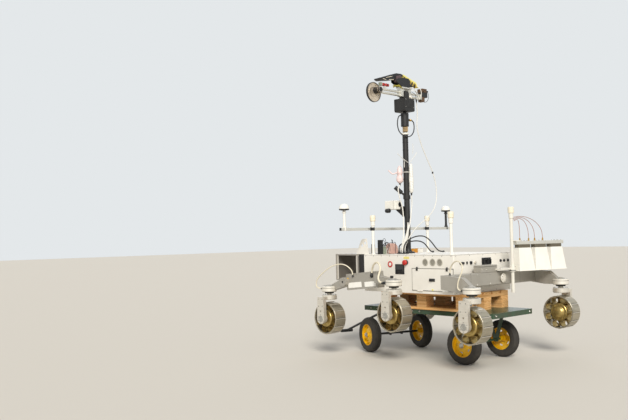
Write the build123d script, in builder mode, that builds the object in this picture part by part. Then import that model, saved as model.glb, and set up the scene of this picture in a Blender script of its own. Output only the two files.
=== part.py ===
"""Planetary rover prototype, standing on a wooden pallet on a four-wheeled hand cart.

All lengths are in millimetres. +X is the rover's forward direction, +Y its left side and
+Z up, with z = 0 on the ground under the cart's tyres.
"""
from build123d import *
import os
from math import asin, cos, degrees, radians, sin, tan

os.makedirs("parts", exist_ok=True)

# Fits and clearances
RUN = 0.05                   # on the radius of pins, shafts and their bores
CURVE_GAP = 0.35             # between curved faces of neighbouring pieces
WELD = 0.35                  # how far welded sheets reach into each other

# Cart: heights first, because everything above stands on them
CART_WHEEL_R = 157.5
CART_WHEEL_W = 85.0
CART_HALF_TRACK = 270.0
CART_DECK_Z = 424.0          # top of the cart's deck
CART_RAIL_H = 41.0
CART_RAIL_W = 30.0
CART_SHEET_T = 4.0
CART_REAR_END = -1020.0
CART_LEN = 1380.0
CART_HALF_W = 285.0
CART_WALL = 4.0              # wall of the cart's cross channels
CROSS_HALF = 60.0            # half width of a cross channel
CART_FRONT_X = 236.0         # kingpin
CART_REAR_X = -730.0         # rear axle
CART_MIDDLE_X = -250.0
CART_STEER = -18.0           # the front axle stands turned to the right
CART_AXLE_R = 10.0
AXLE_END = 48.0              # axle beyond the middle of a cart wheel
KING_R = 15.0
KING_BOSS_R = 34.0
TURN_GAP = 6.0               # from the frame down to the turntable
TURN_H = 37.0
TURN_R = 80.0
TURN_PLATE_T = 8.0
RACE_R = 62.0
BRACKET_Y = 175.0            # rear axle brackets
BRACKET_T = 8.0
BRACKET_TOP = 90.0           # half length of a bracket along the frame
BRACKET_FOOT = 18.0          # half width round the axle
BRACKET_LEG = 30.0           # width of each leg of the V at the frame
FORK_Y = 60.0                # front axle plates
FORK_TOP = 62.0
HINGE_OUT = 170.0            # handle hinge ahead of the kingpin
HINGE_UP = 194.5             # handle hinge above the axle
HINGE_PIN_R = 6.0
LUG_Y = 22.0
LUG_HALF_H = 12.0
HANDLE_DROP = 18.5           # slope of the handle down to the ground
HANDLE_LEN = 879.8
HANDLE_R = 11.0
EYE_R = 14.0
EYE_W = 24.0
GRIP_R = 15.0
GRIP_W = 130.0
GRIP_BOW = 60.0              # length of the handle's closed bow
GRIP_ARM_R = 7.0
TYRE_BEAD_R = 95.0
TYRE_CROWN = 22.0            # half width of the flat tread
TYRE_SHOULDER = 14.0         # drop of the tyre's shoulder
RIM_HALF_W = 32.0
RIM_SHEET = 4.0
RIM_DISH = 14.0
RIM_DISC_T = 8.0
RIM_HUB_R = 24.0
RIM_HUB_HALF = 40.0
RIM_SLOTS = 5
RIM_SLOT_R = 62.0
RIM_SLOT_LEN = 30.0
RIM_SLOT_W = 13.0

# Pallet
PALLET_H = 144.0
PALLET_REAR_X = -780.0
PALLET_LEN = 910.0
PALLET_HALF_W = 300.0
BOARD_T = 22.0
BOARD_W = 100.0
TOP_BOARDS = 5
SKIDS = 3

# Body box
BODY_REAR_X = -745.0
BODY_LEN = 985.0
BODY_HALF_W = 399.0
BODY_H = 321.0
DECK_T = 6.0
WALL = 8.0
BODY_EDGE_R = 5.0
FLANGE_W = 22.0              # inward flange that carries the deck plate
FLANGE_T = 6.0
DOOR_X0 = -737.0
DOOR_LEN = 417.0
DOOR_UP = 22.0               # hinge axis above the body's underside
DOOR_H = 182.0
DOOR_T = 6.0
DOOR_GAP = 0.5
DOOR_CORNER_R = 10.0
DOOR_REBATE = 25.0           # the opening is this much smaller than the door
DOOR_HINGE_R = 4.6
DOOR_PIN_R = 2.0
DOOR_HINGE_OUT = 5.0         # hinge axis outside the wall
KNUCKLE = 18.0
DOOR_HINGES = (-660.0, -400.0)
HANDLE_HALF = 30.0
HANDLE_UP = 92.0             # door handle above the hinge axis
HANDLE_OUT = 18.0
LATCH_W = 14.0
LATCH_H = 34.0
LATCH_INSET = 54.0
LATCH_OUT = 13.0
VENT_R = 27.0
VENTS_X = (-607.0, -535.0, -458.0)
VENT_UP = 259.0              # above the body's underside
VENT_BEZEL = 4.0
VENT_SLATS = 5
SLAT_T = 2.5
BATTERY_LEN = 500.0
BATTERY_HALF_W = 200.0
BATTERY_H = 100.0

# Mounting faces on the deck: a screw pattern for a payload behind the mast
PAYLOAD_X = -350.0
PAYLOAD_DX = 200.0
PAYLOAD_DY = 150.0
PAYLOAD_HOLE_R = 3.3

# Fittings on the outside of the body
STOP_X = -252.0
STOP_UP = 255.0
STOP_BASE_R = 26.0
STOP_R = 19.0
STOP_OUT = 34.0
PANEL_X = -181.0
PANEL_UP = 198.0
PANEL_W = 100.0
PANEL_H = 84.0
PANEL_T = 5.0
PANEL_FRAME = 9.0
RING_X = -72.0
RING_UP = 238.0
RING_R = 27.0
RING_HOLE_R = 15.0
SOCKET_Y = -43.5
SOCKET_HALF = 62.5
SOCKET_H = 60.0
REAR_UP = 250.0              # rear fittings above the body's underside
REAR_PLUGS = (293.0, 228.0, 173.0, 115.0)
PLUG_R = 13.0
PLUG_OUT = 18.0

# Front box and the spacer behind it
SPACER_T = 71.0
SPACER_INSET = 12.0
BOX_DEPTH = 289.0
BOX_UP = 84.0                # above the body's underside
BOX_H = 241.0
BOX_WALL = 12.0
BOX_EDGE_R = 4.0

# Drive wheels
WHEEL_R = 142.5              # over the grousers
WHEEL_W = 120.0
AXLE_PITCH = 763.0
HALF_TRACK = 640.0
MID_X = -320.0
AXLE_BELOW = 195.5           # rear axle below the body's underside
BOGIE_DROP = 37.0            # the side bogies hang nose-down
RIM_T = 3.0
RIM_LIP = 7.0
GROUSERS = 12
GROUSER_H = 4.0
GROUSER_T = 3.0
HUB_R = 75.0
HUB_OUT = 55.0               # outer end of the hub drum, from the wheel's middle
HUB_IN = 50.0
HUB_GROOVE = 3.0
HUB_DOME_R = 42.0
HUB_DOME_H = 12.0
HOOPS = 8
HOOP_T = 2.5
HOOP_HALF_W = 35.0
PAD_HALF = 8.0
PAD_T = 4.0
SPINDLE_R = 15.0
BORE_END = 5.0               # spindle bore past the wheel's middle

# Legs and steering units, heights above the wheel centre
LEG_IN = 82.0                # inner face of the leg plate
LEG_T = 31.0
LEG_R = 45.0                 # round lower end
LEG_TOP_HALF = 38.0
LEG_HOLE_R = 7.0
LEG_HOLE_UP = 66.0
BOSS_R = 40.0
BOSS_T = 16.0
ARM_TOP = 190.0
ARM_HALF = 35.0
ARM_CORNER_R = 22.0
STEER_R = 67.0
STEER_EDGE = 4.0
STEER_PIN_R = 20.0
LOW_DISC_Z = 163.0
LOW_DISC_H = 42.0
TOP_DISC_Z = 232.0
TOP_DISC_H = 48.0
DOME_R = 42.0
DOME_H = 15.0
NECK_R = 34.0                # fixed collar round the pin under the upper disc
NECK_H = 14.0

# Bogies
BEAM_X = 75.0                # pivot of the side bogies
BEAM_UP = 103.0              # above the body's underside
BEAM_LEN = 370.0
BEAM_H = 140.0
BEAM_W = 80.0
BEAM_EDGE_R = 8.0
BEAM_FROM_UNIT = 35.0        # beam's outer face inside the wheel's middle
ARM_W = 55.0
PIVOT_R = 32.0
PIVOT_FLANGE_R = 50.0
PIVOT_FLANGE_T = 12.0
JOINT_R = 40.0
JOINT_T = 9.0
CABLE_HOLE_R = 11.0
REAR_BEAM_X = -865.0
REAR_BEAM_T = 75.0
REAR_BEAM_INSET = 40.0       # end of the rear beam inside the wheel's middle
REAR_BEAM_UP = 62.0          # underside above the body's underside
REAR_BEAM_H = 107.0
REAR_CAP_Y = -90.0
REAR_CAP_R = 36.0
REAR_CAP_T = 16.0

# Posts, crossbar and antennas
POST_R = 12.5
POST_H = 346.0
POST_INSET = 19.0
POST_FOOT_R = 18.0
POST_FOOT_H = 8.0
POST_NECK_R = 19.0
POST_NECK_H = 50.0
POST_HEAD_R = 25.0
POST_HEAD_H = 50.0
FRONT_POST_X = 139.0
REAR_POST_X = -714.0
BAR_AHEAD = 28.0             # crossbar's axis ahead of the front posts
BAR_UP = 226.0               # above the deck
BAR_HALF = 757.0
BAR_W = 25.0
BAR_WALL = 2.5
CLAMP_HALF = 22.0
CLAMP_H = 36.0
ANTENNA_INSET = 50.0
STEM_R = 11.0
STEM_H = 165.0
ANTENNA_R = 44.0
ANTENNA_RING_H = 23.0
ANTENNA_H = 55.0

# Radar antennas behind the body
RADAR_POLE_X = -920.0
RADAR_POLE_Y = -165.0
RADAR_POLE_R = 14.0
RADAR_POLE_BELOW = 8.0
RADAR_POLE_TOP = 1270.0
RADAR_YAW = 12.0             # the row of horns turns back by this much
HORNS = 3
HORN_FIRST = 30.0
HORN_W = 185.0
HORN_GAP = 3.0
HORN_TOP_W = 140.0
HORN_DEPTH = 110.0
HORN_TOP_DEPTH = 60.0
HORN_UP = 167.0              # aperture above the body's underside
HORN_H = 193.0
HORN_LIP = 8.0
HORN_RECESS = 5.0
HORN_NECK_H = 27.0
HORN_NECK_HALF = 30.0
RADAR_BAR_H = 30.0
RADAR_BAR_W = 50.0
RADAR_BAR_END = 32.0
RADAR_BAR_LEN = 560.0
RADAR_ARM_T = 6.0
RADAR_ARM_W = 44.0
RADAR_ARM_LEN = 78.0
RADAR_PLUG_R = 6.0
RADAR_PLUG_H = 22.0
RADAR_PLUGS = (94.0, 197.0, 268.0, 363.0)
RADAR_PLATE_UP = 184.0
RADAR_PLATE_T = 12.0
RADAR_PLATE_W = 177.0
RADAR_COLLAR_R = 24.0
RADAR_COLLAR_H = 50.0

# Mast and head
MAST_X = 61.0
MAST_R = 26.0
MAST_H = 1101.0              # lower tube, from the deck
MAST_FOOT_R = 62.0
MAST_FOOT_H = 14.0
MAST_RING_R = 31.0
MAST_RING_H = 16.0
MAST_NECK_R = 20.0
MAST_NECK_H = 60.0
MAST_UPPER_R = 36.0
MAST_UPPER_H = 120.0
MAST_PLUG_R = 9.0
MAST_PLUG_LEN = 22.0
MAST_PLUG_UP = 60.0
SENSOR_R = 19.0
SENSOR_LEN = 80.0
SENSOR_UP = 511.0            # clamp of the small sensor, above the deck
SENSOR_TILT = 42.0
SENSOR_OUT = 62.0
SENSOR_CLAMP_R = 33.0
SENSOR_CLAMP_H = 34.0
PAN_GAP = 12.0               # from the upper mast section to the pan unit
PAN_PIN_R = 15.0
PAN_PIN_H = 100.0
PAN_HALF = 66.0
PAN_H = 118.0
PAN_EDGE_R = 16.0
TILT_UP = 45.0               # tilt axis above the pan unit
YOKE_HALF_X = 35.0
YOKE_HALF_Y = 28.0
TILT_PIN_R = 12.0
HEAD_GAP = 6.0
TUBE_R = 11.0
TUBE_AT = 15.0               # the two head tubes lie this far above and below the axis
HEAD_LEFT = 335.0
HEAD_RIGHT = 225.0
HEAD_CLAMP_W = 36.0
HEAD_CLAMP_HALF = 24.0
TRAY_UP = 50.0
TRAY_T = 10.0
TRAY_HALF_Y = 70.0
MOTOR_R = 26.0
MOTOR_LEN = 68.0
DISC_R = 88.0
DISC_T = 7.0
DISC_DROP = 18.0             # disc's centre below the tilt axis
DISC_ASIDE = 23.0            # and outside its motor's
DISC_CLEAR = 2.0             # ahead of the tubes' end clamp
DISC_RIM_T = 3.5
DISC_LIP = 8.0
DISC_HUB_R = 24.0
DISC_HUB_T = 14.0
HEAD_BOX_W = 105.0
HEAD_BOX_HALF_X = 45.0
HEAD_BOX_H = 125.0
HEAD_BOX_DROP = 45.0         # below the tilt axis
HEAD_BOX_EDGE = 6.0
COVER_HALF_X = 80.0
COVER_T = 12.0
STRIP_T = 5.0
COVER_LEFT = (316.0, 88.0)   # distance from the mast and height over the tilt axis
COVER_PEAK = (50.0, 172.0)
COVER_RIGHT = (-165.0, 118.0)
TUBE_CAN_R = 13.0            # red cylinder over the left tubes
TUBE_CAN_LEN = 90.0
TUBE_CAN_Y = 262.0
TUBE_CAN_UP = 58.0
GLAND_R = 5.5
GLAND_Y = -172.0
GLAND_DROP = 34.0

# Instruments on the mast and on the deck
CAMERA_UP = 401.0            # camera's underside above the deck
CAMERA_W = 90.0
CAMERA_H = 82.0
CAMERA_LEN = 130.0
CAMERA_AHEAD = 45.0
CAMERA_Y = 65.0
CAMERA_EDGE = 6.0
CAMERA_EYE_R = 16.0
CAMERA_EYE_DEPTH = 12.0
LENS_R = 20.0
LENS_LEN = 45.0
BRACKET_DROP = 60.0
BRACKET_HALF_Y = 20.0
GUSSET_INSET = 8.0           # outer face inside the body's side
GUSSET_T = 6.0
GUSSET_FOOT = 40.0
GUSSET_BACK = 50.0
GUSSET_AHEAD = 100.0
GUSSET_H = 143.0
GUSSET_HOLE_R = 14.0
UNIT_X = 160.0
UNIT_Y = 285.0
UNIT_H = 128.0
UNIT_LEN = 26.0
UNIT_W = 50.0
UNIT_GAP = 6.0
POUCH_X = 132.0
POUCH_Y = 146.0
POUCH_LEN = 64.0
POUCH_W = 122.0
POUCH_H = 96.0
POUCH_EDGE = 20.0
SIDE_UNIT_X = 130.0
SIDE_UNIT_Y = -220.0
SIDE_UNIT_LEN = 55.0
SIDE_UNIT_W = 100.0
SIDE_UNIT_H = 46.0
CABLE_X = -28.0              # gland plate that all the deck's cables enter
CABLE_Y = 178.0
CABLE_GLAND_LEN = 90.0
CABLE_GLAND_W = 60.0
CABLE_GLAND_H = 12.0

# Cords
HEAD_CABLE_R = 4.5
HEAD_CABLE_CLEAR = 0.7       # under the head's gland, which tilts over the cord's end
LEAD_R = 5.0
FLAT_LEAD_R = 8.0
COAX_R = 2.0
DECK_CABLE_R = 5.6
MAST_LEAD_R = 5.0
BUNDLE_UP = 549.0            # foot of the wrapped bundles above the deck
SLEEVE_R = 17.0
SLEEVE_LEN = 270.0
BUNDLE_R = 33.0

# Derived places
CART_FRONT_END = CART_REAR_END + CART_LEN
RAIL_Z = CART_DECK_Z - CART_RAIL_H
TURN_Z1 = RAIL_Z - TURN_GAP
TURN_Z0 = TURN_Z1 - TURN_H
HINGE_Z = CART_WHEEL_R + HINGE_UP
BODY_Z0 = CART_DECK_Z + PALLET_H
DECK_Z = BODY_Z0 + BODY_H
BODY_FRONT_X = BODY_REAR_X + BODY_LEN
DOOR_AXIS_Y = BODY_HALF_W + DOOR_HINGE_OUT
DOOR_AXIS_Z = BODY_Z0 + DOOR_UP
DOOR_MID_X = DOOR_X0 + DOOR_LEN / 2
BOX_X0 = BODY_FRONT_X + SPACER_T
BOX_X1 = BOX_X0 + BOX_DEPTH
BOX_Z0 = BODY_Z0 + BOX_UP
BOX_Z1 = BOX_Z0 + BOX_H
REAR_C = BODY_Z0 - AXLE_BELOW
FRONT_C = REAR_C - BOGIE_DROP
MID_C = REAR_C + BOGIE_DROP
FRONT_X = MID_X + AXLE_PITCH
REAR_X = MID_X - AXLE_PITCH
RIM_OUT = WHEEL_R - GROUSER_H
RIM_IN = RIM_OUT - RIM_T
HOOP_R = (RIM_IN + WELD - HUB_R - CURVE_GAP) / 2
HOOP_AT = RIM_IN + WELD - HOOP_R
LEG_OUT = LEG_IN + LEG_T
BEAM_Z = BODY_Z0 + BEAM_UP
BEAM_OUT = HALF_TRACK - BEAM_FROM_UNIT
BEAM_IN = BEAM_OUT - BEAM_W
BEAM_TILT = degrees(asin(2 * BOGIE_DROP / AXLE_PITCH))
REAR_BEAM_END = HALF_TRACK - REAR_BEAM_INSET
POST_Y = BODY_HALF_W - POST_INSET
GUSSET_Y = BODY_HALF_W - GUSSET_INSET
BAR_X = FRONT_POST_X + BAR_AHEAD
BAR_Z = DECK_Z + BAR_UP
ANTENNA_Y = BAR_HALF - ANTENNA_INSET
HORN_Z0 = BODY_Z0 + HORN_UP
HORN_Z1 = HORN_Z0 + HORN_H
RADAR_BAR_Z0 = HORN_Z1 + HORN_NECK_H
RADAR_BAR_Z1 = RADAR_BAR_Z0 + RADAR_BAR_H
GLAND_TOP = DECK_Z + CABLE_GLAND_H
MAST_Z1 = DECK_Z + MAST_H
UPPER_Z0 = MAST_Z1 + MAST_NECK_H
UPPER_Z1 = UPPER_Z0 + MAST_UPPER_H
PAN_Z0 = UPPER_Z1 + PAN_GAP
PAN_Z1 = PAN_Z0 + PAN_H
TILT_Z = PAN_Z1 + TILT_UP

wheel_places = [
    # name, x, side, height of the wheel's centre
    ("fl", FRONT_X, 1, FRONT_C),
    ("fr", FRONT_X, -1, FRONT_C),
    ("ml", MID_X, 1, MID_C),
    ("mr", MID_X, -1, MID_C),
    ("rl", REAR_X, 1, REAR_C),
    ("rr", REAR_X, -1, REAR_C),
]


def along_y(x, y0, z):
    """Plane at y0 that faces +Y, its local x along +X and its local y along -Z."""
    return Plane(origin=(x, y0, z), x_dir=(1, 0, 0), z_dir=(0, 1, 0))


def along_x(x0, y, z):
    """Plane at x0 that faces +X, its local x along +Y and its local y along +Z."""
    return Plane(origin=(x0, y, z), x_dir=(0, 1, 0), z_dir=(1, 0, 0))


def rod_y(x, y0, y1, z, radius, mode=Mode.ADD):
    """Cylinder along Y between y0 and y1."""
    with BuildSketch(along_y(x, min(y0, y1), z)) as section:
        Circle(radius)
    extrude(section.sketch, amount=abs(y1 - y0), mode=mode)


def rod_x(x0, x1, y, z, radius, mode=Mode.ADD):
    """Cylinder along X between x0 and x1."""
    with BuildSketch(along_x(min(x0, x1), y, z)) as section:
        Circle(radius)
    extrude(section.sketch, amount=abs(x1 - x0), mode=mode)


def rod_z(x, y, z0, z1, radius, mode=Mode.ADD):
    """Cylinder along Z between z0 and z1."""
    with BuildSketch(Plane(origin=(x, y, z0))) as section:
        Circle(radius)
    extrude(section.sketch, amount=z1 - z0, mode=mode)


def block(x0, x1, y0, y1, z0, z1, mode=Mode.ADD):
    """Box between two corners."""
    with Locations(((x0 + x1) / 2, (y0 + y1) / 2, (z0 + z1) / 2)):
        Box(abs(x1 - x0), abs(y1 - y0), abs(z1 - z0), mode=mode)


def side_plate(points, y0, y1, mode=Mode.ADD):
    """Plate with an outline of (x, z) points, between y0 and y1."""
    with BuildSketch(along_y(0, min(y0, y1), 0)) as outline:
        with BuildLine() as edge:
            Polyline(*[(px, -pz) for px, pz in points], close=True)
        make_face(edge.line.edges())
    extrude(outline.sketch, amount=abs(y1 - y0), mode=mode)


def cross_plate(points, x0, x1):
    """Plate with an outline of (y, z) points, between x0 and x1."""
    with BuildSketch(along_x(x0, 0, 0)) as outline:
        with BuildLine() as edge:
            Polyline(*points, close=True)
        make_face(edge.line.edges())
    extrude(outline.sketch, amount=x1 - x0)


def turned(plane, axis_dir, points):
    """Solid of revolution about the plane's local x, from (along, radius) points."""
    with BuildSketch(plane) as half:
        with BuildLine() as edge:
            Polyline(*points, close=True)
        make_face(edge.line.edges())
    revolve(half.sketch, axis=Axis(plane.origin, axis_dir))


def turned_z(x, y, z, points):
    """Turned piece about a vertical axis, from (height, radius) points."""
    turned(Plane(origin=(x, y, z), x_dir=(0, 0, 1), z_dir=(0, -1, 0)), (0, 0, 1), points)


def turned_y(x, y, z, side, points):
    """Turned piece about a Y axis, from (distance outward, radius) points."""
    turned(Plane(origin=(x, y, z), x_dir=(0, side, 0), z_dir=(side, 0, 0)), (0, 1, 0), points)


def dome_points(radius, height, base, steps=5):
    """Points of a shallow cap that ends on the axis, as (along, radius)."""
    ball = (radius * radius + height * height) / (2 * height)
    spread = asin(radius / ball)
    return [(base + height - ball + ball * cos(spread * (1 - k / steps)),
             ball * sin(spread * (1 - k / steps))) for k in range(steps + 1)]


def cord(route, radius):
    """Round cord along straight runs joined by arcs as large as the runs allow."""
    points = [Vector(*p) for p in route]
    bends = []
    for before, corner, after in zip(points, points[1:], points[2:]):
        turn = radians((corner - before).get_angle(after - corner))
        shorter = min((corner - before).length, (after - corner).length)
        bends.append(0.45 * shorter / tan(turn / 2))
    with BuildLine() as path:
        FilletPolyline(*points, radius=bends)
    with BuildSketch(Plane(origin=points[0], z_dir=points[1] - points[0])) as section:
        Circle(radius)
    sweep(section.sketch, path=path.line)
    total = sum(edge.length for edge in path.line.edges())
    print("bend radii", [round(bend) for bend in bends], "length", round(total))


def save(built, label):
    """Label the piece and write it out."""
    built.part.label = label
    export_step(built.part, "parts/" + label + ".step")


# Flexible wheels: a thin rim with rolled lips and grousers, carried by spring hoops
for name, wx, side, wz in wheel_places:
    wy = side * HALF_TRACK
    half_w = WHEEL_W / 2
    with BuildPart() as wheel:
        turned_y(wx, wy, wz, side, [
            (-half_w, RIM_OUT), (half_w, RIM_OUT), (half_w, RIM_IN - RIM_LIP),
            (half_w - RIM_T, RIM_IN - RIM_LIP), (half_w - RIM_T, RIM_IN),
            (RIM_T - half_w, RIM_IN), (RIM_T - half_w, RIM_IN - RIM_LIP),
            (-half_w, RIM_IN - RIM_LIP)])
        with BuildSketch(along_y(wx, wy - half_w, wz)):
            with PolarLocations((WHEEL_R + RIM_OUT - WELD) / 2, GROUSERS):
                Rectangle(WHEEL_R - RIM_OUT + WELD, GROUSER_T)
        extrude(amount=WHEEL_W)
        with BuildSketch(along_y(wx, wy - HOOP_HALF_W, wz)):
            with PolarLocations(HOOP_AT, HOOPS):
                Circle(HOOP_R)
            with PolarLocations(HOOP_AT, HOOPS):
                Circle(HOOP_R - HOOP_T, mode=Mode.SUBTRACT)
            with PolarLocations(HOOP_AT + HOOP_R - HOOP_T - PAD_T / 2 + WELD, HOOPS):
                Rectangle(PAD_T, 2 * PAD_HALF)
        extrude(amount=2 * HOOP_HALF_W)
    save(wheel, "wheel_" + name)

    with BuildPart() as hub:
        turned_y(wx, wy, wz, side, [
            (HUB_OUT, SPINDLE_R + RUN), (HUB_OUT, HUB_R - HUB_GROOVE),
            (HUB_OUT - HUB_GROOVE, HUB_R), (HUB_GROOVE - HUB_IN, HUB_R),
            (-HUB_IN, HUB_R - HUB_GROOVE),
            *[(-along, r) for along, r in dome_points(HUB_DOME_R, HUB_DOME_H, HUB_IN)],
            (-BORE_END, 0), (-BORE_END, SPINDLE_R + RUN)])
    save(hub, "hub_" + name)

    with BuildPart() as leg:
        turned_z(wx, wy, wz + LOW_DISC_Z, [
            (0, STEER_PIN_R + RUN), (0, STEER_R - STEER_EDGE), (STEER_EDGE, STEER_R),
            (LOW_DISC_H - STEER_EDGE, STEER_R), (LOW_DISC_H, STEER_R - STEER_EDGE),
            (LOW_DISC_H, STEER_PIN_R + RUN)])
        with BuildSketch(along_y(wx, wy + side * LEG_IN if side > 0 else wy - LEG_OUT, wz)) as plate:
            Circle(LEG_R)
            with Locations((0, -(LOW_DISC_Z + ARM_TOP) / 2)):
                Rectangle(2 * LEG_TOP_HALF, ARM_TOP - LOW_DISC_Z)
            make_hull()
            with Locations((0, -LEG_HOLE_UP)):
                Circle(LEG_HOLE_R, mode=Mode.SUBTRACT)
        extrude(amount=LEG_T)
        with BuildSketch(along_x(wx - ARM_HALF, wy, wz)) as elbow:
            with BuildLine():
                Polyline((side * (STEER_R - 2 * STEER_EDGE), LOW_DISC_Z), (side * LEG_IN, LOW_DISC_Z),
                         (side * LEG_IN, LOW_DISC_Z - ARM_CORNER_R), (side * LEG_OUT, LOW_DISC_Z),
                         (side * LEG_OUT, ARM_TOP - ARM_CORNER_R / 2),
                         (side * (LEG_OUT - ARM_CORNER_R / 2), ARM_TOP),
                         (side * (STEER_R - 2 * STEER_EDGE), ARM_TOP), close=True)
            make_face()
        extrude(amount=2 * ARM_HALF)
        turned_y(wx, wy, wz, side, [
            (LEG_IN, 0), (LEG_IN, BOSS_R), (LEG_IN - BOSS_T + STEER_EDGE, BOSS_R),
            (LEG_IN - BOSS_T, BOSS_R - STEER_EDGE), (LEG_IN - BOSS_T, SPINDLE_R),
            (0, SPINDLE_R), (0, 0)])
    save(leg, "leg_" + name)


def steering_unit(x, y, zc):
    """Fixed upper disc with its dome, the collar under it and the pin that carries the leg."""
    turned_z(x, y, zc, [
        (TOP_DISC_Z, 0), (TOP_DISC_Z, STEER_R - STEER_EDGE), (TOP_DISC_Z + STEER_EDGE, STEER_R),
        (TOP_DISC_Z + TOP_DISC_H - STEER_EDGE, STEER_R),
        (TOP_DISC_Z + TOP_DISC_H, STEER_R - STEER_EDGE),
        *dome_points(DOME_R, DOME_H, TOP_DISC_Z + TOP_DISC_H)])
    rod_z(x, y, zc + TOP_DISC_Z - NECK_H, zc + TOP_DISC_Z, NECK_R)
    rod_z(x, y, zc + LOW_DISC_Z, zc + TOP_DISC_Z, STEER_PIN_R)


def on_beam(dx, dz):
    """Point of the tilted side beam in the XZ plane, from its pivot."""
    a = radians(BEAM_TILT)
    return (BEAM_X + dx * cos(a) + dz * sin(a), BEAM_Z - dx * sin(a) + dz * cos(a))


# Side bogies: box beam, a forked arm to each steering unit and the pivot in the body's side
BEAM_NOSE = BEAM_LEN / 2
beam_dir = (cos(radians(BEAM_TILT)), 0, -sin(radians(BEAM_TILT)))
for name, side in (("left", 1), ("right", -1)):
    with BuildPart() as bogie:
        beam_y = min(side * BEAM_IN, side * BEAM_OUT)
        with BuildSketch(Plane(origin=(BEAM_X, beam_y, BEAM_Z), x_dir=beam_dir, z_dir=(0, 1, 0))):
            RectangleRounded(BEAM_LEN, BEAM_H, BEAM_EDGE_R)
        extrude(amount=BEAM_W)
        nose_top = on_beam(BEAM_NOSE - BEAM_EDGE_R, BEAM_H * 0.32)
        nose_low = on_beam(BEAM_NOSE - BEAM_EDGE_R, -BEAM_H * 0.26)
        tail_top = on_beam(-BEAM_NOSE + BEAM_EDGE_R, BEAM_H * 0.32)
        tail_low = on_beam(-BEAM_NOSE + BEAM_EDGE_R, -BEAM_H * 0.2)
        arm = (side * (HALF_TRACK - ARM_W), side * HALF_TRACK)
        side_plate([nose_low, (FRONT_X, FRONT_C + TOP_DISC_Z), (FRONT_X, FRONT_C + TOP_DISC_Z + TOP_DISC_H),
                    nose_top], *arm)
        side_plate([tail_low, (MID_X, MID_C + TOP_DISC_Z + STEER_EDGE),
                    (MID_X, MID_C + TOP_DISC_Z + TOP_DISC_H), tail_top], *arm)
        steering_unit(FRONT_X, side * HALF_TRACK, FRONT_C)
        steering_unit(MID_X, side * HALF_TRACK, MID_C)
        joint_x, joint_z = on_beam(BEAM_NOSE + BEAM_EDGE_R, BEAM_H * 0.03)
        rod_y(joint_x, side * (HALF_TRACK - ARM_W), side * (HALF_TRACK + JOINT_T), joint_z, JOINT_R)
        rod_y(joint_x, side * HALF_TRACK, side * (HALF_TRACK + JOINT_T), joint_z, CABLE_HOLE_R,
              mode=Mode.SUBTRACT)
        turned_y(BEAM_X, 0, BEAM_Z, side, [
            (BODY_HALF_W, 0), (BODY_HALF_W, PIVOT_FLANGE_R), (BODY_HALF_W + PIVOT_FLANGE_T, PIVOT_FLANGE_R),
            (BODY_HALF_W + 2 * PIVOT_FLANGE_T, PIVOT_R), (BEAM_IN - PIVOT_FLANGE_T, PIVOT_R),
            (BEAM_IN - PIVOT_FLANGE_T, PIVOT_FLANGE_R), (BEAM_IN + WELD, PIVOT_FLANGE_R),
            (BEAM_IN + WELD, 0)])
    save(bogie, "bogie_" + name)

# Rear bogie: transverse beam on a pivot in the body's rear, an arm back to each unit
REAR_BEAM_Z = BODY_Z0 + REAR_BEAM_UP
REAR_BEAM_TOP = REAR_BEAM_Z + REAR_BEAM_H
REAR_BEAM_FRONT = REAR_BEAM_X + REAR_BEAM_T
REAR_BEAM_MID_Z = REAR_BEAM_Z + REAR_BEAM_H / 2
with BuildPart() as bogie_rear:
    with BuildSketch(Plane(origin=((REAR_BEAM_X + REAR_BEAM_FRONT) / 2, -REAR_BEAM_END, REAR_BEAM_MID_Z),
                           x_dir=(1, 0, 0), z_dir=(0, 1, 0))):
        RectangleRounded(REAR_BEAM_T, REAR_BEAM_H, BEAM_EDGE_R)
    extrude(amount=2 * REAR_BEAM_END)
    for side in (1, -1):
        side_plate([(REAR_BEAM_FRONT - BEAM_EDGE_R, REAR_BEAM_Z),
                    (REAR_BEAM_FRONT - BEAM_EDGE_R, REAR_BEAM_TOP),
                    (REAR_BEAM_X - 2 * REAR_BEAM_T + BEAM_EDGE_R * 2, REAR_BEAM_TOP - 2 * BEAM_EDGE_R),
                    (REAR_X, REAR_C + TOP_DISC_Z + TOP_DISC_H),
                    (REAR_X, REAR_C + TOP_DISC_Z + STEER_EDGE),
                    (REAR_BEAM_X - REAR_BEAM_T - 2 * BEAM_EDGE_R, REAR_C + TOP_DISC_Z + STEER_EDGE)],
                   side * (REAR_BEAM_END - 2 * STEER_EDGE), side * HALF_TRACK)
        steering_unit(REAR_X, side * HALF_TRACK, REAR_C)
    rod_x(REAR_BEAM_FRONT - BEAM_EDGE_R, BODY_REAR_X - PIVOT_FLANGE_T, 0, REAR_BEAM_MID_Z, PIVOT_R)
    rod_x(BODY_REAR_X - PIVOT_FLANGE_T, BODY_REAR_X, 0, REAR_BEAM_MID_Z, PIVOT_FLANGE_R)
    rod_x(REAR_BEAM_X - REAR_CAP_T, REAR_BEAM_X, REAR_CAP_Y, REAR_BEAM_MID_Z, REAR_CAP_R)
save(bogie_rear, "bogie_rear")

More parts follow.
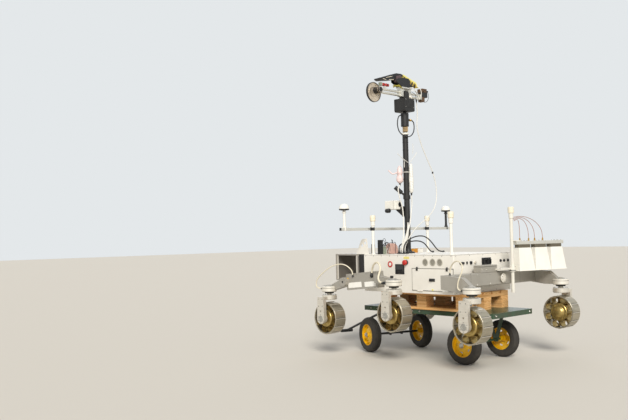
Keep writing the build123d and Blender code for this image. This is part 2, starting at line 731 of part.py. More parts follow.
# Body box: folded sheet shell with an inward flange under the deck plate
DOOR_Z0 = DOOR_AXIS_Z + DOOR_HINGE_R + 2 * DOOR_GAP
DOOR_Z1 = DOOR_AXIS_Z + DOOR_H
DOOR_MID_Z = (DOOR_AXIS_Z + DOOR_Z1) / 2
DOOR_IN = BODY_HALF_W + DOOR_GAP
DOOR_OUT = DOOR_IN + DOOR_T
VENT_Z = BODY_Z0 + VENT_UP
body_mid_x = BODY_REAR_X + BODY_LEN / 2
with BuildPart() as body_shell:
    with BuildSketch(Plane(origin=(body_mid_x, 0, BODY_Z0))):
        RectangleRounded(BODY_LEN, 2 * BODY_HALF_W, BODY_EDGE_R)
    extrude(amount=BODY_H - DECK_T)
    flange_z = DECK_Z - DECK_T - FLANGE_T
    block(BODY_REAR_X + WALL, BODY_FRONT_X - WALL, WALL - BODY_HALF_W, BODY_HALF_W - WALL,
          BODY_Z0 + WALL, flange_z, mode=Mode.SUBTRACT)
    block(BODY_REAR_X + FLANGE_W, BODY_FRONT_X - FLANGE_W, FLANGE_W - BODY_HALF_W,
          BODY_HALF_W - FLANGE_W, flange_z - WALL, DECK_Z, mode=Mode.SUBTRACT)
    with BuildSketch(along_y(DOOR_MID_X, BODY_HALF_W - 2 * WALL, DOOR_MID_Z)):
        RectangleRounded(DOOR_LEN - 2 * DOOR_REBATE, DOOR_H - 2 * DOOR_REBATE + 2 * DOOR_HINGE_R,
                         DOOR_CORNER_R)
    extrude(amount=3 * WALL, mode=Mode.SUBTRACT)
    with BuildSketch(along_y(0, BODY_HALF_W - 2 * WALL, VENT_Z)):
        with Locations(*[(vx, 0) for vx in VENTS_X]):
            Circle(VENT_R)
    extrude(amount=3 * WALL, mode=Mode.SUBTRACT)
    for hx in DOOR_HINGES:
        block(hx - KNUCKLE / 2, hx + KNUCKLE / 2, BODY_HALF_W, BODY_HALF_W + DOOR_PIN_R,
              DOOR_AXIS_Z - 3 * DOOR_HINGE_R, DOOR_AXIS_Z)
        rod_x(hx - KNUCKLE / 2, hx + KNUCKLE / 2, DOOR_AXIS_Y, DOOR_AXIS_Z, DOOR_HINGE_R)
        rod_x(hx - 1.5 * KNUCKLE, hx + 1.5 * KNUCKLE, DOOR_AXIS_Y, DOOR_AXIS_Z, DOOR_PIN_R)
save(body_shell, "body_shell")

with BuildPart() as deck_plate:
    with BuildSketch(Plane(origin=(body_mid_x, 0, DECK_Z - DECK_T))):
        RectangleRounded(BODY_LEN, 2 * BODY_HALF_W, BODY_EDGE_R)
        with Locations((PAYLOAD_X - body_mid_x, 0)):
            with GridLocations(PAYLOAD_DX, PAYLOAD_DY, 2, 2):
                Circle(PAYLOAD_HOLE_R, mode=Mode.SUBTRACT)
    extrude(amount=DECK_T)
save(deck_plate, "deck_plate")

# One plain block stands for the batteries and electronics inside the box
with BuildPart() as battery:
    block(body_mid_x - BATTERY_LEN / 2, body_mid_x + BATTERY_LEN / 2, -BATTERY_HALF_W,
          BATTERY_HALF_W, BODY_Z0 + WALL, BODY_Z0 + WALL + BATTERY_H)
save(battery, "battery")

# Round vents: a bezel with horizontal slats
with BuildPart() as vents:
    for vx in VENTS_X:
        with BuildSketch(along_y(vx, BODY_HALF_W, VENT_Z)) as grille:
            Circle(VENT_R + VENT_BEZEL)
            Circle(VENT_R - VENT_BEZEL, mode=Mode.SUBTRACT)
            for k in range(VENT_SLATS):
                slat_at = (2 * (k + 1) / (VENT_SLATS + 1) - 1) * VENT_R
                chord = 2 * (VENT_R * VENT_R - slat_at * slat_at) ** 0.5
                with Locations((0, slat_at)):
                    Rectangle(chord, SLAT_T)
        extrude(amount=VENT_BEZEL)
save(vents, "vents")

# Access door, hinged at its lower edge
with BuildPart() as access_door:
    with BuildSketch(along_y(DOOR_MID_X, DOOR_IN, (DOOR_Z0 + DOOR_Z1) / 2)):
        RectangleRounded(DOOR_LEN, DOOR_Z1 - DOOR_Z0, DOOR_CORNER_R)
    extrude(amount=DOOR_T)
    for hx in DOOR_HINGES:
        for side in (-1, 1):
            inner = hx + side * (KNUCKLE / 2 + DOOR_GAP)
            outer = hx + side * 1.5 * KNUCKLE
            block(inner, outer, DOOR_IN, DOOR_AXIS_Y + DOOR_PIN_R, DOOR_AXIS_Z, DOOR_Z0 + DOOR_T)
            rod_x(inner, outer, DOOR_AXIS_Y, DOOR_AXIS_Z, DOOR_HINGE_R)
            rod_x(inner - KNUCKLE, outer + KNUCKLE, DOOR_AXIS_Y, DOOR_AXIS_Z, DOOR_PIN_R + RUN,
                  mode=Mode.SUBTRACT)
save(access_door, "access_door")

# Handle with a finger recess, and two cam latches over the door's upper edge
with BuildPart() as door_fittings:
    handle_z = DOOR_AXIS_Z + HANDLE_UP
    with BuildSketch(along_y(DOOR_MID_X, DOOR_OUT, handle_z)):
        RectangleRounded(2 * HANDLE_HALF, 0.8 * HANDLE_HALF, 0.12 * HANDLE_HALF)
    extrude(amount=HANDLE_OUT)
    with BuildSketch(along_y(DOOR_MID_X, DOOR_OUT + HANDLE_OUT / 3, handle_z)):
        RectangleRounded(1.6 * HANDLE_HALF, 0.44 * HANDLE_HALF, 0.1 * HANDLE_HALF)
    extrude(amount=HANDLE_OUT, mode=Mode.SUBTRACT)
    for latch_x in (DOOR_X0 + LATCH_INSET, DOOR_X0 + DOOR_LEN - LATCH_INSET):
        with BuildSketch(along_x(latch_x - LATCH_W / 2, DOOR_OUT, DOOR_Z1)):
            with BuildLine():
                Polyline((0, -LATCH_H / 2), (LATCH_OUT / 2, -LATCH_H / 2), (LATCH_OUT, -LATCH_H / 6),
                         (LATCH_OUT, LATCH_H / 3), (LATCH_OUT / 2, LATCH_H / 2), (0, LATCH_H / 2),
                         close=True)
            make_face()
        extrude(amount=LATCH_W)
save(door_fittings, "door_fittings")

# Stop button, square panel, ring and the connectors on the rear face
with BuildPart() as face_fittings:
    turned_y(STOP_X, BODY_HALF_W, BODY_Z0 + STOP_UP, 1, [
        (0, 0), (0, STOP_BASE_R), (STOP_OUT / 4, STOP_BASE_R), (STOP_OUT / 3, STOP_R / 2),
        (STOP_OUT / 2, STOP_R / 2), (STOP_OUT / 2, STOP_R), (0.8 * STOP_OUT, STOP_R),
        (STOP_OUT, 0.6 * STOP_R), (STOP_OUT, 0)])
    with BuildSketch(along_y(PANEL_X, BODY_HALF_W, BODY_Z0 + PANEL_UP)):
        Rectangle(PANEL_W, PANEL_H)
    extrude(amount=PANEL_T)
    with BuildSketch(along_y(PANEL_X, BODY_HALF_W + PANEL_T / 2, BODY_Z0 + PANEL_UP)):
        Rectangle(PANEL_W - 2 * PANEL_FRAME, PANEL_H - 2 * PANEL_FRAME)
    extrude(amount=PANEL_T, mode=Mode.SUBTRACT)
    turned_y(RING_X, BODY_HALF_W, BODY_Z0 + RING_UP, 1, [
        (0, RING_HOLE_R), (0, RING_R), (PANEL_T / 2, RING_R), (PANEL_T, RING_R - PANEL_T / 2),
        (PANEL_T, RING_HOLE_R)])
    rear_z = BODY_Z0 + REAR_UP
    for plug_y in REAR_PLUGS:
        rod_x(BODY_REAR_X - PLUG_OUT / 3, BODY_REAR_X, plug_y, rear_z, PLUG_R)
        rod_x(BODY_REAR_X - PLUG_OUT, BODY_REAR_X, plug_y, rear_z, 0.7 * PLUG_R)
    block(BODY_REAR_X - PLUG_OUT, BODY_REAR_X, SOCKET_Y - SOCKET_HALF, SOCKET_Y + SOCKET_HALF,
          rear_z - 0.43 * SOCKET_H, rear_z + 0.57 * SOCKET_H)
save(face_fittings, "face_fittings")

# Open aluminium box across the front, and the closed spacer that carries it
with BuildPart() as front_box:
    with BuildSketch(along_y((BOX_X0 + BOX_X1) / 2, -BODY_HALF_W, (BOX_Z0 + BOX_Z1) / 2)):
        RectangleRounded(BOX_DEPTH, BOX_H, BOX_EDGE_R)
        RectangleRounded(BOX_DEPTH - 2 * BOX_WALL, BOX_H - 2 * BOX_WALL, BOX_EDGE_R,
                         mode=Mode.SUBTRACT)
    extrude(amount=2 * BODY_HALF_W)
save(front_box, "front_box")

with BuildPart() as front_spacer:
    block(BODY_FRONT_X, BOX_X0, SPACER_INSET - BODY_HALF_W, BODY_HALF_W - SPACER_INSET,
          BOX_Z0 + 2 * BOX_WALL, min(DECK_Z, BOX_Z1) - DECK_T)
save(front_spacer, "front_spacer")

# Corner posts, turned from a slender tube with a wide two-step head
with BuildPart() as deck_posts:
    for post_x, post_y in ((FRONT_POST_X, POST_Y), (REAR_POST_X, POST_Y), (FRONT_POST_X, -POST_Y)):
        turned_z(post_x, post_y, DECK_Z, [
            (0, 0), (0, POST_FOOT_R), (POST_FOOT_H, POST_FOOT_R), (POST_FOOT_H, POST_R),
            (POST_H - POST_HEAD_H - POST_NECK_H, POST_R),
            (POST_H - POST_HEAD_H - 0.9 * POST_NECK_H, POST_NECK_R),
            (POST_H - POST_HEAD_H, POST_NECK_R), (POST_H - POST_HEAD_H, POST_HEAD_R),
            (POST_H - 0.1 * POST_HEAD_H, POST_HEAD_R), (POST_H, 0.85 * POST_HEAD_R), (POST_H, 0)])
save(deck_posts, "deck_posts")

# Square crossbar on the front posts with a mushroom antenna at each end
with BuildPart() as satellite_bar:
    with BuildSketch(along_y(BAR_X, -BAR_HALF, BAR_Z)):
        Rectangle(BAR_W, BAR_W)
        Rectangle(BAR_W - 2 * BAR_WALL, BAR_W - 2 * BAR_WALL, mode=Mode.SUBTRACT)
    extrude(amount=2 * BAR_HALF)
    for side in (1, -1):
        block(FRONT_POST_X - CLAMP_HALF, BAR_X - BAR_W / 2 + WELD, side * POST_Y - CLAMP_HALF,
              side * POST_Y + CLAMP_HALF, BAR_Z - CLAMP_H / 2, BAR_Z + CLAMP_H / 2)
        rod_z(FRONT_POST_X, side * POST_Y, BAR_Z - CLAMP_H, BAR_Z + CLAMP_H, POST_R + CURVE_GAP,
              mode=Mode.SUBTRACT)
        turned_z(BAR_X, side * ANTENNA_Y, BAR_Z, [
            (0, 0), (0, STEM_R), (STEM_H, STEM_R), (STEM_H, ANTENNA_R),
            (STEM_H + ANTENNA_RING_H, ANTENNA_R),
            *dome_points(0.95 * ANTENNA_R, ANTENNA_H - ANTENNA_RING_H, STEM_H + ANTENNA_RING_H)])
save(satellite_bar, "satellite_bar")


def radar_plane(along, z):
    """Plane at height z whose local x runs from the pole along the row of horns."""
    a = radians(RADAR_YAW)
    return Plane(origin=(RADAR_POLE_X - along * sin(a), RADAR_POLE_Y - along * cos(a), z),
                 x_dir=(-sin(a), -cos(a), 0), z_dir=(0, 0, 1))


# Radar pole, its bracket from the body's rear and the arm over the horns' bar
with BuildPart() as radar_mount:
    pole_z = BODY_Z0 - RADAR_POLE_BELOW
    pole_h = RADAR_POLE_TOP - pole_z
    turned_z(RADAR_POLE_X, RADAR_POLE_Y, pole_z, [
        (0, 0), (0, RADAR_POLE_R), (pole_h - POST_HEAD_H - POST_NECK_H, RADAR_POLE_R),
        (pole_h - POST_HEAD_H - 0.9 * POST_NECK_H, POST_NECK_R), (pole_h - POST_HEAD_H, POST_NECK_R),
        (pole_h - POST_HEAD_H, POST_HEAD_R), (pole_h - 0.1 * POST_HEAD_H, POST_HEAD_R),
        (pole_h, 0.85 * POST_HEAD_R), (pole_h, 0)])
    plate_z = BODY_Z0 + RADAR_PLATE_UP
    block(RADAR_POLE_X, BODY_REAR_X, RADAR_POLE_Y - RADAR_PLATE_T,
          RADAR_POLE_Y - RADAR_PLATE_T + RADAR_PLATE_W, plate_z, plate_z + RADAR_PLATE_T)
    rod_z(RADAR_POLE_X, RADAR_POLE_Y, plate_z + (RADAR_PLATE_T - RADAR_COLLAR_H) / 2,
          plate_z + (RADAR_PLATE_T + RADAR_COLLAR_H) / 2, RADAR_COLLAR_R)
    with BuildSketch(radar_plane(RADAR_ARM_LEN / 2, RADAR_BAR_Z1)):
        Rectangle(RADAR_ARM_LEN, RADAR_ARM_W)
    extrude(amount=RADAR_ARM_T)
save(radar_mount, "radar_mount")

# Tapered horns under a common bar, each with a lip round a shallow aperture
with BuildPart() as radar_horns:
    for k in range(HORNS):
        horn_at = HORN_FIRST + HORN_W / 2 + k * (HORN_W + HORN_GAP)
        with BuildSketch(radar_plane(horn_at, HORN_Z0)):
            RectangleRounded(HORN_W, HORN_DEPTH, HORN_LIP / 2)
        extrude(amount=HORN_LIP)
        with BuildSketch(radar_plane(horn_at, HORN_Z0 + HORN_LIP)):
            Rectangle(HORN_W - HORN_LIP, HORN_DEPTH - HORN_LIP)
        with BuildSketch(radar_plane(horn_at, HORN_Z1)):
            Rectangle(HORN_TOP_W, HORN_TOP_DEPTH)
        loft()
        with BuildSketch(radar_plane(horn_at, HORN_Z0)):
            Rectangle(HORN_W - 2 * HORN_LIP, HORN_DEPTH - 2 * HORN_LIP)
        extrude(amount=HORN_RECESS, mode=Mode.SUBTRACT)
        with BuildSketch(radar_plane(horn_at, HORN_Z1)):
            Rectangle(2 * HORN_NECK_HALF, RADAR_BAR_W)
        extrude(amount=HORN_NECK_H)
    with BuildSketch(radar_plane(RADAR_BAR_END + RADAR_BAR_LEN / 2, RADAR_BAR_Z0)):
        RectangleRounded(RADAR_BAR_LEN, RADAR_BAR_W, HORN_LIP / 2)
    extrude(amount=RADAR_BAR_H)
    for plug_at in RADAR_PLUGS:
        with BuildSketch(radar_plane(plug_at, RADAR_BAR_Z1)):
            Circle(RADAR_PLUG_R)
        extrude(amount=RADAR_PLUG_H)
save(radar_horns, "radar_horns")

# Mast: foot, lower tube, top ring, upper section with a connector, and the pan pin
with BuildPart() as mast:
    turned_z(MAST_X, 0, DECK_Z, [
        (0, 0), (0, MAST_FOOT_R), (0.6 * MAST_FOOT_H, MAST_FOOT_R),
        (MAST_FOOT_H, MAST_FOOT_R - 0.4 * MAST_FOOT_H), (MAST_FOOT_H, 1.4 * MAST_R),
        (3 * MAST_FOOT_H, MAST_R), (MAST_H - MAST_RING_H, MAST_R), (MAST_H - MAST_RING_H, MAST_RING_R),
        (MAST_H, MAST_RING_R), (MAST_H, MAST_NECK_R), (UPPER_Z0 - DECK_Z, MAST_NECK_R),
        (UPPER_Z0 - DECK_Z, MAST_UPPER_R), (UPPER_Z1 - DECK_Z, MAST_UPPER_R),
        (UPPER_Z1 - DECK_Z, PAN_PIN_R), (UPPER_Z1 + PAN_PIN_H - DECK_Z, PAN_PIN_R),
        (UPPER_Z1 + PAN_PIN_H - DECK_Z, 0)])
    rod_y(MAST_X - MAST_UPPER_R / 2, -MAST_UPPER_R - MAST_PLUG_LEN, 0, UPPER_Z0 + MAST_PLUG_UP,
          MAST_PLUG_R)
    clamp_z = DECK_Z + SENSOR_UP
    rod_z(MAST_X, 0, clamp_z - SENSOR_CLAMP_H / 2, clamp_z + SENSOR_CLAMP_H / 2, SENSOR_CLAMP_R)
    sensor_dir = (cos(radians(SENSOR_TILT)) * cos(radians(47)), cos(radians(SENSOR_TILT)) * sin(radians(47)),
                  sin(radians(SENSOR_TILT)))
    stalk = Plane(origin=(MAST_X, 0, clamp_z), z_dir=sensor_dir)
    with BuildSketch(stalk) as stem:
        Circle(SENSOR_R / 2)
    extrude(stem.sketch, amount=SENSOR_OUT)
    with BuildSketch(stalk.offset(SENSOR_OUT)) as can:
        Circle(SENSOR_R)
    extrude(can.sketch, amount=SENSOR_LEN)
save(mast, "mast")

# Camera box ahead of the mast, with its bracket and a separate lens below
with BuildPart() as mast_camera:
    camera_z = DECK_Z + CAMERA_UP
    camera_x0 = MAST_X + CAMERA_AHEAD
    with BuildSketch(along_x(camera_x0, CAMERA_Y, camera_z + CAMERA_H / 2)):
        RectangleRounded(CAMERA_W, CAMERA_H, CAMERA_EDGE)
    extrude(amount=CAMERA_LEN)
    rod_x(camera_x0, camera_x0 + CAMERA_EYE_DEPTH, CAMERA_Y - CAMERA_W / 5, camera_z + 0.55 * CAMERA_H,
          CAMERA_EYE_R, mode=Mode.SUBTRACT)
    side_plate([(MAST_X + MAST_R + WELD, camera_z - BRACKET_DROP),
                (MAST_X + MAST_R + WELD, camera_z + BRACKET_HALF_Y),
                (camera_x0 + BRACKET_DROP, camera_z + BRACKET_HALF_Y), (camera_x0 + BRACKET_DROP, camera_z)],
               -BRACKET_HALF_Y, CAMERA_Y - CAMERA_W / 4)
    rod_x(camera_x0 + BRACKET_DROP, camera_x0 + BRACKET_DROP + LENS_LEN, CAMERA_Y + CAMERA_W / 2 + LENS_R / 2,
          camera_z - LENS_R / 2, LENS_R)
save(mast_camera, "mast_camera")

# Pan unit: a block rounded underneath, with the yoke that carries the head
with BuildPart() as pan_unit:
    with BuildSketch(along_x(MAST_X - PAN_HALF, 0, 0)) as face:
        with BuildLine() as edge:
            FilletPolyline((-PAN_HALF, PAN_Z1), (-PAN_HALF, PAN_Z0), (PAN_HALF, PAN_Z0), (PAN_HALF, PAN_Z1),
                           radius=PAN_EDGE_R)
            Line((PAN_HALF, PAN_Z1), (-PAN_HALF, PAN_Z1))
        make_face()
    extrude(amount=2 * PAN_HALF)
    with BuildSketch(along_y(MAST_X, -YOKE_HALF_Y, TILT_Z)):
        Circle(YOKE_HALF_X)
        with Locations((0, TILT_UP / 2)):
            Rectangle(2 * YOKE_HALF_X, TILT_UP)
        Circle(TILT_PIN_R + RUN, mode=Mode.SUBTRACT)
    extrude(amount=2 * YOKE_HALF_Y)
    rod_z(MAST_X, 0, PAN_Z0, UPPER_Z1 + PAN_PIN_H + HEAD_GAP, PAN_PIN_R + RUN, mode=Mode.SUBTRACT)
save(pan_unit, "pan_unit")

# Tilting head: two parallel tubes in clamps beside the yoke, and a tray over it
with BuildPart() as head_frame:
    yoke_out = YOKE_HALF_Y + HEAD_GAP
    for side, reach in ((1, HEAD_LEFT), (-1, HEAD_RIGHT)):
        for up in (-TUBE_AT, TUBE_AT):
            rod_y(MAST_X, side * yoke_out, side * reach, TILT_Z + up, TUBE_R)
        block(MAST_X - HEAD_CLAMP_HALF, MAST_X + HEAD_CLAMP_HALF, side * yoke_out,
              side * (yoke_out + HEAD_CLAMP_W), TILT_Z - TUBE_AT - TUBE_R, TILT_Z + TRAY_UP)
        block(MAST_X - HEAD_CLAMP_HALF, MAST_X + HEAD_CLAMP_HALF, side * reach,
              side * (reach - HEAD_CLAMP_W / 3), TILT_Z - TUBE_AT - TUBE_R, TILT_Z + TUBE_AT + TUBE_R)
    rod_y(MAST_X, -yoke_out, yoke_out, TILT_Z, TILT_PIN_R)
    block(MAST_X - YOKE_HALF_X, MAST_X + YOKE_HALF_X, -TRAY_HALF_Y, TRAY_HALF_Y, TILT_Z + TRAY_UP,
          TILT_Z + TRAY_UP + TRAY_T)
    rod_y(MAST_X, TUBE_CAN_Y - TUBE_CAN_LEN / 2, TUBE_CAN_Y + TUBE_CAN_LEN / 2, TILT_Z + TUBE_CAN_UP,
          TUBE_CAN_R)
    block(MAST_X - TUBE_CAN_R / 2, MAST_X + TUBE_CAN_R / 2, TUBE_CAN_Y - TUBE_CAN_R,
          TUBE_CAN_Y + TUBE_CAN_R, TILT_Z + TUBE_AT, TILT_Z + TUBE_CAN_UP)
    rod_z(MAST_X, GLAND_Y, TILT_Z - GLAND_DROP, TILT_Z - TUBE_AT, GLAND_R)
save(head_frame, "head_frame")

# Thin round disc that faces forward, its centre outside its motor at the left end of the head
with BuildPart() as head_disc:
    motor_y = HEAD_LEFT + MOTOR_R + CURVE_GAP
    disc_at = (motor_y + DISC_ASIDE, TILT_Z - DISC_DROP)
    disc_x = MAST_X + HEAD_CLAMP_HALF + DISC_CLEAR
    rod_x(disc_x - DISC_LIP, disc_x + DISC_T, *disc_at, DISC_R)
    rod_x(disc_x - DISC_LIP, disc_x, *disc_at, DISC_R - DISC_RIM_T, mode=Mode.SUBTRACT)
    rod_x(disc_x + DISC_T, disc_x + DISC_T + DISC_HUB_T, *disc_at, DISC_HUB_R)
    rod_x(disc_x - MOTOR_LEN, disc_x, motor_y, TILT_Z, MOTOR_R)
save(head_disc, "head_disc")

with BuildPart() as head_box:
    with BuildSketch(Plane(origin=(MAST_X, -HEAD_RIGHT - HEAD_BOX_W / 2, TILT_Z - HEAD_BOX_DROP))):
        RectangleRounded(2 * HEAD_BOX_HALF_X, HEAD_BOX_W, HEAD_BOX_EDGE)
    extrude(amount=HEAD_BOX_H)
save(head_box, "head_box")

# Slanted cover plate over the left tubes and the thin strip that falls to the right
with BuildPart() as head_cover:
    left_y, left_up = COVER_LEFT
    peak_y, peak_up = COVER_PEAK
    right_y, right_up = COVER_RIGHT
    tray_top = TILT_Z + TRAY_UP + TRAY_T
    cross_plate([(left_y, TILT_Z + left_up - COVER_T), (left_y, TILT_Z + left_up),
                 (peak_y, TILT_Z + peak_up + COVER_T), (0, TILT_Z + peak_up),
                 (right_y, TILT_Z + right_up), (right_y, TILT_Z + right_up - STRIP_T),
                 (-TRAY_HALF_Y / 2, TILT_Z + peak_up - 4 * STRIP_T), (-TRAY_HALF_Y, tray_top),
                 (TRAY_HALF_Y, tray_top), (2 * TRAY_HALF_Y, TILT_Z + peak_up - 6 * COVER_T)],
                MAST_X - COVER_HALF_X, MAST_X + COVER_HALF_X)
save(head_cover, "head_cover")

# White gusset bracket on the deck's front left corner
with BuildPart() as deck_bracket:
    side_plate([(BODY_FRONT_X - GUSSET_BACK, DECK_Z), (BODY_FRONT_X, DECK_Z), (BODY_FRONT_X, BOX_Z1),
                (BODY_FRONT_X + GUSSET_AHEAD, BOX_Z1),
                (BODY_FRONT_X + 0.4 * GUSSET_AHEAD, DECK_Z + 0.85 * GUSSET_H),
                (BODY_FRONT_X + 0.2 * GUSSET_AHEAD, DECK_Z + 0.96 * GUSSET_H),
                (BODY_FRONT_X - 0.6 * GUSSET_BACK, DECK_Z + GUSSET_H)],
               GUSSET_Y - GUSSET_T, GUSSET_Y)
    for hole_x, hole_up in ((BODY_FRONT_X + 0.26 * GUSSET_AHEAD, 0.56 * GUSSET_H),
                            (BODY_FRONT_X - 0.2 * GUSSET_BACK, 0.72 * GUSSET_H)):
        rod_y(hole_x, GUSSET_Y - 2 * GUSSET_T, GUSSET_Y + GUSSET_T, DECK_Z + hole_up, GUSSET_HOLE_R,
              mode=Mode.SUBTRACT)
    block(BODY_FRONT_X - GUSSET_BACK, BODY_FRONT_X, GUSSET_Y - GUSSET_FOOT, GUSSET_Y - GUSSET_T, DECK_Z,
          DECK_Z + GUSSET_T)
save(deck_bracket, "deck_bracket")

# Small units on the deck: two dark ones, a low box, a soft pouch, two boxes right of the mast
# and the gland that the cables enter
with BuildPart() as deck_units:
    block(UNIT_X, UNIT_X + UNIT_LEN, UNIT_Y + UNIT_W, UNIT_Y + 1.45 * UNIT_W, DECK_Z,
          DECK_Z + 0.72 * UNIT_H)
    block(UNIT_X - UNIT_W, UNIT_X - UNIT_LEN, UNIT_Y, UNIT_Y + 0.9 * UNIT_W, DECK_Z, DECK_Z + UNIT_H)
    block(UNIT_X - UNIT_W, UNIT_X - UNIT_LEN, UNIT_Y - 0.9 * UNIT_W, UNIT_Y - UNIT_GAP, DECK_Z,
          DECK_Z + 0.53 * UNIT_H)
    with BuildSketch(Plane(origin=(POUCH_X, POUCH_Y, DECK_Z))):
        RectangleRounded(POUCH_LEN, POUCH_W, POUCH_EDGE)
    with BuildSketch(Plane(origin=(POUCH_X, POUCH_Y, DECK_Z + 0.6 * POUCH_H))):
        RectangleRounded(POUCH_LEN, POUCH_W, POUCH_EDGE)
    with BuildSketch(Plane(origin=(POUCH_X, POUCH_Y, DECK_Z + POUCH_H))):
        RectangleRounded(0.55 * POUCH_LEN, 0.6 * POUCH_W, 0.5 * POUCH_EDGE)
    loft()
    block(SIDE_UNIT_X, SIDE_UNIT_X + SIDE_UNIT_LEN, SIDE_UNIT_Y, SIDE_UNIT_Y + SIDE_UNIT_W, DECK_Z,
          DECK_Z + SIDE_UNIT_H)
    block(SIDE_UNIT_X, SIDE_UNIT_X + SIDE_UNIT_LEN, SIDE_UNIT_Y - UNIT_GAP - 0.7 * SIDE_UNIT_W,
          SIDE_UNIT_Y - UNIT_GAP, DECK_Z, DECK_Z + 0.93 * SIDE_UNIT_H)
    with BuildSketch(Plane(origin=(CABLE_X, CABLE_Y, DECK_Z))):
        RectangleRounded(CABLE_GLAND_LEN, CABLE_GLAND_W, CABLE_GLAND_W / 5)
    extrude(amount=CABLE_GLAND_H)
save(deck_units, "deck_units")

# Pallet: bottom boards, nine blocks, cross boards and top boards
with BuildPart() as pallet:
    pallet_mid = PALLET_REAR_X + PALLET_LEN / 2
    block_h = PALLET_H - 3 * BOARD_T
    skid_pitch = (2 * PALLET_HALF_W - BOARD_W) / (SKIDS - 1)
    row_pitch = (PALLET_LEN - BOARD_W) / (SKIDS - 1)
    top_pitch = (2 * PALLET_HALF_W - BOARD_W) / (TOP_BOARDS - 1)
    with Locations((pallet_mid, 0, CART_DECK_Z + BOARD_T / 2)):
        with GridLocations(0, skid_pitch, 1, SKIDS):
            Box(PALLET_LEN, BOARD_W, BOARD_T)
    with Locations((pallet_mid, 0, CART_DECK_Z + BOARD_T + block_h / 2)):
        with GridLocations(row_pitch, skid_pitch, SKIDS, SKIDS):
            Box(BOARD_W, BOARD_W, block_h)
    with Locations((pallet_mid, 0, BODY_Z0 - 1.5 * BOARD_T)):
        with GridLocations(row_pitch, 0, SKIDS, 1):
            Box(BOARD_W, 2 * PALLET_HALF_W, BOARD_T)
    with Locations((pallet_mid, 0, BODY_Z0 - BOARD_T / 2)):
        with GridLocations(0, top_pitch, 1, TOP_BOARDS):
            Box(PALLET_LEN, BOARD_W, BOARD_T)
save(pallet, "pallet")

# Cart: rails round a sheet deck, three channels, axle brackets and the kingpin
with BuildPart() as cart_frame:
    sheet_z = CART_DECK_Z - CART_SHEET_T
    with BuildSketch(Plane(origin=((CART_REAR_END + CART_FRONT_END) / 2, 0, RAIL_Z))):
        RectangleRounded(CART_LEN, 2 * CART_HALF_W, CART_RAIL_W / 3)
    extrude(amount=CART_RAIL_H)
    block(CART_REAR_END + CART_RAIL_W, CART_FRONT_END - CART_RAIL_W, CART_RAIL_W - CART_HALF_W,
          CART_HALF_W - CART_RAIL_W, RAIL_Z - CART_WALL, sheet_z, mode=Mode.SUBTRACT)
    for cross_x in (CART_REAR_X, CART_MIDDLE_X, CART_FRONT_X):
        block(cross_x - CROSS_HALF, cross_x + CROSS_HALF, CART_WALL - CART_HALF_W,
              CART_HALF_W - CART_WALL, RAIL_Z, sheet_z)
        block(cross_x - CROSS_HALF + CART_WALL, cross_x + CROSS_HALF - CART_WALL,
              CART_RAIL_W - CART_HALF_W, CART_HALF_W - CART_RAIL_W, RAIL_Z - CART_WALL,
              sheet_z - CART_WALL, mode=Mode.SUBTRACT)
    for side in (1, -1):
        foot_z = CART_WHEEL_R - BRACKET_FOOT
        plate = (side * (BRACKET_Y - BRACKET_T / 2), side * (BRACKET_Y + BRACKET_T / 2))
        side_plate([(CART_REAR_X - BRACKET_TOP, sheet_z), (CART_REAR_X - BRACKET_TOP, RAIL_Z),
                    (CART_REAR_X - BRACKET_FOOT, foot_z), (CART_REAR_X + BRACKET_FOOT, foot_z),
                    (CART_REAR_X + BRACKET_TOP, RAIL_Z), (CART_REAR_X + BRACKET_TOP, sheet_z)], *plate)
        side_plate([(CART_REAR_X - BRACKET_TOP + BRACKET_LEG, RAIL_Z),
                    (CART_REAR_X, CART_WHEEL_R + 2 * BRACKET_FOOT),
                    (CART_REAR_X + BRACKET_TOP - BRACKET_LEG, RAIL_Z)], *plate, mode=Mode.SUBTRACT)
    axle_end = CART_HALF_TRACK + AXLE_END
    rod_y(CART_REAR_X, -axle_end, axle_end, CART_WHEEL_R, CART_AXLE_R)
    rod_z(CART_FRONT_X, 0, RAIL_Z, sheet_z, KING_BOSS_R)
    rod_z(CART_FRONT_X, 0, TURN_Z0, RAIL_Z, KING_R)
save(cart_frame, "cart_frame")

steer = Location((CART_FRONT_X, 0, 0), (0, 0, CART_STEER))

# Front axle: turntable of two plates round a race, fork plates, axle and handle lugs
with BuildPart() as front_axle:
    turned_z(0, 0, TURN_Z0, [
        (0, KING_R + RUN), (0, TURN_R), (TURN_PLATE_T, TURN_R), (TURN_PLATE_T, RACE_R),
        (TURN_H - TURN_PLATE_T, RACE_R), (TURN_H - TURN_PLATE_T, TURN_R), (TURN_H, TURN_R),
        (TURN_H, KING_R + RUN)])
    for side in (1, -1):
        fork = (side * (FORK_Y - BRACKET_T / 2), side * (FORK_Y + BRACKET_T / 2))
        side_plate([(-FORK_TOP / 2, TURN_Z0), (-BRACKET_FOOT, CART_WHEEL_R - BRACKET_FOOT),
                    (BRACKET_FOOT, CART_WHEEL_R - BRACKET_FOOT), (FORK_TOP / 2, TURN_Z0)], *fork)
        block(RACE_R / 2, HINGE_OUT + LUG_HALF_H, side * (LUG_Y - BRACKET_T / 2),
              side * (LUG_Y + BRACKET_T / 2), HINGE_Z - LUG_HALF_H, HINGE_Z + LUG_HALF_H)
    rod_z(0, 0, TURN_Z0 - CART_WALL, TURN_Z1 + CART_WALL, KING_R + RUN, mode=Mode.SUBTRACT)
    rod_y(0, -axle_end, axle_end, CART_WHEEL_R, CART_AXLE_R)
    rod_y(HINGE_OUT, -LUG_Y - BRACKET_T / 2, LUG_Y + BRACKET_T / 2, HINGE_Z, HINGE_PIN_R)
front_axle.part = front_axle.part.moved(steer)
save(front_axle, "front_axle")

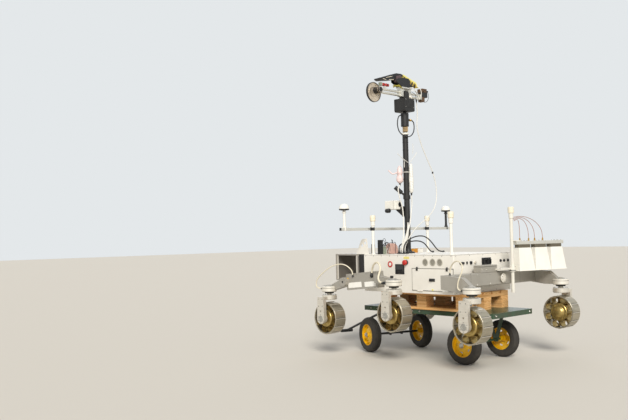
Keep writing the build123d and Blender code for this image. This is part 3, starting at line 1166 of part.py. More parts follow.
# Pull handle: an eye on the hinge pin, a tube and a closed bow with a padded grip
with BuildPart() as pull_handle:
    with BuildSketch(along_y(0, -EYE_W / 2, 0)):
        Circle(EYE_R)
        Circle(HINGE_PIN_R + RUN, mode=Mode.SUBTRACT)
    extrude(amount=EYE_W)
    bow_x = HANDLE_LEN - GRIP_BOW
    rod_x((EYE_R + HINGE_PIN_R) / 2, bow_x, 0, 0, HANDLE_R)
    rod_y(HANDLE_LEN, -GRIP_W / 2, GRIP_W / 2, 0, GRIP_R)
    for side in (1, -1):
        limb_dir = Vector(GRIP_BOW + HANDLE_R, side * GRIP_W * 0.45, 0)
        with BuildSketch(Plane(origin=(bow_x - HANDLE_R, 0, 0), z_dir=limb_dir)) as limb:
            Circle(GRIP_ARM_R)
        extrude(limb.sketch, amount=limb_dir.length)
tip = Location((HINGE_OUT, 0, HINGE_Z), (0, HANDLE_DROP, 0))
pull_handle.part = pull_handle.part.moved(tip).moved(steer)
save(pull_handle, "pull_handle")

cart_wheels = [
    # name, x, side, steered
    ("fl", 0.0, 1, True),
    ("fr", 0.0, -1, True),
    ("rl", CART_REAR_X, 1, False),
    ("rr", CART_REAR_X, -1, False),
]
for name, wx, side, steered in cart_wheels:
    wy = side * CART_HALF_TRACK
    tyre_half = CART_WHEEL_W / 2
    with BuildPart() as tyre:
        turned_y(wx, wy, CART_WHEEL_R, side, [
            (-RIM_HALF_W, TYRE_BEAD_R), (-tyre_half, CART_WHEEL_R - 2 * TYRE_SHOULDER),
            (-TYRE_CROWN, CART_WHEEL_R), (TYRE_CROWN, CART_WHEEL_R),
            (tyre_half, CART_WHEEL_R - 2 * TYRE_SHOULDER), (RIM_HALF_W, TYRE_BEAD_R)])
    with BuildPart() as rim:
        rim_r = TYRE_BEAD_R - CURVE_GAP
        turned_y(wx, wy, CART_WHEEL_R, side, [
            (-RIM_HALF_W, rim_r), (RIM_HALF_W, rim_r), (RIM_HALF_W, rim_r - RIM_SHEET),
            (RIM_DISC_T, rim_r - RIM_SHEET), (RIM_DISC_T + RIM_DISH, RIM_HUB_R + RIM_DISH),
            (RIM_DISC_T + RIM_DISH, RIM_HUB_R), (RIM_HUB_HALF, RIM_HUB_R - RIM_SHEET),
            (RIM_HUB_HALF, CART_AXLE_R + RUN), (-RIM_HUB_HALF, CART_AXLE_R + RUN),
            (-RIM_HUB_HALF, RIM_HUB_R - RIM_SHEET), (RIM_DISH, RIM_HUB_R),
            (RIM_DISH, RIM_HUB_R + RIM_DISH), (0, rim_r - RIM_SHEET), (-RIM_HALF_W, rim_r - RIM_SHEET)])
        with BuildSketch(along_y(wx, wy - RIM_HALF_W, CART_WHEEL_R)):
            with PolarLocations(RIM_SLOT_R, RIM_SLOTS):
                SlotOverall(RIM_SLOT_LEN, RIM_SLOT_W, rotation=90)
        extrude(amount=2 * RIM_HALF_W, mode=Mode.SUBTRACT)
    if steered:
        tyre.part = tyre.part.moved(steer)
        rim.part = rim.part.moved(steer)
    save(tyre, "cart_tyre_" + name)
    save(rim, "cart_rim_" + name)


def curve(start, lead_out, lead_in, end, count):
    """Points along a smooth curve between two ends, each with its own handle."""
    ends = [Vector(*p) for p in (start, lead_out, lead_in, end)]
    places = []
    for k in range(count + 1):
        t = k / count
        weights = ((1 - t) ** 3, 3 * t * (1 - t) ** 2, 3 * t * t * (1 - t), t ** 3)
        point = Vector(0, 0, 0)
        for weight, corner in zip(weights, ends):
            point += corner * weight
        places.append(tuple(point))
    return places


# White cable that hangs free from the head and returns to the gland on the deck
head_cable_route = [
    (MAST_X, GLAND_Y, TILT_Z - GLAND_DROP - HEAD_CABLE_CLEAR), (MAST_X, GLAND_Y, 2262),
    (61, -184, 2200), (61, -177, 2135), (61, -168, 2080), (61, -181, 2015), (61, -214, 1925), (61, -262, 1840), (61, -318, 1752),
    (61, -378, 1662), (61, -418, 1575), (60, -436, 1480), (58, -431, 1392), (52, -392, 1310),
    (44, -325, 1250), (34, -238, 1202), (20, -140, 1160), (4, -44, 1116), (-10, 34, 1064),
    (-21, 96, 1006), (-27, 138, 964), (-28, 160, 934), (-28, 160, GLAND_TOP)]
with BuildPart() as head_cable:
    cord(head_cable_route, HEAD_CABLE_R)
save(head_cable, "head_cable")

# Cream leads held at both ends, from the bogies' joints to the steering units
with BuildPart() as wheel_leads:
    lead_side = BEAM_OUT + LEAD_R + CURVE_GAP
    flat_side = BEAM_OUT + FLAT_LEAD_R + CURVE_GAP
    front_ring = FRONT_C + TOP_DISC_Z + TOP_DISC_H / 2
    mid_ring = MID_C + TOP_DISC_Z + TOP_DISC_H / 2
    rear_ring = REAR_C + TOP_DISC_Z + TOP_DISC_H / 2
    cord([(178, lead_side, 700), (172, lead_side, 742), (196, 634, 786), (246, 641, 810),
          (310, 646, 813), (374, 652, 800), (440, 660, 770), (500, 668, 728), (552, 674, 690),
          (580, 673, 644), (574, 668.7, front_ring), (508.8, 654.4, front_ring)], LEAD_R)
    cord([(-48, flat_side, 716), (-56, flat_side, 764), (-88, 634, 804), (-130, 646, 834),
          (-176, 656, 828), (-202, 664, 788), (-194, 674, 744), (-190, 688, 706),
          (-217.5, 697.3, mid_ring), (-261.1, 672.9, mid_ring)], FLAT_LEAD_R)
    cord([(-1016.7, 651.9, rear_ring), (-975, 659.4, rear_ring), (-972, 662, 672), (-985, 656, 722),
          (-1006, 648, 766), (-1008, 640, 812), (-980, 633, 846), (-934, 624, 850), (-890, 610, 826),
          (-850, 590, 782), (-850, 590, REAR_BEAM_TOP + CURVE_GAP)], LEAD_R)
save(wheel_leads, "wheel_leads")

# Copper coax from the pole's neck to the connectors on the horns' bar
with BuildPart() as radar_leads:
    for number, plug_at in enumerate(RADAR_PLUGS):
        plug = radar_plane(plug_at, RADAR_BAR_Z1 + RADAR_PLUG_H).origin
        start = (RADAR_POLE_X - 14 + 9 * number, RADAR_POLE_Y - 22, 1152 + 9 * number)
        reach = plug_at / 2
        landing = (plug.X, plug.Y, plug.Z + RADAR_PLUG_H)
        cord([*curve(start, (start[0] - 6, start[1] - 20 - reach, start[2] + 48),
                     (plug.X, plug.Y, plug.Z + 120 + reach / 10), landing, 5 + number), tuple(plug)], COAX_R)
save(radar_leads, "radar_leads")

# White leads held to the mast, each with its wrapped bundle, down to the gland
with BuildPart() as mast_leads:
    side_dir = (sin(radians(43)), cos(radians(43)))
    sleeve_out = MAST_R + SLEEVE_R + CURVE_GAP
    bundle_out = MAST_R + BUNDLE_R + CURVE_GAP
    sleeve = (MAST_X - sleeve_out * side_dir[0], -sleeve_out * side_dir[1], DECK_Z + BUNDLE_UP)
    bundle = (MAST_X + bundle_out * side_dir[0], bundle_out * side_dir[1],
              DECK_Z + BUNDLE_UP + SLEEVE_LEN / 3)
    turned_z(*sleeve, [
        (0, 0), (0, 0.7 * SLEEVE_R), (0.1 * SLEEVE_LEN, SLEEVE_R), (0.6 * SLEEVE_LEN, SLEEVE_R),
        (0.75 * SLEEVE_LEN, 0.8 * SLEEVE_R), (SLEEVE_LEN, 0.55 * SLEEVE_R), (SLEEVE_LEN, 0)])
    turned_z(*bundle, [
        (0, 0), (0, 0.4 * BUNDLE_R), (0.5 * BUNDLE_R, 0.9 * BUNDLE_R), (1.2 * BUNDLE_R, BUNDLE_R),
        (1.9 * BUNDLE_R, 0.85 * BUNDLE_R), (2.3 * BUNDLE_R, 0.7 * BUNDLE_R),
        (2.9 * BUNDLE_R, 0.9 * BUNDLE_R), (3.7 * BUNDLE_R, 0.75 * BUNDLE_R),
        (4.4 * BUNDLE_R, 0.3 * BUNDLE_R), (4.4 * BUNDLE_R, 0)])
    cord([bundle, (bundle[0], bundle[1], bundle[2] - 22), (98, 76, 1490), (90, 82, 1446),
          (84, 70, 1385), (79, 46, 1322), (76, 38, 1250), (62, 54, 1172), (40, 80, 1106),
          (20, 110, 1046), (3, 140, 990), (-12, 176, 944), (-12, 176, GLAND_TOP)], MAST_LEAD_R)
    cord([sleeve, (sleeve[0], sleeve[1], sleeve[2] - 24), (28, -32, 1372), (24, -24, 1320),
          (20, -8, 1268), (14, 8, 1216), (6, 30, 1158), (-4, 66, 1100), (-14, 106, 1044),
          (-32, 150, 988), (-46, 184, 942), (-46, 184, GLAND_TOP)], MAST_LEAD_R)
save(mast_leads, "mast_leads")

# Black cables: two that arch over the deck from the gland, and the loop at the mast's top
PLUG_Z = UPPER_Z0 + MAST_PLUG_UP
with BuildPart() as black_leads:
    cord([(-56, 196, GLAND_TOP), (-56, 196, 944), (-54, 170, 988), (-51, 112, 1018), (-50, 40, 1038),
          (-50, -32, 1046), (-50, -98, 1041), (-50, -158, 1016), (-50, -208, 980), (-50, -252, 940),
          (-50, -292, 908), (-52, -338, 895.5), (-56, -372, 895.2)], DECK_CABLE_R)
    cord([(-2, 198, GLAND_TOP), (-2, 198, 932), (8, 184, 960), (17, 132, 980), (8, 70, 992),
          (-8, 8, 1000), (-24, -54, 1000), (-31, -112, 982), (-30, -158, 948), (-27, -196, 914),
          (-20, -238, 896), (-4, -280, 895.2)], DECK_CABLE_R)
    cord([(MAST_X, MAST_UPPER_R + CURVE_GAP, 2150), (MAST_X, 74, 2150), (65, 96, 2108), (66, 100, 2050),
          (58, 86, 1992), (38, 50, 1956), (20, 4, 1948), (24, -46, 1966), (30, -86, 2004),
          (37, -104, 2056), (43, -98, PLUG_Z), (43, -MAST_UPPER_R - MAST_PLUG_LEN, PLUG_Z)], MAST_LEAD_R)
save(black_leads, "black_leads")
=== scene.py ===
"""Looks for a planetary rover prototype that stands on a pallet on a hand cart.

Lengths inside the classes are millimetres in the part's own frame: +X forward, +Y left and
+Z up, with z = 0 on the ground. Meshes are made in metres.
"""
import logging
import math
import random
from collections.abc import Iterable, Sequence
from dataclasses import dataclass, field
from enum import Enum
from typing import Any

import bpy
from mathutils import Matrix, Vector


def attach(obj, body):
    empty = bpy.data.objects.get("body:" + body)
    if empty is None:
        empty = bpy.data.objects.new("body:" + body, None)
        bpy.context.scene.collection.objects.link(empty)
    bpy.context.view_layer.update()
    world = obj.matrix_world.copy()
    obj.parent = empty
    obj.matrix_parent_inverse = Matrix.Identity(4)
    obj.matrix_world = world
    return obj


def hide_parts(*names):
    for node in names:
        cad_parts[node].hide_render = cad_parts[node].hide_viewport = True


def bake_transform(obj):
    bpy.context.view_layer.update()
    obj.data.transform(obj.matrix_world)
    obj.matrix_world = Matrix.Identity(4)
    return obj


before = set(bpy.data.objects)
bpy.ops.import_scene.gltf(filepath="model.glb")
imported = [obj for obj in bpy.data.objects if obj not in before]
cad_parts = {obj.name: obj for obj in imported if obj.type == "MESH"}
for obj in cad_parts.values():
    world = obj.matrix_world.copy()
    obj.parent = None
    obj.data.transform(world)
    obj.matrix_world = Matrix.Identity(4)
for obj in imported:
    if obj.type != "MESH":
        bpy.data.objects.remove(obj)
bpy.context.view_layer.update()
log = logging.getLogger("rover")
MM = 0.001
ORIGIN = (0.0, 0.0, 0.0)
Point = tuple[float, float, float]
Piece = bpy.types.Object
Tree = bpy.types.NodeTree
Socket = bpy.types.NodeSocket


class Body(str, Enum):
    """The moving bodies that pieces ride on."""

    BASE = "rover_on_cart"
    DOOR = "access_door"
    PAN = "pan_head"
    HEAD = "camera_head"
    HANDLE = "cart_handle"


class Along(Enum):
    """The way a turned piece points, as a turn from +Z."""

    UP = Matrix.Identity(3)
    DOWN = Matrix.Rotation(math.pi, 3, "X")
    LEFT = Matrix.Rotation(-math.pi / 2, 3, "X")
    RIGHT = Matrix.Rotation(math.pi / 2, 3, "X")
    AHEAD = Matrix.Rotation(math.pi / 2, 3, "Y")
    BACK = Matrix.Rotation(-math.pi / 2, 3, "Y")

    def turn(self) -> Matrix:
        """The turn as a four by four matrix."""
        return self.value.to_4x4()


def linear(code: str) -> tuple[float, float, float, float]:
    """Turn an sRGB hex code into linear colour.

    Args:
        code: Six hex digits after a hash.

    Returns:
        Red, green, blue and an alpha of one.
    """
    parts = [int(code[k:k + 2], 16) / 255 for k in (1, 3, 5)]
    red, green, blue = (p / 12.92 if p <= 0.04045 else ((p + 0.055) / 1.055) ** 2.4 for p in parts)
    return red, green, blue, 1.0


def add(tree: Tree, kind: str, inputs: dict[Any, Any] | None = None, **settings: Any) -> bpy.types.Node:
    """Add a node with its settings, values and links.

    Args:
        tree: Tree that gets the node.
        kind: Blender's name for the node.
        inputs: Input to its value, or to the output that feeds it.
        settings: The node's own properties.

    Returns:
        The new node.
    """
    made = tree.nodes.new(kind)
    for key, value in settings.items():
        setattr(made, key, value)
    for key, value in (inputs or {}).items():
        if isinstance(value, Socket):
            tree.links.new(value, made.inputs[key])
        else:
            made.inputs[key].default_value = value
    return made


@dataclass(frozen=True)
class Finish:
    """A surface: patchy colour, grain in its roughness and a fine relief."""

    name: str
    colour: str
    shade: str
    roughness: float
    metallic: float = 0.0
    patch_mm: float = 90.0
    share: float = 0.5           # how much of the shade shows in the patches
    grain_mm: float = 2.5
    relief_mm: float = 0.08
    stretch: Point = (1.0, 1.0, 1.0)
    coat: float = 0.0
    sheen: float = 0.07          # how far the grain moves the roughness, up and down

    def colour_from(self, tree: Tree, place: Socket) -> Socket:
        """Colour over the surface.

        Args:
            tree: The material's nodes.
            place: Object coordinates in metres.

        Returns:
            The colour output.
        """
        patches = add(tree, "ShaderNodeTexNoise",
            {"Vector": place, "Scale": 1 / (self.patch_mm * MM), "Detail": 5.0, "Roughness": 0.62})
        spread = add(tree, "ShaderNodeMapRange", {"Value": patches.outputs["Fac"], "From Min": 0.42,
            "From Max": 0.72, "To Min": 0.0, "To Max": self.share})
        return add(tree, "ShaderNodeMix", {0: spread.outputs[0], 6: linear(self.colour),
            7: linear(self.shade)}, data_type="RGBA").outputs[2]

    def height_from(self, tree: Tree, place: Socket) -> Socket:
        """Relief over the surface, from zero to one.

        Args:
            tree: The material's nodes.
            place: Object coordinates in metres.

        Returns:
            The height output.
        """
        return add(tree, "ShaderNodeTexNoise",
            {"Vector": place, "Scale": 1 / (self.grain_mm * MM), "Detail": 3.0}).outputs["Fac"]

    def material(self) -> bpy.types.Material:
        """The finish's material, made once.

        Returns:
            The material, the same one at each call.
        """
        found = bpy.data.materials.get(self.name)
        if found is not None:
            return found
        made = bpy.data.materials.new(self.name)
        made.use_nodes = True
        tree = made.node_tree
        shader = tree.nodes["Principled BSDF"]
        shader.inputs["Metallic"].default_value = self.metallic
        shader.inputs["Coat Weight"].default_value = self.coat
        coords = add(tree, "ShaderNodeTexCoord").outputs["Object"]
        place = add(tree, "ShaderNodeMapping", {"Vector": coords, "Scale": self.stretch}).outputs[0]
        tree.links.new(self.colour_from(tree, place), shader.inputs["Base Color"])
        height = self.height_from(tree, place)
        rough = add(tree, "ShaderNodeMapRange", {"Value": height,
            "From Min": 0.3, "From Max": 0.7, "To Min": max(0.03, self.roughness - self.sheen),
            "To Max": min(1.0, self.roughness + self.sheen)})
        tree.links.new(rough.outputs[0], shader.inputs["Roughness"])
        bump = add(tree, "ShaderNodeBump",
            {"Height": height, "Strength": 0.6, "Distance": self.relief_mm * MM})
        tree.links.new(bump.outputs[0], shader.inputs["Normal"])
        return made


@dataclass(frozen=True)
class Pine(Finish):
    """Sawn pine boards: long grain, darker rings and a tone of its own for each board."""

    ring_mm: float = 11.0
    cross_low: float = 524.0     # boards between these heights run across
    cross_high: float = 546.0

    def colour_from(self, tree: Tree, place: Socket) -> Socket:
        """Grain and tones of the boards, as in the base class.

        Args:
            tree: The material's nodes.
            place: Object coordinates in metres.

        Returns:
            The colour output.
        """
        split = add(tree, "ShaderNodeSeparateXYZ", {"Vector": place})
        above = add(tree, "ShaderNodeMath", {0: split.outputs[2], 1: self.cross_low * MM},
            operation="GREATER_THAN").outputs[0]
        below = add(tree, "ShaderNodeMath", {0: split.outputs[2], 1: self.cross_high * MM},
            operation="LESS_THAN").outputs[0]
        across = add(tree, "ShaderNodeMath", {0: above, 1: below}, operation="MULTIPLY").outputs[0]
        swapped = add(tree, "ShaderNodeCombineXYZ",
            {0: split.outputs[1], 1: split.outputs[0], 2: split.outputs[2]}).outputs[0]
        chosen = add(tree, "ShaderNodeMix", {0: across, 4: place, 5: swapped},
            data_type="VECTOR").outputs[1]
        long_way = add(tree, "ShaderNodeMapping", {"Vector": chosen, "Scale": (0.06, 1.0, 1.0)}).outputs[0]
        rings = add(tree, "ShaderNodeTexWave", {"Vector": long_way, "Scale": 1 / (self.ring_mm * MM) / 6,
            "Distortion": 9.0, "Detail": 3.0, "Detail Scale": 1.6}, wave_type="RINGS").outputs["Fac"]
        tone_place = add(tree, "ShaderNodeMapping",
            {"Vector": chosen, "Scale": (0.4, 8.0, 30.0)}).outputs[0]
        tone = add(tree, "ShaderNodeTexNoise",
            {"Vector": tone_place, "Scale": 1.0, "Detail": 1.0}).outputs["Fac"]
        ramp = add(tree, "ShaderNodeValToRGB", {"Fac": rings})
        ramp.color_ramp.elements[0].color = linear(self.shade)
        ramp.color_ramp.elements[1].color = linear(self.colour)
        ramp.color_ramp.elements[1].position = 0.55
        toned = add(tree, "ShaderNodeMapRange",
            {"Value": tone, "From Min": 0.3, "From Max": 0.7, "To Min": 0.72, "To Max": 1.12}).outputs[0]
        return add(tree, "ShaderNodeHueSaturation", {"Color": ramp.outputs[0], "Value": toned}).outputs[0]


@dataclass(frozen=True)
class Banded(Finish):
    """A surface with even bands: wound tape, spiral wrap or painted stripes; on the wraps the darker bands
    are painted shade between the turns.
    """

    pitch_mm: float = 12.0
    lean: Point = (0.0, 0.0, 0.0)
    axis: str = "Z"
    hard: bool = False

    def bands(self, tree: Tree, place: Socket) -> Socket:
        """The bands, from zero to one.

        Args:
            tree: The material's nodes.
            place: Object coordinates in metres.

        Returns:
            The output with the bands.
        """
        turned = add(tree, "ShaderNodeMapping", {"Vector": place, "Rotation": self.lean}).outputs[0]
        return add(tree, "ShaderNodeTexWave",
            {"Vector": turned, "Scale": math.pi / (10 * self.pitch_mm * MM), "Distortion": 0.0},
            bands_direction=self.axis).outputs["Fac"]

    def colour_from(self, tree: Tree, place: Socket) -> Socket:
        """Bands of the two colours, as in the base class.

        Args:
            tree: The material's nodes.
            place: Object coordinates in metres.

        Returns:
            The colour output.
        """
        ramp = add(tree, "ShaderNodeValToRGB", {"Fac": self.bands(tree, place)})
        low, high = ramp.color_ramp.elements
        low.color, high.color = linear(self.shade), linear(self.colour)
        low.position, high.position = (0.47, 0.53) if self.hard else (0.0, 0.35)
        return ramp.outputs[0]

    def height_from(self, tree: Tree, place: Socket) -> Socket:
        """Raised bands, as in the base class."""
        return self.bands(tree, place)


class Kit:
    """The rover's finishes, each named for what the real surface is."""

    # Powder-coated sheet: soft white with a slight orange peel
    WHITE = Finish("powder_coated_white_sheet", "#f3efe6", "#e2dccf", 0.42, patch_mm=260, share=0.5,
        grain_mm=3.5, relief_mm=0.05)
    # Anodised aluminium: even grey, dull sheen
    GREY = Finish("grey_anodised_aluminium", "#aea99f", "#9c978d", 0.46, 0.45, patch_mm=160, grain_mm=2.0)
    # Milled aluminium: pale metal with fine cutter marks along one way
    MILLED = Finish("milled_aluminium", "#e0dace", "#c9c2b4", 0.36, 0.6, patch_mm=70, grain_mm=5,
        stretch=(1.0, 1.0, 9.0), relief_mm=0.04)
    # Pale hard-anodised discs of the steering units
    DISC = Finish("clear_anodised_aluminium", "#ece6da", "#d9d3c5", 0.4, 0.35, patch_mm=60)
    # Bead-blasted domes and low discs: duller and browner than the discs above them; on the radar's necks
    # the dark olive grey is also painted shade under the bar
    BLASTED_WITH_SHADE = Finish("bead_blasted_aluminium", "#6d6656", "#575143", 0.5, 0.4, patch_mm=40)
    # Spun dish with fine rings from the lathe tool
    BRUSHED = Finish("spun_aluminium_dish", "#d8c9b4", "#c0b19c", 0.34, 0.6, patch_mm=50, grain_mm=3)
    # Cold-rolled sheet: brighter, with scuffs from the ground
    RIM = Finish("rolled_aluminium_sheet", "#b3ab98", "#8b8372", 0.34, 0.75, patch_mm=35, share=0.8,
        grain_mm=6, stretch=(1.0, 0.15, 1.0))
    # Chromated spring steel: warm gold with paler rubbed places
    GOLD = Finish("yellow_chromated_steel", "#b8a064", "#86703c", 0.34, 0.85, patch_mm=30, share=0.7)
    # Drawn tube, brushed along its length
    TUBE = Finish("drawn_aluminium_tube", "#dcdad1", "#c4c1b7", 0.34, 0.6, patch_mm=120,
        stretch=(4.0, 0.3, 4.0))
    # White-painted pole, greyer than the plastic heads
    POLE = Finish("grey_white_painted_tube", "#e6e2d7", "#d2cdc1", 0.4, patch_mm=80)
    # Bare rolled plate, a little brown in the light
    BOX = Finish("bare_aluminium_plate", "#b4ada3", "#9b948a", 0.4, 0.7, patch_mm=140, grain_mm=7,
        stretch=(3.0, 0.25, 3.0))
    # Matt black paint on steel and carbon: very dark grey, never pure black
    BLACK = Finish("matt_black_paint", "#1d1c1c", "#2a2826", 0.5, patch_mm=110, grain_mm=1.6,
        relief_mm=0.04)
    # Moulded nylon: black with a fine grain and soft highlights
    BLACK_PLASTIC = Finish("moulded_black_nylon", "#19191a", "#262525", 0.46, patch_mm=40, grain_mm=1.5,
        relief_mm=0.04)
    # Blackened steel: dark grey that still shines like metal
    DARK_METAL = Finish("blackened_steel", "#3b3a39", "#52504d", 0.38, 0.8, patch_mm=20)
    # Zinc plating: bright silver points for the screw heads
    SCREW = Finish("zinc_plated_screws", "#b9b7b0", "#8f8d87", 0.3, 0.9, patch_mm=8)
    # Moulded ABS: clean white with a faint gloss
    WHITE_PLASTIC = Finish("moulded_white_abs", "#f2efe6", "#e4dfd3", 0.36, patch_mm=120, grain_mm=1.6,
        relief_mm=0.03, coat=0.15)
    # Cream paint: warmer than the white plastic beside it
    CREAM = Finish("cream_painted_heads", "#efe6cf", "#ddd3ba", 0.4, patch_mm=30)
    # Glossy red plastic: the strongest colour on the rover
    RED = Finish("moulded_red_plastic", "#c22318", "#9b1a12", 0.28, patch_mm=20, coat=0.3)
    # Yellow plastic: small warm tabs on the beams
    YELLOW = Finish("moulded_yellow_plastic", "#e7b21a", "#cf9a12", 0.34, patch_mm=20)
    # Fibre board: flat brown with a dry face
    BROWN = Finish("brown_fibre_board", "#5d4632", "#493524", 0.7, patch_mm=30, grain_mm=3, relief_mm=0.15)
    # Foam cover: dull plum that takes up the light
    PLUM = Finish("plum_foam_cover", "#5a4a4c", "#4a3c3f", 0.8, patch_mm=25, relief_mm=0.2)
    # Enamel on the cart: dark green gloss, worn olive in patches
    GREEN = Finish("dark_green_enamel", "#2d4a33", "#3a3a26", 0.38, patch_mm=55, share=0.75, coat=0.2)
    # Enamel on pressed steel: a strong yellow inside the tyres
    RIM_YELLOW = Finish("yellow_enamelled_steel", "#efbd0c", "#c9940f", 0.36, patch_mm=28, share=0.6,
        coat=0.2)
    # Weathered rubber: brownish grey, matt and coarse
    TYRE = Finish("weathered_tyre_rubber", "#35322e", "#4a443b", 0.82, patch_mm=45, grain_mm=2.4,
        relief_mm=0.25)
    # Sawn pine: orange boards with darker grain along them
    PINE = Pine("sawn_orange_pine", "#e6b478", "#cf9958", 0.66, grain_mm=4, relief_mm=0.2)
    # Smoked glass: nearly black with sharp reflections
    GLASS = Finish("smoked_panel_glass", "#161a20", "#20242a", 0.12, patch_mm=60, relief_mm=0.005, coat=0.8)
    # Bare copper: salmon-coloured metal for the thin coax
    COPPER = Finish("bare_copper_jacket", "#c27a4c", "#99582f", 0.33, 1.0, patch_mm=10)
    # Gold plating: small bright connectors
    GOLD_PLATE = Finish("gold_plated_connector", "#d0a548", "#b58a34", 0.26, 1.0, patch_mm=6)
    # Vent plastic: light warm grey for bezels and slats
    VENT = Finish("grey_vent_plastic", "#c3beb1", "#aba699", 0.5, patch_mm=20)
    # Filter mesh: rougher and darker than the slats before it
    MESH = Finish("grey_filter_mesh", "#a19d8f", "#88857a", 0.7, patch_mm=8, grain_mm=1.2, relief_mm=0.3)
    # Tape: flat light yellow marks
    PALE_YELLOW = Finish("pale_yellow_tape", "#f0e58a", "#dfd066", 0.5, patch_mm=30)
    # Sleeving: dull olive yellow on the head's leads
    OLIVE = Finish("olive_yellow_sleeving", "#a89b35", "#857a24", 0.5, patch_mm=16)
    # Gasket rubber: the dark line in a joint
    RUBBER = Finish("black_rubber_gasket", "#232323", "#333230", 0.75, patch_mm=14)
    # White sheath: satin and slightly uneven
    WHITE_CORD = Finish("white_cable_sheath", "#e9e6de", "#d5d0c5", 0.5, patch_mm=18, grain_mm=3)
    # Cream sheath: yellower than the white cords
    CREAM_CORD = Finish("cream_cable_sheath", "#e6ddc6", "#d0c4a8", 0.5, patch_mm=18, grain_mm=3)
    # Black sheath: dark cords with a soft sheen
    BLACK_CORD = Finish("black_cable_sheath", "#1c1c1c", "#2a2a29", 0.45, patch_mm=18, grain_mm=3)
    # Bubble wrap: pinkish ribs with a bumpy relief; the darker pink between the ribs is painted shade
    PINK_WRAP = Banded("pinkish_bubble_wrap", "#f2dcd9", "#d9b9b4", 0.42, pitch_mm=9, lean=(0.5, 0.3, 0.0),
        relief_mm=1.2)
    # Spiral wrap: white turns with shadow between them
    WHITE_WRAP = Banded("white_spiral_wrap", "#f1efe8", "#cfccc3", 0.45, pitch_mm=14, lean=(0.35, 0.0, 0.0),
        relief_mm=1.0)
    # Edge strip: hard yellow and dark stripes
    STRIPES = Banded("striped_edge_strip", "#e6c95a", "#3a352c", 0.4, pitch_mm=30, lean=(0.0, 0.0, 0.6),
        axis="Y", hard=True)
    # Housing plastic: quiet grey green
    GREY_GREEN = Finish("grey_green_housing", "#8f9684", "#7c8372", 0.5, patch_mm=25)
    # Housing plastic: warm orange yellow
    ORANGE = Finish("orange_yellow_housing", "#d9942b", "#bf7d20", 0.42, patch_mm=25)
    # Webbing: dull tan with a woven grain
    TAN = Finish("tan_webbing_strap", "#b59b72", "#94794f", 0.85, patch_mm=8, grain_mm=1.4, relief_mm=0.4)
    # Nylon cloth: soft pink with a fine weave
    POUCH = Finish("pink_nylon_pouch", "#c9a395", "#ab8376", 0.75, patch_mm=30, grain_mm=2.2, relief_mm=0.4)
    # Label: plain matt white
    PAPER = Finish("blank_white_label", "#f7f5ee", "#eae6da", 0.6, patch_mm=40)
    # Patch: flat mid grey on the pallet
    PATCH = Finish("blank_grey_patch", "#8d8b86", "#7b7974", 0.7, patch_mm=30)


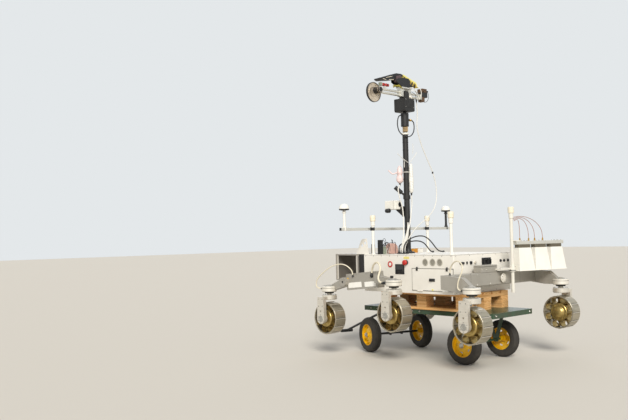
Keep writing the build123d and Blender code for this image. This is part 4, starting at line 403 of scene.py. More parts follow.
class Bench:
    """Modelling with Blender's own operators: every piece ends at the origin, unturned."""

    def clear(self) -> None:
        """Leave edit mode and deselect everything."""
        active = bpy.context.view_layer.objects.active
        if active is not None and active.mode != "OBJECT":
            bpy.ops.object.mode_set(mode="OBJECT")
        bpy.ops.object.select_all(action="DESELECT")

    def settle(self, piece: Piece, at: Point, turn: Matrix | None = None) -> Piece:
        """Turn and move a finished shape into its mesh.

        Args:
            piece: Object whose mesh is built round its own origin, in metres.
            at: Where that origin goes, in millimetres.
            turn: Rotation applied first.

        Returns:
            The piece, with its object at the world's origin.
        """
        matrix = Matrix.Translation(Vector(at) * MM)
        if turn is not None:
            matrix = matrix @ turn.to_4x4()
        piece.data.transform(matrix)
        piece.data.update()
        return piece

    def lathe(self, name: str, rings: Sequence[tuple[float, float]], at: Point, along: Along = Along.UP,
            steps: int = 32, closed: bool = False, smooth: float = 35.0) -> Piece:
        """Turn a profile by drawing a circle out and scaling it ring by ring.

        Args:
            name: Name of the piece.
            rings: Distance along the axis and radius of each ring, in millimetres.
            at: The profile's zero point.
            along: Which way the axis points.
            steps: Corners of the circle.
            closed: Whether the last ring joins the first, for a hollow piece.
            smooth: Angle in degrees under which edges are shaded smooth.

        Returns:
            The turned piece.
        """
        self.clear()
        low, radius = rings[0]
        bpy.ops.mesh.primitive_circle_add(vertices=steps, radius=radius * MM, fill_type="NOTHING",
            location=(0, 0, low * MM))
        piece = bpy.context.object
        piece.name = name
        bpy.ops.object.transform_apply(location=True, rotation=True, scale=True)
        bpy.ops.object.mode_set(mode="EDIT")
        bpy.ops.mesh.select_all(action="SELECT")
        if not closed:
            bpy.ops.mesh.edge_face_add()
        before = (low, radius)
        extrude = bpy.ops.mesh.extrude_edges_move if closed else bpy.ops.mesh.extrude_region_move
        for height, wide in [*rings[1:], rings[0]] if closed else rings[1:]:
            extrude(TRANSFORM_OT_translate={"value": (0, 0, (height - before[0]) * MM)})
            factor = wide / before[1]
            bpy.ops.transform.resize(value=(factor, factor, 1), center_override=(0, 0, height * MM))
            before = (height, wide)
        bpy.ops.mesh.select_all(action="SELECT")
        bpy.ops.mesh.remove_doubles(threshold=0.00001)
        bpy.ops.mesh.normals_make_consistent(inside=False)
        bpy.ops.object.mode_set(mode="OBJECT")
        bpy.ops.object.shade_smooth_by_angle(angle=math.radians(smooth))
        return self.settle(piece, at, along.value)

    def block(self, name: str, low: Point, high: Point, edge: float = 1.0, rows: int = 2) -> Piece:
        """A box between two corners with its edges rounded.

        Args:
            name: Name of the piece.
            low: Lowest corner, in millimetres.
            high: Highest corner.
            edge: Radius of the edges.
            rows: Segments in the rounding.

        Returns:
            The box.
        """
        self.clear()
        size = [(b - a) * MM for a, b in zip(low, high)]
        middle = tuple((a + b) / 2 for a, b in zip(low, high))
        bpy.ops.mesh.primitive_cube_add(size=1, location=(0, 0, 0), scale=size)
        piece = bpy.context.object
        piece.name = name
        bpy.ops.object.transform_apply(location=True, rotation=True, scale=True)
        bpy.ops.object.mode_set(mode="EDIT")
        bpy.ops.mesh.select_all(action="SELECT")
        bpy.ops.mesh.bevel(offset=min(edge * MM, 0.45 * min(size)), segments=rows, affect="EDGES")
        bpy.ops.object.mode_set(mode="OBJECT")
        bpy.ops.object.shade_smooth_by_angle(angle=math.radians(12))
        return self.settle(piece, middle)

    def plate(self, name: str, outline: Sequence[tuple[float, float]], thick: float, at: Point,
            turn: Matrix | None = None, edge: float = 0.0) -> Piece:
        """A plate cut to an outline, by moving the corners of a filled circle.

        Args:
            name: Name of the piece.
            outline: Corners in the plate's own X and Y, in millimetres, anticlockwise.
            thick: Thickness, towards the plate's own +Z.
            at: Where the outline's zero point goes.
            turn: Rotation of the plate.
            edge: Radius of the edges, or nothing for cut edges.

        Returns:
            The plate.
        """
        self.clear()
        bpy.ops.mesh.primitive_circle_add(vertices=len(outline), radius=0.01, fill_type="NGON")
        piece = bpy.context.object
        piece.name = name
        for corner, (x, y) in zip(piece.data.vertices, outline):
            corner.co = (x * MM, y * MM, 0)
        bpy.ops.object.mode_set(mode="EDIT")
        bpy.ops.mesh.select_all(action="SELECT")
        bpy.ops.mesh.extrude_region_move(TRANSFORM_OT_translate={"value": (0, 0, thick * MM)})
        bpy.ops.mesh.select_all(action="SELECT")
        bpy.ops.mesh.normals_make_consistent(inside=False)
        if edge > 0:
            bpy.ops.mesh.bevel(offset=edge * MM, segments=2, affect="EDGES")
        bpy.ops.object.mode_set(mode="OBJECT")
        bpy.ops.object.shade_smooth_by_angle(angle=math.radians(12))
        return self.settle(piece, at, turn)

    def copies(self, name: str, piece: Piece, places: Iterable[Matrix]) -> Piece:
        """Copy a modelled piece to each place and join the copies.

        Args:
            name: Name of the joined piece.
            piece: What is copied; it is used up.
            places: Where each copy goes, from the piece's own mesh, in metres.

        Returns:
            One object that holds every copy.
        """
        made = []
        for place in places:
            twin = piece.copy()
            twin.data = piece.data.copy()
            twin.data.transform(place)
            if place.determinant() < 0:
                twin.data.flip_normals()
            bpy.context.collection.objects.link(twin)
            made.append(twin)
        bpy.data.objects.remove(piece)
        return self.join(name, made)

    def join(self, name: str, pieces: Sequence[Piece]) -> Piece:
        """Join pieces into one object.

        Args:
            name: Name of the joined piece.
            pieces: The pieces; the first keeps its place.

        Returns:
            The joined object.
        """
        self.clear()
        for piece in pieces:
            piece.select_set(True)
        bpy.context.view_layer.objects.active = pieces[0]
        if len(pieces) > 1:
            bpy.ops.object.join()
        pieces[0].name = name
        return pieces[0]

    def tube(self, name: str, routes: Sequence[Sequence[Point]], radius: float) -> Piece:
        """Round cords along smooth lines.

        Args:
            name: Name of the piece.
            routes: Control points of each line, in millimetres.
            radius: Radius of the cords.

        Returns:
            A curve with a round section.
        """
        curve = bpy.data.curves.new(name, "CURVE")
        curve.dimensions = "3D"
        curve.resolution_u = 8
        curve.bevel_depth = radius * MM
        curve.bevel_resolution = 4
        curve.use_fill_caps = True
        for route in routes:
            spline = curve.splines.new("NURBS")
            spline.points.add(len(route) - 1)
            for point, place in zip(spline.points, route):
                point.co = (*(value * MM for value in place), 1)
            spline.order_u = 3
            spline.use_endpoint_u = True
        piece = bpy.data.objects.new(name, curve)
        bpy.context.collection.objects.link(piece)
        return piece

    def solid(self, piece: Piece) -> Piece:
        """Turn a curve into a mesh.

        Args:
            piece: A curve with a round section.

        Returns:
            The same piece as a mesh.
        """
        self.clear()
        piece.select_set(True)
        bpy.context.view_layer.objects.active = piece
        bpy.ops.object.convert(target="MESH")
        bpy.ops.object.shade_smooth_by_angle(angle=math.radians(50))
        return bpy.context.object

    def dress(self, piece: Piece, finish: Finish, slot: str, *replaced: str,
            body: str = Body.BASE) -> Piece:
        """Give a piece its finish and the body it rides on.

        Args:
            piece: The piece.
            finish: Its surface.
            slot: The record's material slot; not used.
            replaced: CAD nodes that it stands for.
            body: The body that carries it.

        Returns:
            The piece.
        """
        piece.data.materials.clear()
        piece.data.materials.append(finish.material())
        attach(piece, getattr(body, "value", body))
        if replaced:
            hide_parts(*replaced)
        return piece

    def bolts(self, name: str, width: float, height: float, places: Iterable[Matrix],
            along: Along = Along.UP) -> Piece:
        """Hexagon screw heads on washers, with the top's corners turned off, joined.

        Args:
            name: Name of the joined heads.
            width: Across the flats.
            height: Height over the washer.
            places: Where the foot of each washer goes.
            along: Which way the heads point.

        Returns:
            One object that holds every head.
        """
        washer = 0.16 * height
        head = self.lathe(name, [(0, 0.72 * width), (washer, 0.72 * width), (washer, 0.57 * width),
            (0.82 * height, 0.57 * width), (height, 0.48 * width), (height, 0.24 * width),
            (0.7 * height, 0.22 * width)], ORIGIN, along, steps=6, smooth=20)
        return self.copies(name, head, places)


BENCH = Bench()


def moved(x: float, y: float, z: float) -> Matrix:
    """A shift in millimetres as a matrix in metres."""
    return Matrix.Translation(Vector((x, y, z)) * MM)


def ring(count: int, radius: float, centre: Point, axis: str, start: float = 0.0) -> list[Matrix]:
    """Places round a circle for a piece modelled at the origin.

    Args:
        count: How many places.
        radius: Radius of the circle in millimetres.
        centre: Middle of the circle.
        axis: Axis letter of the circle.
        start: First angle in degrees.

    Returns:
        One matrix for each place.
    """
    arm = {"X": (0, 0, radius), "Y": (0, 0, radius), "Z": (radius, 0, 0)}[axis]
    return [moved(*centre) @ Matrix.Rotation(math.radians(start) + 2 * math.pi * k / count, 4, axis)
        @ moved(*arm) for k in range(count)]


@dataclass
class Studio:
    """Camera at the photograph's place, a pale floor and plain soft light."""

    camera_at: Point = (-4.39369, 5.24551, 1.04825)
    yaw: float = -0.742788
    pitch: float = 0.0371066
    roll: float = -0.0216530
    lens: float = 42.8719
    sky: str = "#e4e8ea"
    floor: str = "#d8d2c7"
    floor_size: float = 90.0
    sensor: float = 36.0

    def set_camera(self) -> None:
        """Place the camera by its viewing direction and roll."""
        ahead = Vector((math.cos(self.yaw) * math.cos(self.pitch),
            math.sin(self.yaw) * math.cos(self.pitch), math.sin(self.pitch)))
        right = Vector((math.sin(self.yaw), -math.cos(self.yaw), 0))
        up = right.cross(ahead)
        turned_right = right * math.cos(self.roll) + up * math.sin(self.roll)
        turned_up = up * math.cos(self.roll) - right * math.sin(self.roll)
        lens = bpy.data.cameras.new("camera")
        lens.lens, lens.sensor_width, lens.sensor_fit = self.lens, self.sensor, "HORIZONTAL"
        lens.clip_end = 200
        camera = bpy.data.objects.new("camera", lens)
        matrix = Matrix((turned_right, turned_up, -ahead)).transposed().to_4x4()
        matrix.translation = Vector(self.camera_at)
        camera.matrix_world = matrix
        bpy.context.collection.objects.link(camera)
        bpy.context.scene.camera = camera

    def add_light(self, name: str, at: Point, spread: float, power: float, colour: str) -> None:
        """Add a soft sun that shines from a place towards the rover.

        Args:
            name: Name of the light.
            at: Where it stands, in metres.
            spread: Its width in the sky in degrees.
            power: Power in watts per square metre.
            colour: Its colour.
        """
        lamp = bpy.data.lights.new(name, "SUN")
        lamp.angle, lamp.energy, lamp.color = math.radians(spread), power, linear(colour)[:3]
        holder = bpy.data.objects.new(name, lamp)
        holder.location = at
        holder.rotation_euler = (Vector((-0.3, 0, 0.9)) - Vector(at)).to_track_quat("-Z", "Y").to_euler()
        bpy.context.collection.objects.link(holder)

    def build(self) -> None:
        """Make the floor, the sky and the lights."""
        BENCH.clear()
        bpy.ops.mesh.primitive_plane_add(size=self.floor_size)
        floor = bpy.context.object
        floor.name = "floor"
        floor.data.materials.append(Finish(
            "plain_pale_floor", self.floor, self.floor, 0.9, patch_mm=900, relief_mm=0.01).material())
        world = bpy.data.worlds.new("studio")
        world.use_nodes = True
        bpy.context.scene.world = world
        tree = world.node_tree
        tree.nodes.clear()
        rays = add(tree, "ShaderNodeLightPath").outputs
        seen = add(tree, "ShaderNodeMath", {0: rays["Is Camera Ray"], 1: rays["Is Glossy Ray"]},
            operation="MAXIMUM").outputs[0]
        seen = add(tree, "ShaderNodeMath", {0: seen, 1: rays["Is Transmission Ray"]},
            operation="MAXIMUM").outputs[0]
        glow = add(tree, "ShaderNodeBackground", {"Color": linear("#f2f4f6"), "Strength": 0.42}).outputs[0]
        shown = add(tree, "ShaderNodeBackground", {"Color": linear(self.sky), "Strength": 1.0}).outputs[0]
        mixed = add(tree, "ShaderNodeMixShader", {0: seen, 1: glow, 2: shown}).outputs[0]
        add(tree, "ShaderNodeOutputWorld", {"Surface": mixed})
        self.add_light("sun", (-5.8, 4.9, 5.8), 22, 3.1, "#fffcf6")
        self.add_light("back_sun", (3.0, -5.0, 5.0), 50, 0.4, "#f2f5ff")
        bpy.context.scene.view_settings.view_transform = "Standard"


@dataclass
class Lead:
    """One cord with the fittings at its ends."""

    name: str
    route: list[Point]
    radius: float
    finish: Finish
    slot: str
    node: str
    free_length: float = 0.0     # real length of a free cord, or nothing for a held one
    boots: bool = True

    def boot(self, first: bool) -> Piece:
        """A tapered strain relief round one end.

        Args:
            first: Whether it is the end where the route starts.

        Returns:
            The boot.
        """
        end, inward = (self.route[0], self.route[1]) if first else (self.route[-1], self.route[-2])
        aim = Vector(inward) - Vector(end)
        r = self.radius
        piece = BENCH.lathe(self.name + ("_boot_a" if first else "_boot_b"), [
            (0, 1.7 * r), (0.8 * r, 1.75 * r), (1.2 * r, 1.45 * r), (2.4 * r, 1.4 * r), (2.8 * r, 1.2 * r),
            (4.6 * r, 1.04 * r)], ORIGIN, steps=20)
        return BENCH.settle(piece, end, aim.to_track_quat("Z", "Y").to_matrix())

    def line(self) -> list[tuple[float, ...]]:
        """Points along the middle of the cord, close together, in metres.

        Returns:
            The points, from the first end to the other.
        """
        thread = BENCH.tube(self.name + "_line", [self.route], 0.0)
        mesh = bpy.data.meshes.new_from_object(thread)
        points = [tuple(corner.co) for corner in mesh.vertices]
        bpy.data.objects.remove(thread)
        return points

    def hang(self) -> None:
        """Lay a free cord as one fixed solid along its route, with its finish, in place of its CAD node."""
        cord = BENCH.solid(BENCH.tube(self.name, [self.route], self.radius))
        cord.data.materials.append(self.finish.material())
        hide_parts(self.node)
        self.line()
        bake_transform(cord)

    def build(self) -> None:
        """Lay the cord along its route and dress it."""
        if self.free_length:
            self.hang()
        else:
            BENCH.dress(BENCH.tube(self.name, [self.route], self.radius), self.finish, self.slot, self.node)
        pieces = []
        if self.boots:
            top = Body.HEAD if self.free_length else Body.BASE
            pieces = [BENCH.dress(self.boot(first), Kit.BLACK_PLASTIC, "black_plastic",
                body=top if first else Body.BASE) for first in (True, False)]
        log.info("%s: %d points, %d boots", self.name, len(self.route), len(pieces))


@dataclass
class Leads:
    """Every cord on the rover, along the same points as its solid."""

    gland_top: float = 901.0
    front_ring: float = 591.5
    mid_ring: float = 665.5
    rear_ring: float = 628.5
    pole: tuple[float, float] = (-920.0, -165.0)
    row_yaw: float = 12.0
    plugs: tuple[float, ...] = (94.0, 197.0, 268.0, 363.0)
    plug_top: float = 1007.0
    mast_x: float = 61.0
    wrap_turn: float = 43.0      # degrees by which the wrapped bundles stand off the mast's sides
    sleeve_out: float = 43.35
    bundle_out: float = 59.35
    head_r: float = 4.5
    head_length: float = 1786.0
    coax_r: float = 2.0
    white_r: float = 5.0
    black_r: float = 5.6
    head_route: list[Point] = field(default_factory=lambda: [
        (61, -172, 2310.3), (61, -172, 2262), (61, -184, 2200), (61, -177, 2135), (61, -168, 2080),
        (61, -181, 2015), (61, -214, 1925), (61, -262, 1840), (61, -318, 1752), (61, -378, 1662),
        (61, -418, 1575), (60, -436, 1480), (58, -431, 1392), (52, -392, 1310), (44, -325, 1250),
        (34, -238, 1202), (20, -140, 1160), (4, -44, 1116), (-10, 34, 1064), (-21, 96, 1006),
        (-27, 138, 964), (-28, 160, 934), (-28, 160, 901)])

    def wheel_routes(self) -> list[tuple[list[Point], float]]:
        """Routes and radii of the three leads on the left bogie and the rear unit.

        Returns:
            Each lead's route and its radius.
        """
        front = [(178, 610.35, 700), (172, 610.35, 742), (196, 634, 786), (246, 641, 810), (310, 646, 813),
            (374, 652, 800), (440, 660, 770), (500, 668, 728), (552, 674, 690), (580, 673, 644),
            (574, 668.7, self.front_ring), (508.8, 654.4, self.front_ring)]
        middle = [(-48, 613.35, 716), (-56, 613.35, 764), (-88, 634, 804), (-130, 646, 834),
            (-176, 656, 828), (-202, 664, 788), (-194, 674, 744), (-190, 688, 706),
            (-217.5, 697.3, self.mid_ring), (-261.1, 672.9, self.mid_ring)]
        rear = [(-1016.7, 651.9, self.rear_ring), (-975, 659.4, self.rear_ring), (-972, 662, 672),
            (-985, 656, 722), (-1006, 648, 766), (-1008, 640, 812), (-980, 633, 846), (-934, 624, 850),
            (-890, 610, 826), (-850, 590, 782), (-850, 590, 737.35)]
        return [(front, 5.0), (middle, 8.0), (rear, 5.0)]

    def coax_route(self, number: int) -> list[Point]:
        """Route of one coax from the pole to its connector on the horns' bar.

        Args:
            number: Which of the four.

        Returns:
            Its points.
        """
        yaw = math.radians(self.row_yaw)
        along = self.plugs[number]
        plug = Vector((
            self.pole[0] - along * math.sin(yaw), self.pole[1] - along * math.cos(yaw), self.plug_top))
        start = Vector((self.pole[0] - 14 + 9 * number, self.pole[1] - 22, 1152 + 9 * number))
        reach = along / 2
        corners = (start, start + Vector((-6, -20 - reach, 48)), plug + Vector((0, 0, 120 + reach / 10)),
            plug + Vector((0, 0, 22)))
        count = 5 + number
        points: list[Point] = []
        for k in range(count + 1):
            t = k / count
            weights = ((1 - t) ** 3, 3 * t * (1 - t) ** 2, 3 * t * t * (1 - t), t ** 3)
            total = Vector((0, 0, 0))
            for weight, corner in zip(weights, corners):
                total += corner * weight
            points.append(tuple(total))
        return [*points, tuple(plug)]

    def build(self) -> None:
        """Lay every cord."""
        Lead("head_cord", self.head_route, self.head_r, Kit.WHITE_CORD, "white_cord", "head_cable",
            self.head_length).build()
        for letter, (route, radius) in zip("abc", self.wheel_routes()):
            Lead("wheel_lead_" + letter, route, radius, Kit.CREAM_CORD, "cream_cord", "wheel_leads").build()
        for number in range(len(self.plugs)):
            Lead(f"coax_{number}", self.coax_route(number), self.coax_r, Kit.COPPER, "copper_coax",
                "radar_leads", boots=False).build()
        side = (math.sin(math.radians(self.wrap_turn)), math.cos(math.radians(self.wrap_turn)))
        sleeve = (self.mast_x - self.sleeve_out * side[0], -self.sleeve_out * side[1], 1438.0)
        bundle = (self.mast_x + self.bundle_out * side[0], self.bundle_out * side[1], 1528.0)
        white = (Kit.WHITE_CORD, "white_cord", "mast_leads")
        black = (Kit.BLACK_CORD, "black_cord", "black_leads")
        Lead("mast_lead_left", [bundle, (bundle[0], bundle[1], 1506), (98, 76, 1490), (90, 82, 1446),
            (84, 70, 1385), (79, 46, 1322), (76, 38, 1250), (62, 54, 1172), (40, 80, 1106), (20, 110, 1046),
            (3, 140, 990), (-12, 176, 944), (-12, 176, self.gland_top)], self.white_r, *white).build()
        Lead("mast_lead_right", [sleeve, (sleeve[0], sleeve[1], 1414), (28, -32, 1372), (24, -24, 1320),
            (20, -8, 1268), (14, 8, 1216), (6, 30, 1158), (-4, 66, 1100), (-14, 106, 1044), (-32, 150, 988),
            (-46, 184, 942), (-46, 184, self.gland_top)], self.white_r, *white).build()
        Lead("deck_lead_left", [
            (-56, 196, self.gland_top), (-56, 196, 944), (-54, 170, 988), (-51, 112, 1018), (-50, 40, 1038),
            (-50, -32, 1046), (-50, -98, 1041), (-50, -158, 1016), (-50, -208, 980), (-50, -252, 940),
            (-50, -292, 908), (-52, -338, 895.5), (-56, -372, 895.2)], self.black_r, *black).build()
        Lead("deck_lead_right", [(-2, 198, self.gland_top), (-2, 198, 932), (8, 184, 960), (17, 132, 980),
            (8, 70, 992), (-8, 8, 1000), (-24, -54, 1000), (-31, -112, 982), (-30, -158, 948),
            (-27, -196, 914), (-20, -238, 896), (-4, -280, 895.2)], self.black_r, *black).build()
        Lead("mast_top_loop", [(61, 36.35, 2150), (61, 74, 2150), (65, 96, 2108), (66, 100, 2050),
            (58, 86, 1992), (38, 50, 1956), (20, 4, 1948), (24, -46, 1966), (30, -86, 2004),
            (37, -104, 2056), (43, -98, 2110), (43, -58, 2110)], 5.0, *black).build()


@dataclass
class Dressing:
    """Finishes of the CAD nodes that keep their shape."""

    finishes: dict[str, Finish] = field(default_factory=lambda: {
        "body_shell": Kit.WHITE, "deck_plate": Kit.WHITE, "access_door": Kit.WHITE,
        "vents": Kit.VENT, "battery": Kit.BLACK_PLASTIC, "door_fittings": Kit.BLACK_PLASTIC,
        "face_fittings": Kit.BLACK_PLASTIC, "front_box": Kit.BOX, "front_spacer": Kit.BLACK,
        "deck_posts": Kit.WHITE_PLASTIC, "satellite_bar": Kit.TUBE, "radar_mount": Kit.POLE,
        "radar_horns": Kit.WHITE_PLASTIC, "mast": Kit.BLACK, "mast_camera": Kit.WHITE_PLASTIC,
        "pan_unit": Kit.BLACK, "head_frame": Kit.TUBE, "head_disc": Kit.BRUSHED, "head_box": Kit.BROWN,
        "head_cover": Kit.BLACK, "deck_bracket": Kit.WHITE, "deck_units": Kit.BLACK_PLASTIC,
        "pallet": Kit.PINE, "cart_frame": Kit.GREEN, "front_axle": Kit.BLACK, "pull_handle": Kit.BLACK,
        "mast_leads": Kit.WHITE_WRAP, "bogie": Kit.GREY, "leg": Kit.MILLED, "hub": Kit.GOLD,
        "wheel": Kit.RIM, "cart_tyre": Kit.TYRE, "cart_rim": Kit.RIM_YELLOW})

    def build(self) -> None:
        """Put each node's finish in its material slots."""
        for name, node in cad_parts.items():
            family = name if name in self.finishes else name.rsplit("_", 1)[0]
            finish = self.finishes.get(family, Kit.BLACK_PLASTIC)
            for place in node.material_slots:
                place.material = finish.material()
        log.info("dressed %d nodes", len(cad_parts))


@dataclass
class DriveWheel:
    """Flexible wheel: rolled rim with grousers, held on its hub by sprung hoops."""

    radius: float = 142.5
    width: float = 120.0
    grouser: float = 4.0
    sheet: float = 3.0
    lip: float = 7.0
    grousers: int = 12
    hoops: int = 8
    hoop_r: float = 30.25
    hoop_at: float = 105.6
    hoop_half: float = 35.0
    hub_out: float = 55.0
    hub_in: float = 50.0

    def rim(self) -> Piece:
        """The rim at the origin, with the rivets of its plates.

        Returns:
            The rim.
        """
        outer, half = self.radius - self.grouser, self.width / 2
        inner = outer - self.sheet
        band = BENCH.lathe("rim", [(-half, inner - self.lip), (1.5 - half, inner - self.lip - 1),
            (3 - half, inner - self.lip + 1), (3.5 - half, inner - 2), (6 - half, inner), (half - 6, inner),
            (half - 3.5, inner - 2), (half - 3, inner - self.lip + 1), (half - 1.5, inner - self.lip - 1),
            (half, inner - self.lip), (half, outer - 1.2), (half - 1.2, outer), (1.2 - half, outer),
            (-half, outer - 1.2)], ORIGIN, Along.LEFT, steps=72, closed=True, smooth=30)
        head = BENCH.lathe("rivet", [(0, 3.2), (0.8, 2.9), (1.6, 1.4), (1.8, 0.4)], ORIGIN, steps=8)
        studs = BENCH.copies("rivets", head, [place @ moved(6.5 * turn, side * (half - 14), 0.2)
            for place in ring(self.grousers, outer, ORIGIN, "Y") for side in (-1, 1) for turn in (-1, 1)])
        return BENCH.join("rim", [band, studs])

    def bars(self) -> Piece:
        """The grousers across the rim, at the origin.

        Returns:
            The joined grousers.
        """
        half = self.width / 2
        bar = BENCH.block("grouser", (-2.2, 1 - half, -0.5), (2.2, half - 1, self.grouser), 0.6)
        return BENCH.copies("grousers", bar, ring(self.grousers, self.radius - self.grouser, ORIGIN, "Y"))

    def gaps(self) -> Piece:
        """Dark joints between the rim's plates, beside each grouser, seen from both sides.

        Returns:
            The joined dark strips.
        """
        half = self.width / 2
        gap = BENCH.block("plate_gap", (2.4, 2 - half, -self.sheet - 0.3), (6.4, half - 2, 0.3), 0.2, 1)
        return BENCH.copies("plate_gaps", gap, ring(self.grousers, self.radius - self.grouser, ORIGIN, "Y"))

    def springs(self) -> Piece:
        """The hoops at the origin, each with a pad and three screws at the rim and a pad at the hub.

        Returns:
            The joined hoops, pads and screws.
        """
        half, r = self.hoop_half, self.hoop_r
        hoop = BENCH.lathe("hoop", [(-half, r - 1.6), (half, r - 1.6), (half, r), (-half, r)], ORIGIN,
            Along.LEFT, steps=32, closed=True, smooth=40)
        pad_out = BENCH.block("pad_out", (-9, -half + 3, r - 5.2), (9, half - 3, r - 1.7), 0.8)
        pad_in = BENCH.block("pad_in", (-9, -half + 3, 1.9 - r), (9, half - 3, 5.0 - r), 0.8)
        screws = BENCH.bolts("pad_screws", 6, 3, [moved(0, y, r - 5.2) for y in (-20, 0, 20)], Along.DOWN)
        spring = BENCH.join("spring", [hoop, pad_out, pad_in, screws])
        return BENCH.copies("springs", spring, ring(self.hoops, self.hoop_at, ORIGIN, "Y", 22.5))

    def hub_fittings(self) -> Piece:
        """Screws and a dome on the hub's inner face and a ring on its outer one, which faces +Y.

        Returns:
            The joined fittings at the origin.
        """
        screws = BENCH.bolts("hub_screws", 8, 4, ring(8, 60, (0, -self.hub_in, 0), "Y", 11), Along.RIGHT)
        cap = BENCH.lathe("hub_dome", [(-8, 52), (0, 52), (1.5, 50), (8, 47), (14, 41), (19, 33),
            (22.5, 23), (24.4, 12), (25, 2)], (0, -self.hub_in - 1, 0), Along.RIGHT, steps=40, smooth=50)
        outer = BENCH.lathe("hub_ring", [(0, 70), (1.5, 70), (3, 67), (3, 60), (1.5, 58), (0, 58)],
            (0, self.hub_out - 1, 0), Along.LEFT, steps=40)
        return BENCH.join("hub_fittings", [screws, cap, outer])


@dataclass
class SteeredLeg:
    """Screws, caps and seams of a leg and the steering unit above it, heights from the wheel's middle."""

    top: float = 280.0
    top_disc: float = 232.0
    low_top: float = 205.0
    disc_r: float = 67.0
    plate_in: float = 82.0
    plate_out: float = 113.0

    def unit(self) -> Piece:
        """Screws on the fixed upper disc, and the dome's flange with its small screws.

        Returns:
            The joined fittings at the origin.
        """
        heads = BENCH.bolts("unit_screws", 8, 5, ring(8, 56, (0, 0, self.top), "Z", 10))
        flange = BENCH.lathe("dome_flange", [(0, 46), (2.5, 46), (4, 44), (4, 41), (1, 40)],
            (0, 0, self.top - 0.3), steps=32)
        caps = BENCH.bolts("dome_screws", 5, 3, ring(6, 33, (0, 0, self.top + 5.5), "Z", 30))
        return BENCH.join("unit_fittings", [heads, flange, caps])

    def bands(self) -> Piece:
        """Bright turned band round the upper disc, and the rim of the lid over it.

        Returns:
            The joined bands at the origin.
        """
        r = self.disc_r
        band = BENCH.lathe("unit_band", [(self.top_disc + 5, r - 2), (self.top_disc + 5, r + 0.6),
            (self.top - 17, r + 0.6), (self.top - 17, r - 2)], ORIGIN, steps=44, closed=True)
        lid = BENCH.lathe("unit_lid", [(self.top - 13.4, r - 2), (self.top - 13.4, r + 0.6),
            (self.top - 4, r + 0.6), (self.top - 0.4, r - 3), (self.top + 0.8, r - 5), (self.top + 0.8, 47),
            (self.top - 0.6, 46)], ORIGIN, steps=44, closed=True)
        return BENCH.join("unit_bands", [band, lid])

    def seam(self) -> Piece:
        """Dark gaskets round the upper disc and at its neck.

        Returns:
            The joined gaskets at the origin.
        """
        lid = BENCH.lathe("lid_seam", [(0, self.disc_r - 2), (0, self.disc_r + 0.4),
            (2.2, self.disc_r + 0.4), (2.2, self.disc_r - 2)], (0, 0, self.top - 16), steps=40, closed=True)
        neck = BENCH.lathe("neck_seal", [(0, 33), (0, 38), (4, 41), (9, 41), (13, 37), (13, 33)],
            (0, 0, self.top_disc - 14), steps=36, closed=True)
        return BENCH.join("unit_seals", [lid, neck])

    def leg(self, side: int) -> Piece:
        """Screws, bearing cap and plates of the moving leg.

        Args:
            side: One for the left of the rover, minus one for the right.

        Returns:
            The joined fittings at the origin.
        """
        out = Along.LEFT if side > 0 else Along.RIGHT
        face = side * self.plate_out
        cap = BENCH.lathe("leg_cap", [(-0.5, 27), (2, 27), (3.4, 25), (3.4, 12), (2.4, 11), (2.4, 4)],
            (0, face, 0), out, steps=32)
        screws = BENCH.bolts("cap_screws", 6, 3.6, ring(6, 35, (0, face, 0), "Y"), out)
        plate = BENCH.bolts("plate_screws", 7, 3.6,
            [moved(x, face, z) for x in (-24, 24) for z in (110, 172)], out)
        inner = BENCH.bolts("boss_screws", 6, 4, ring(6, 30, (0, side * (self.plate_in - 16), 0), "Y"),
            Along.RIGHT if side > 0 else Along.LEFT)
        rim = BENCH.bolts("disc_screws", 6, 4, ring(10, 56, (0, 0, self.low_top), "Z"))
        return BENCH.join("leg_fittings", [cap, screws, plate, inner, rim])


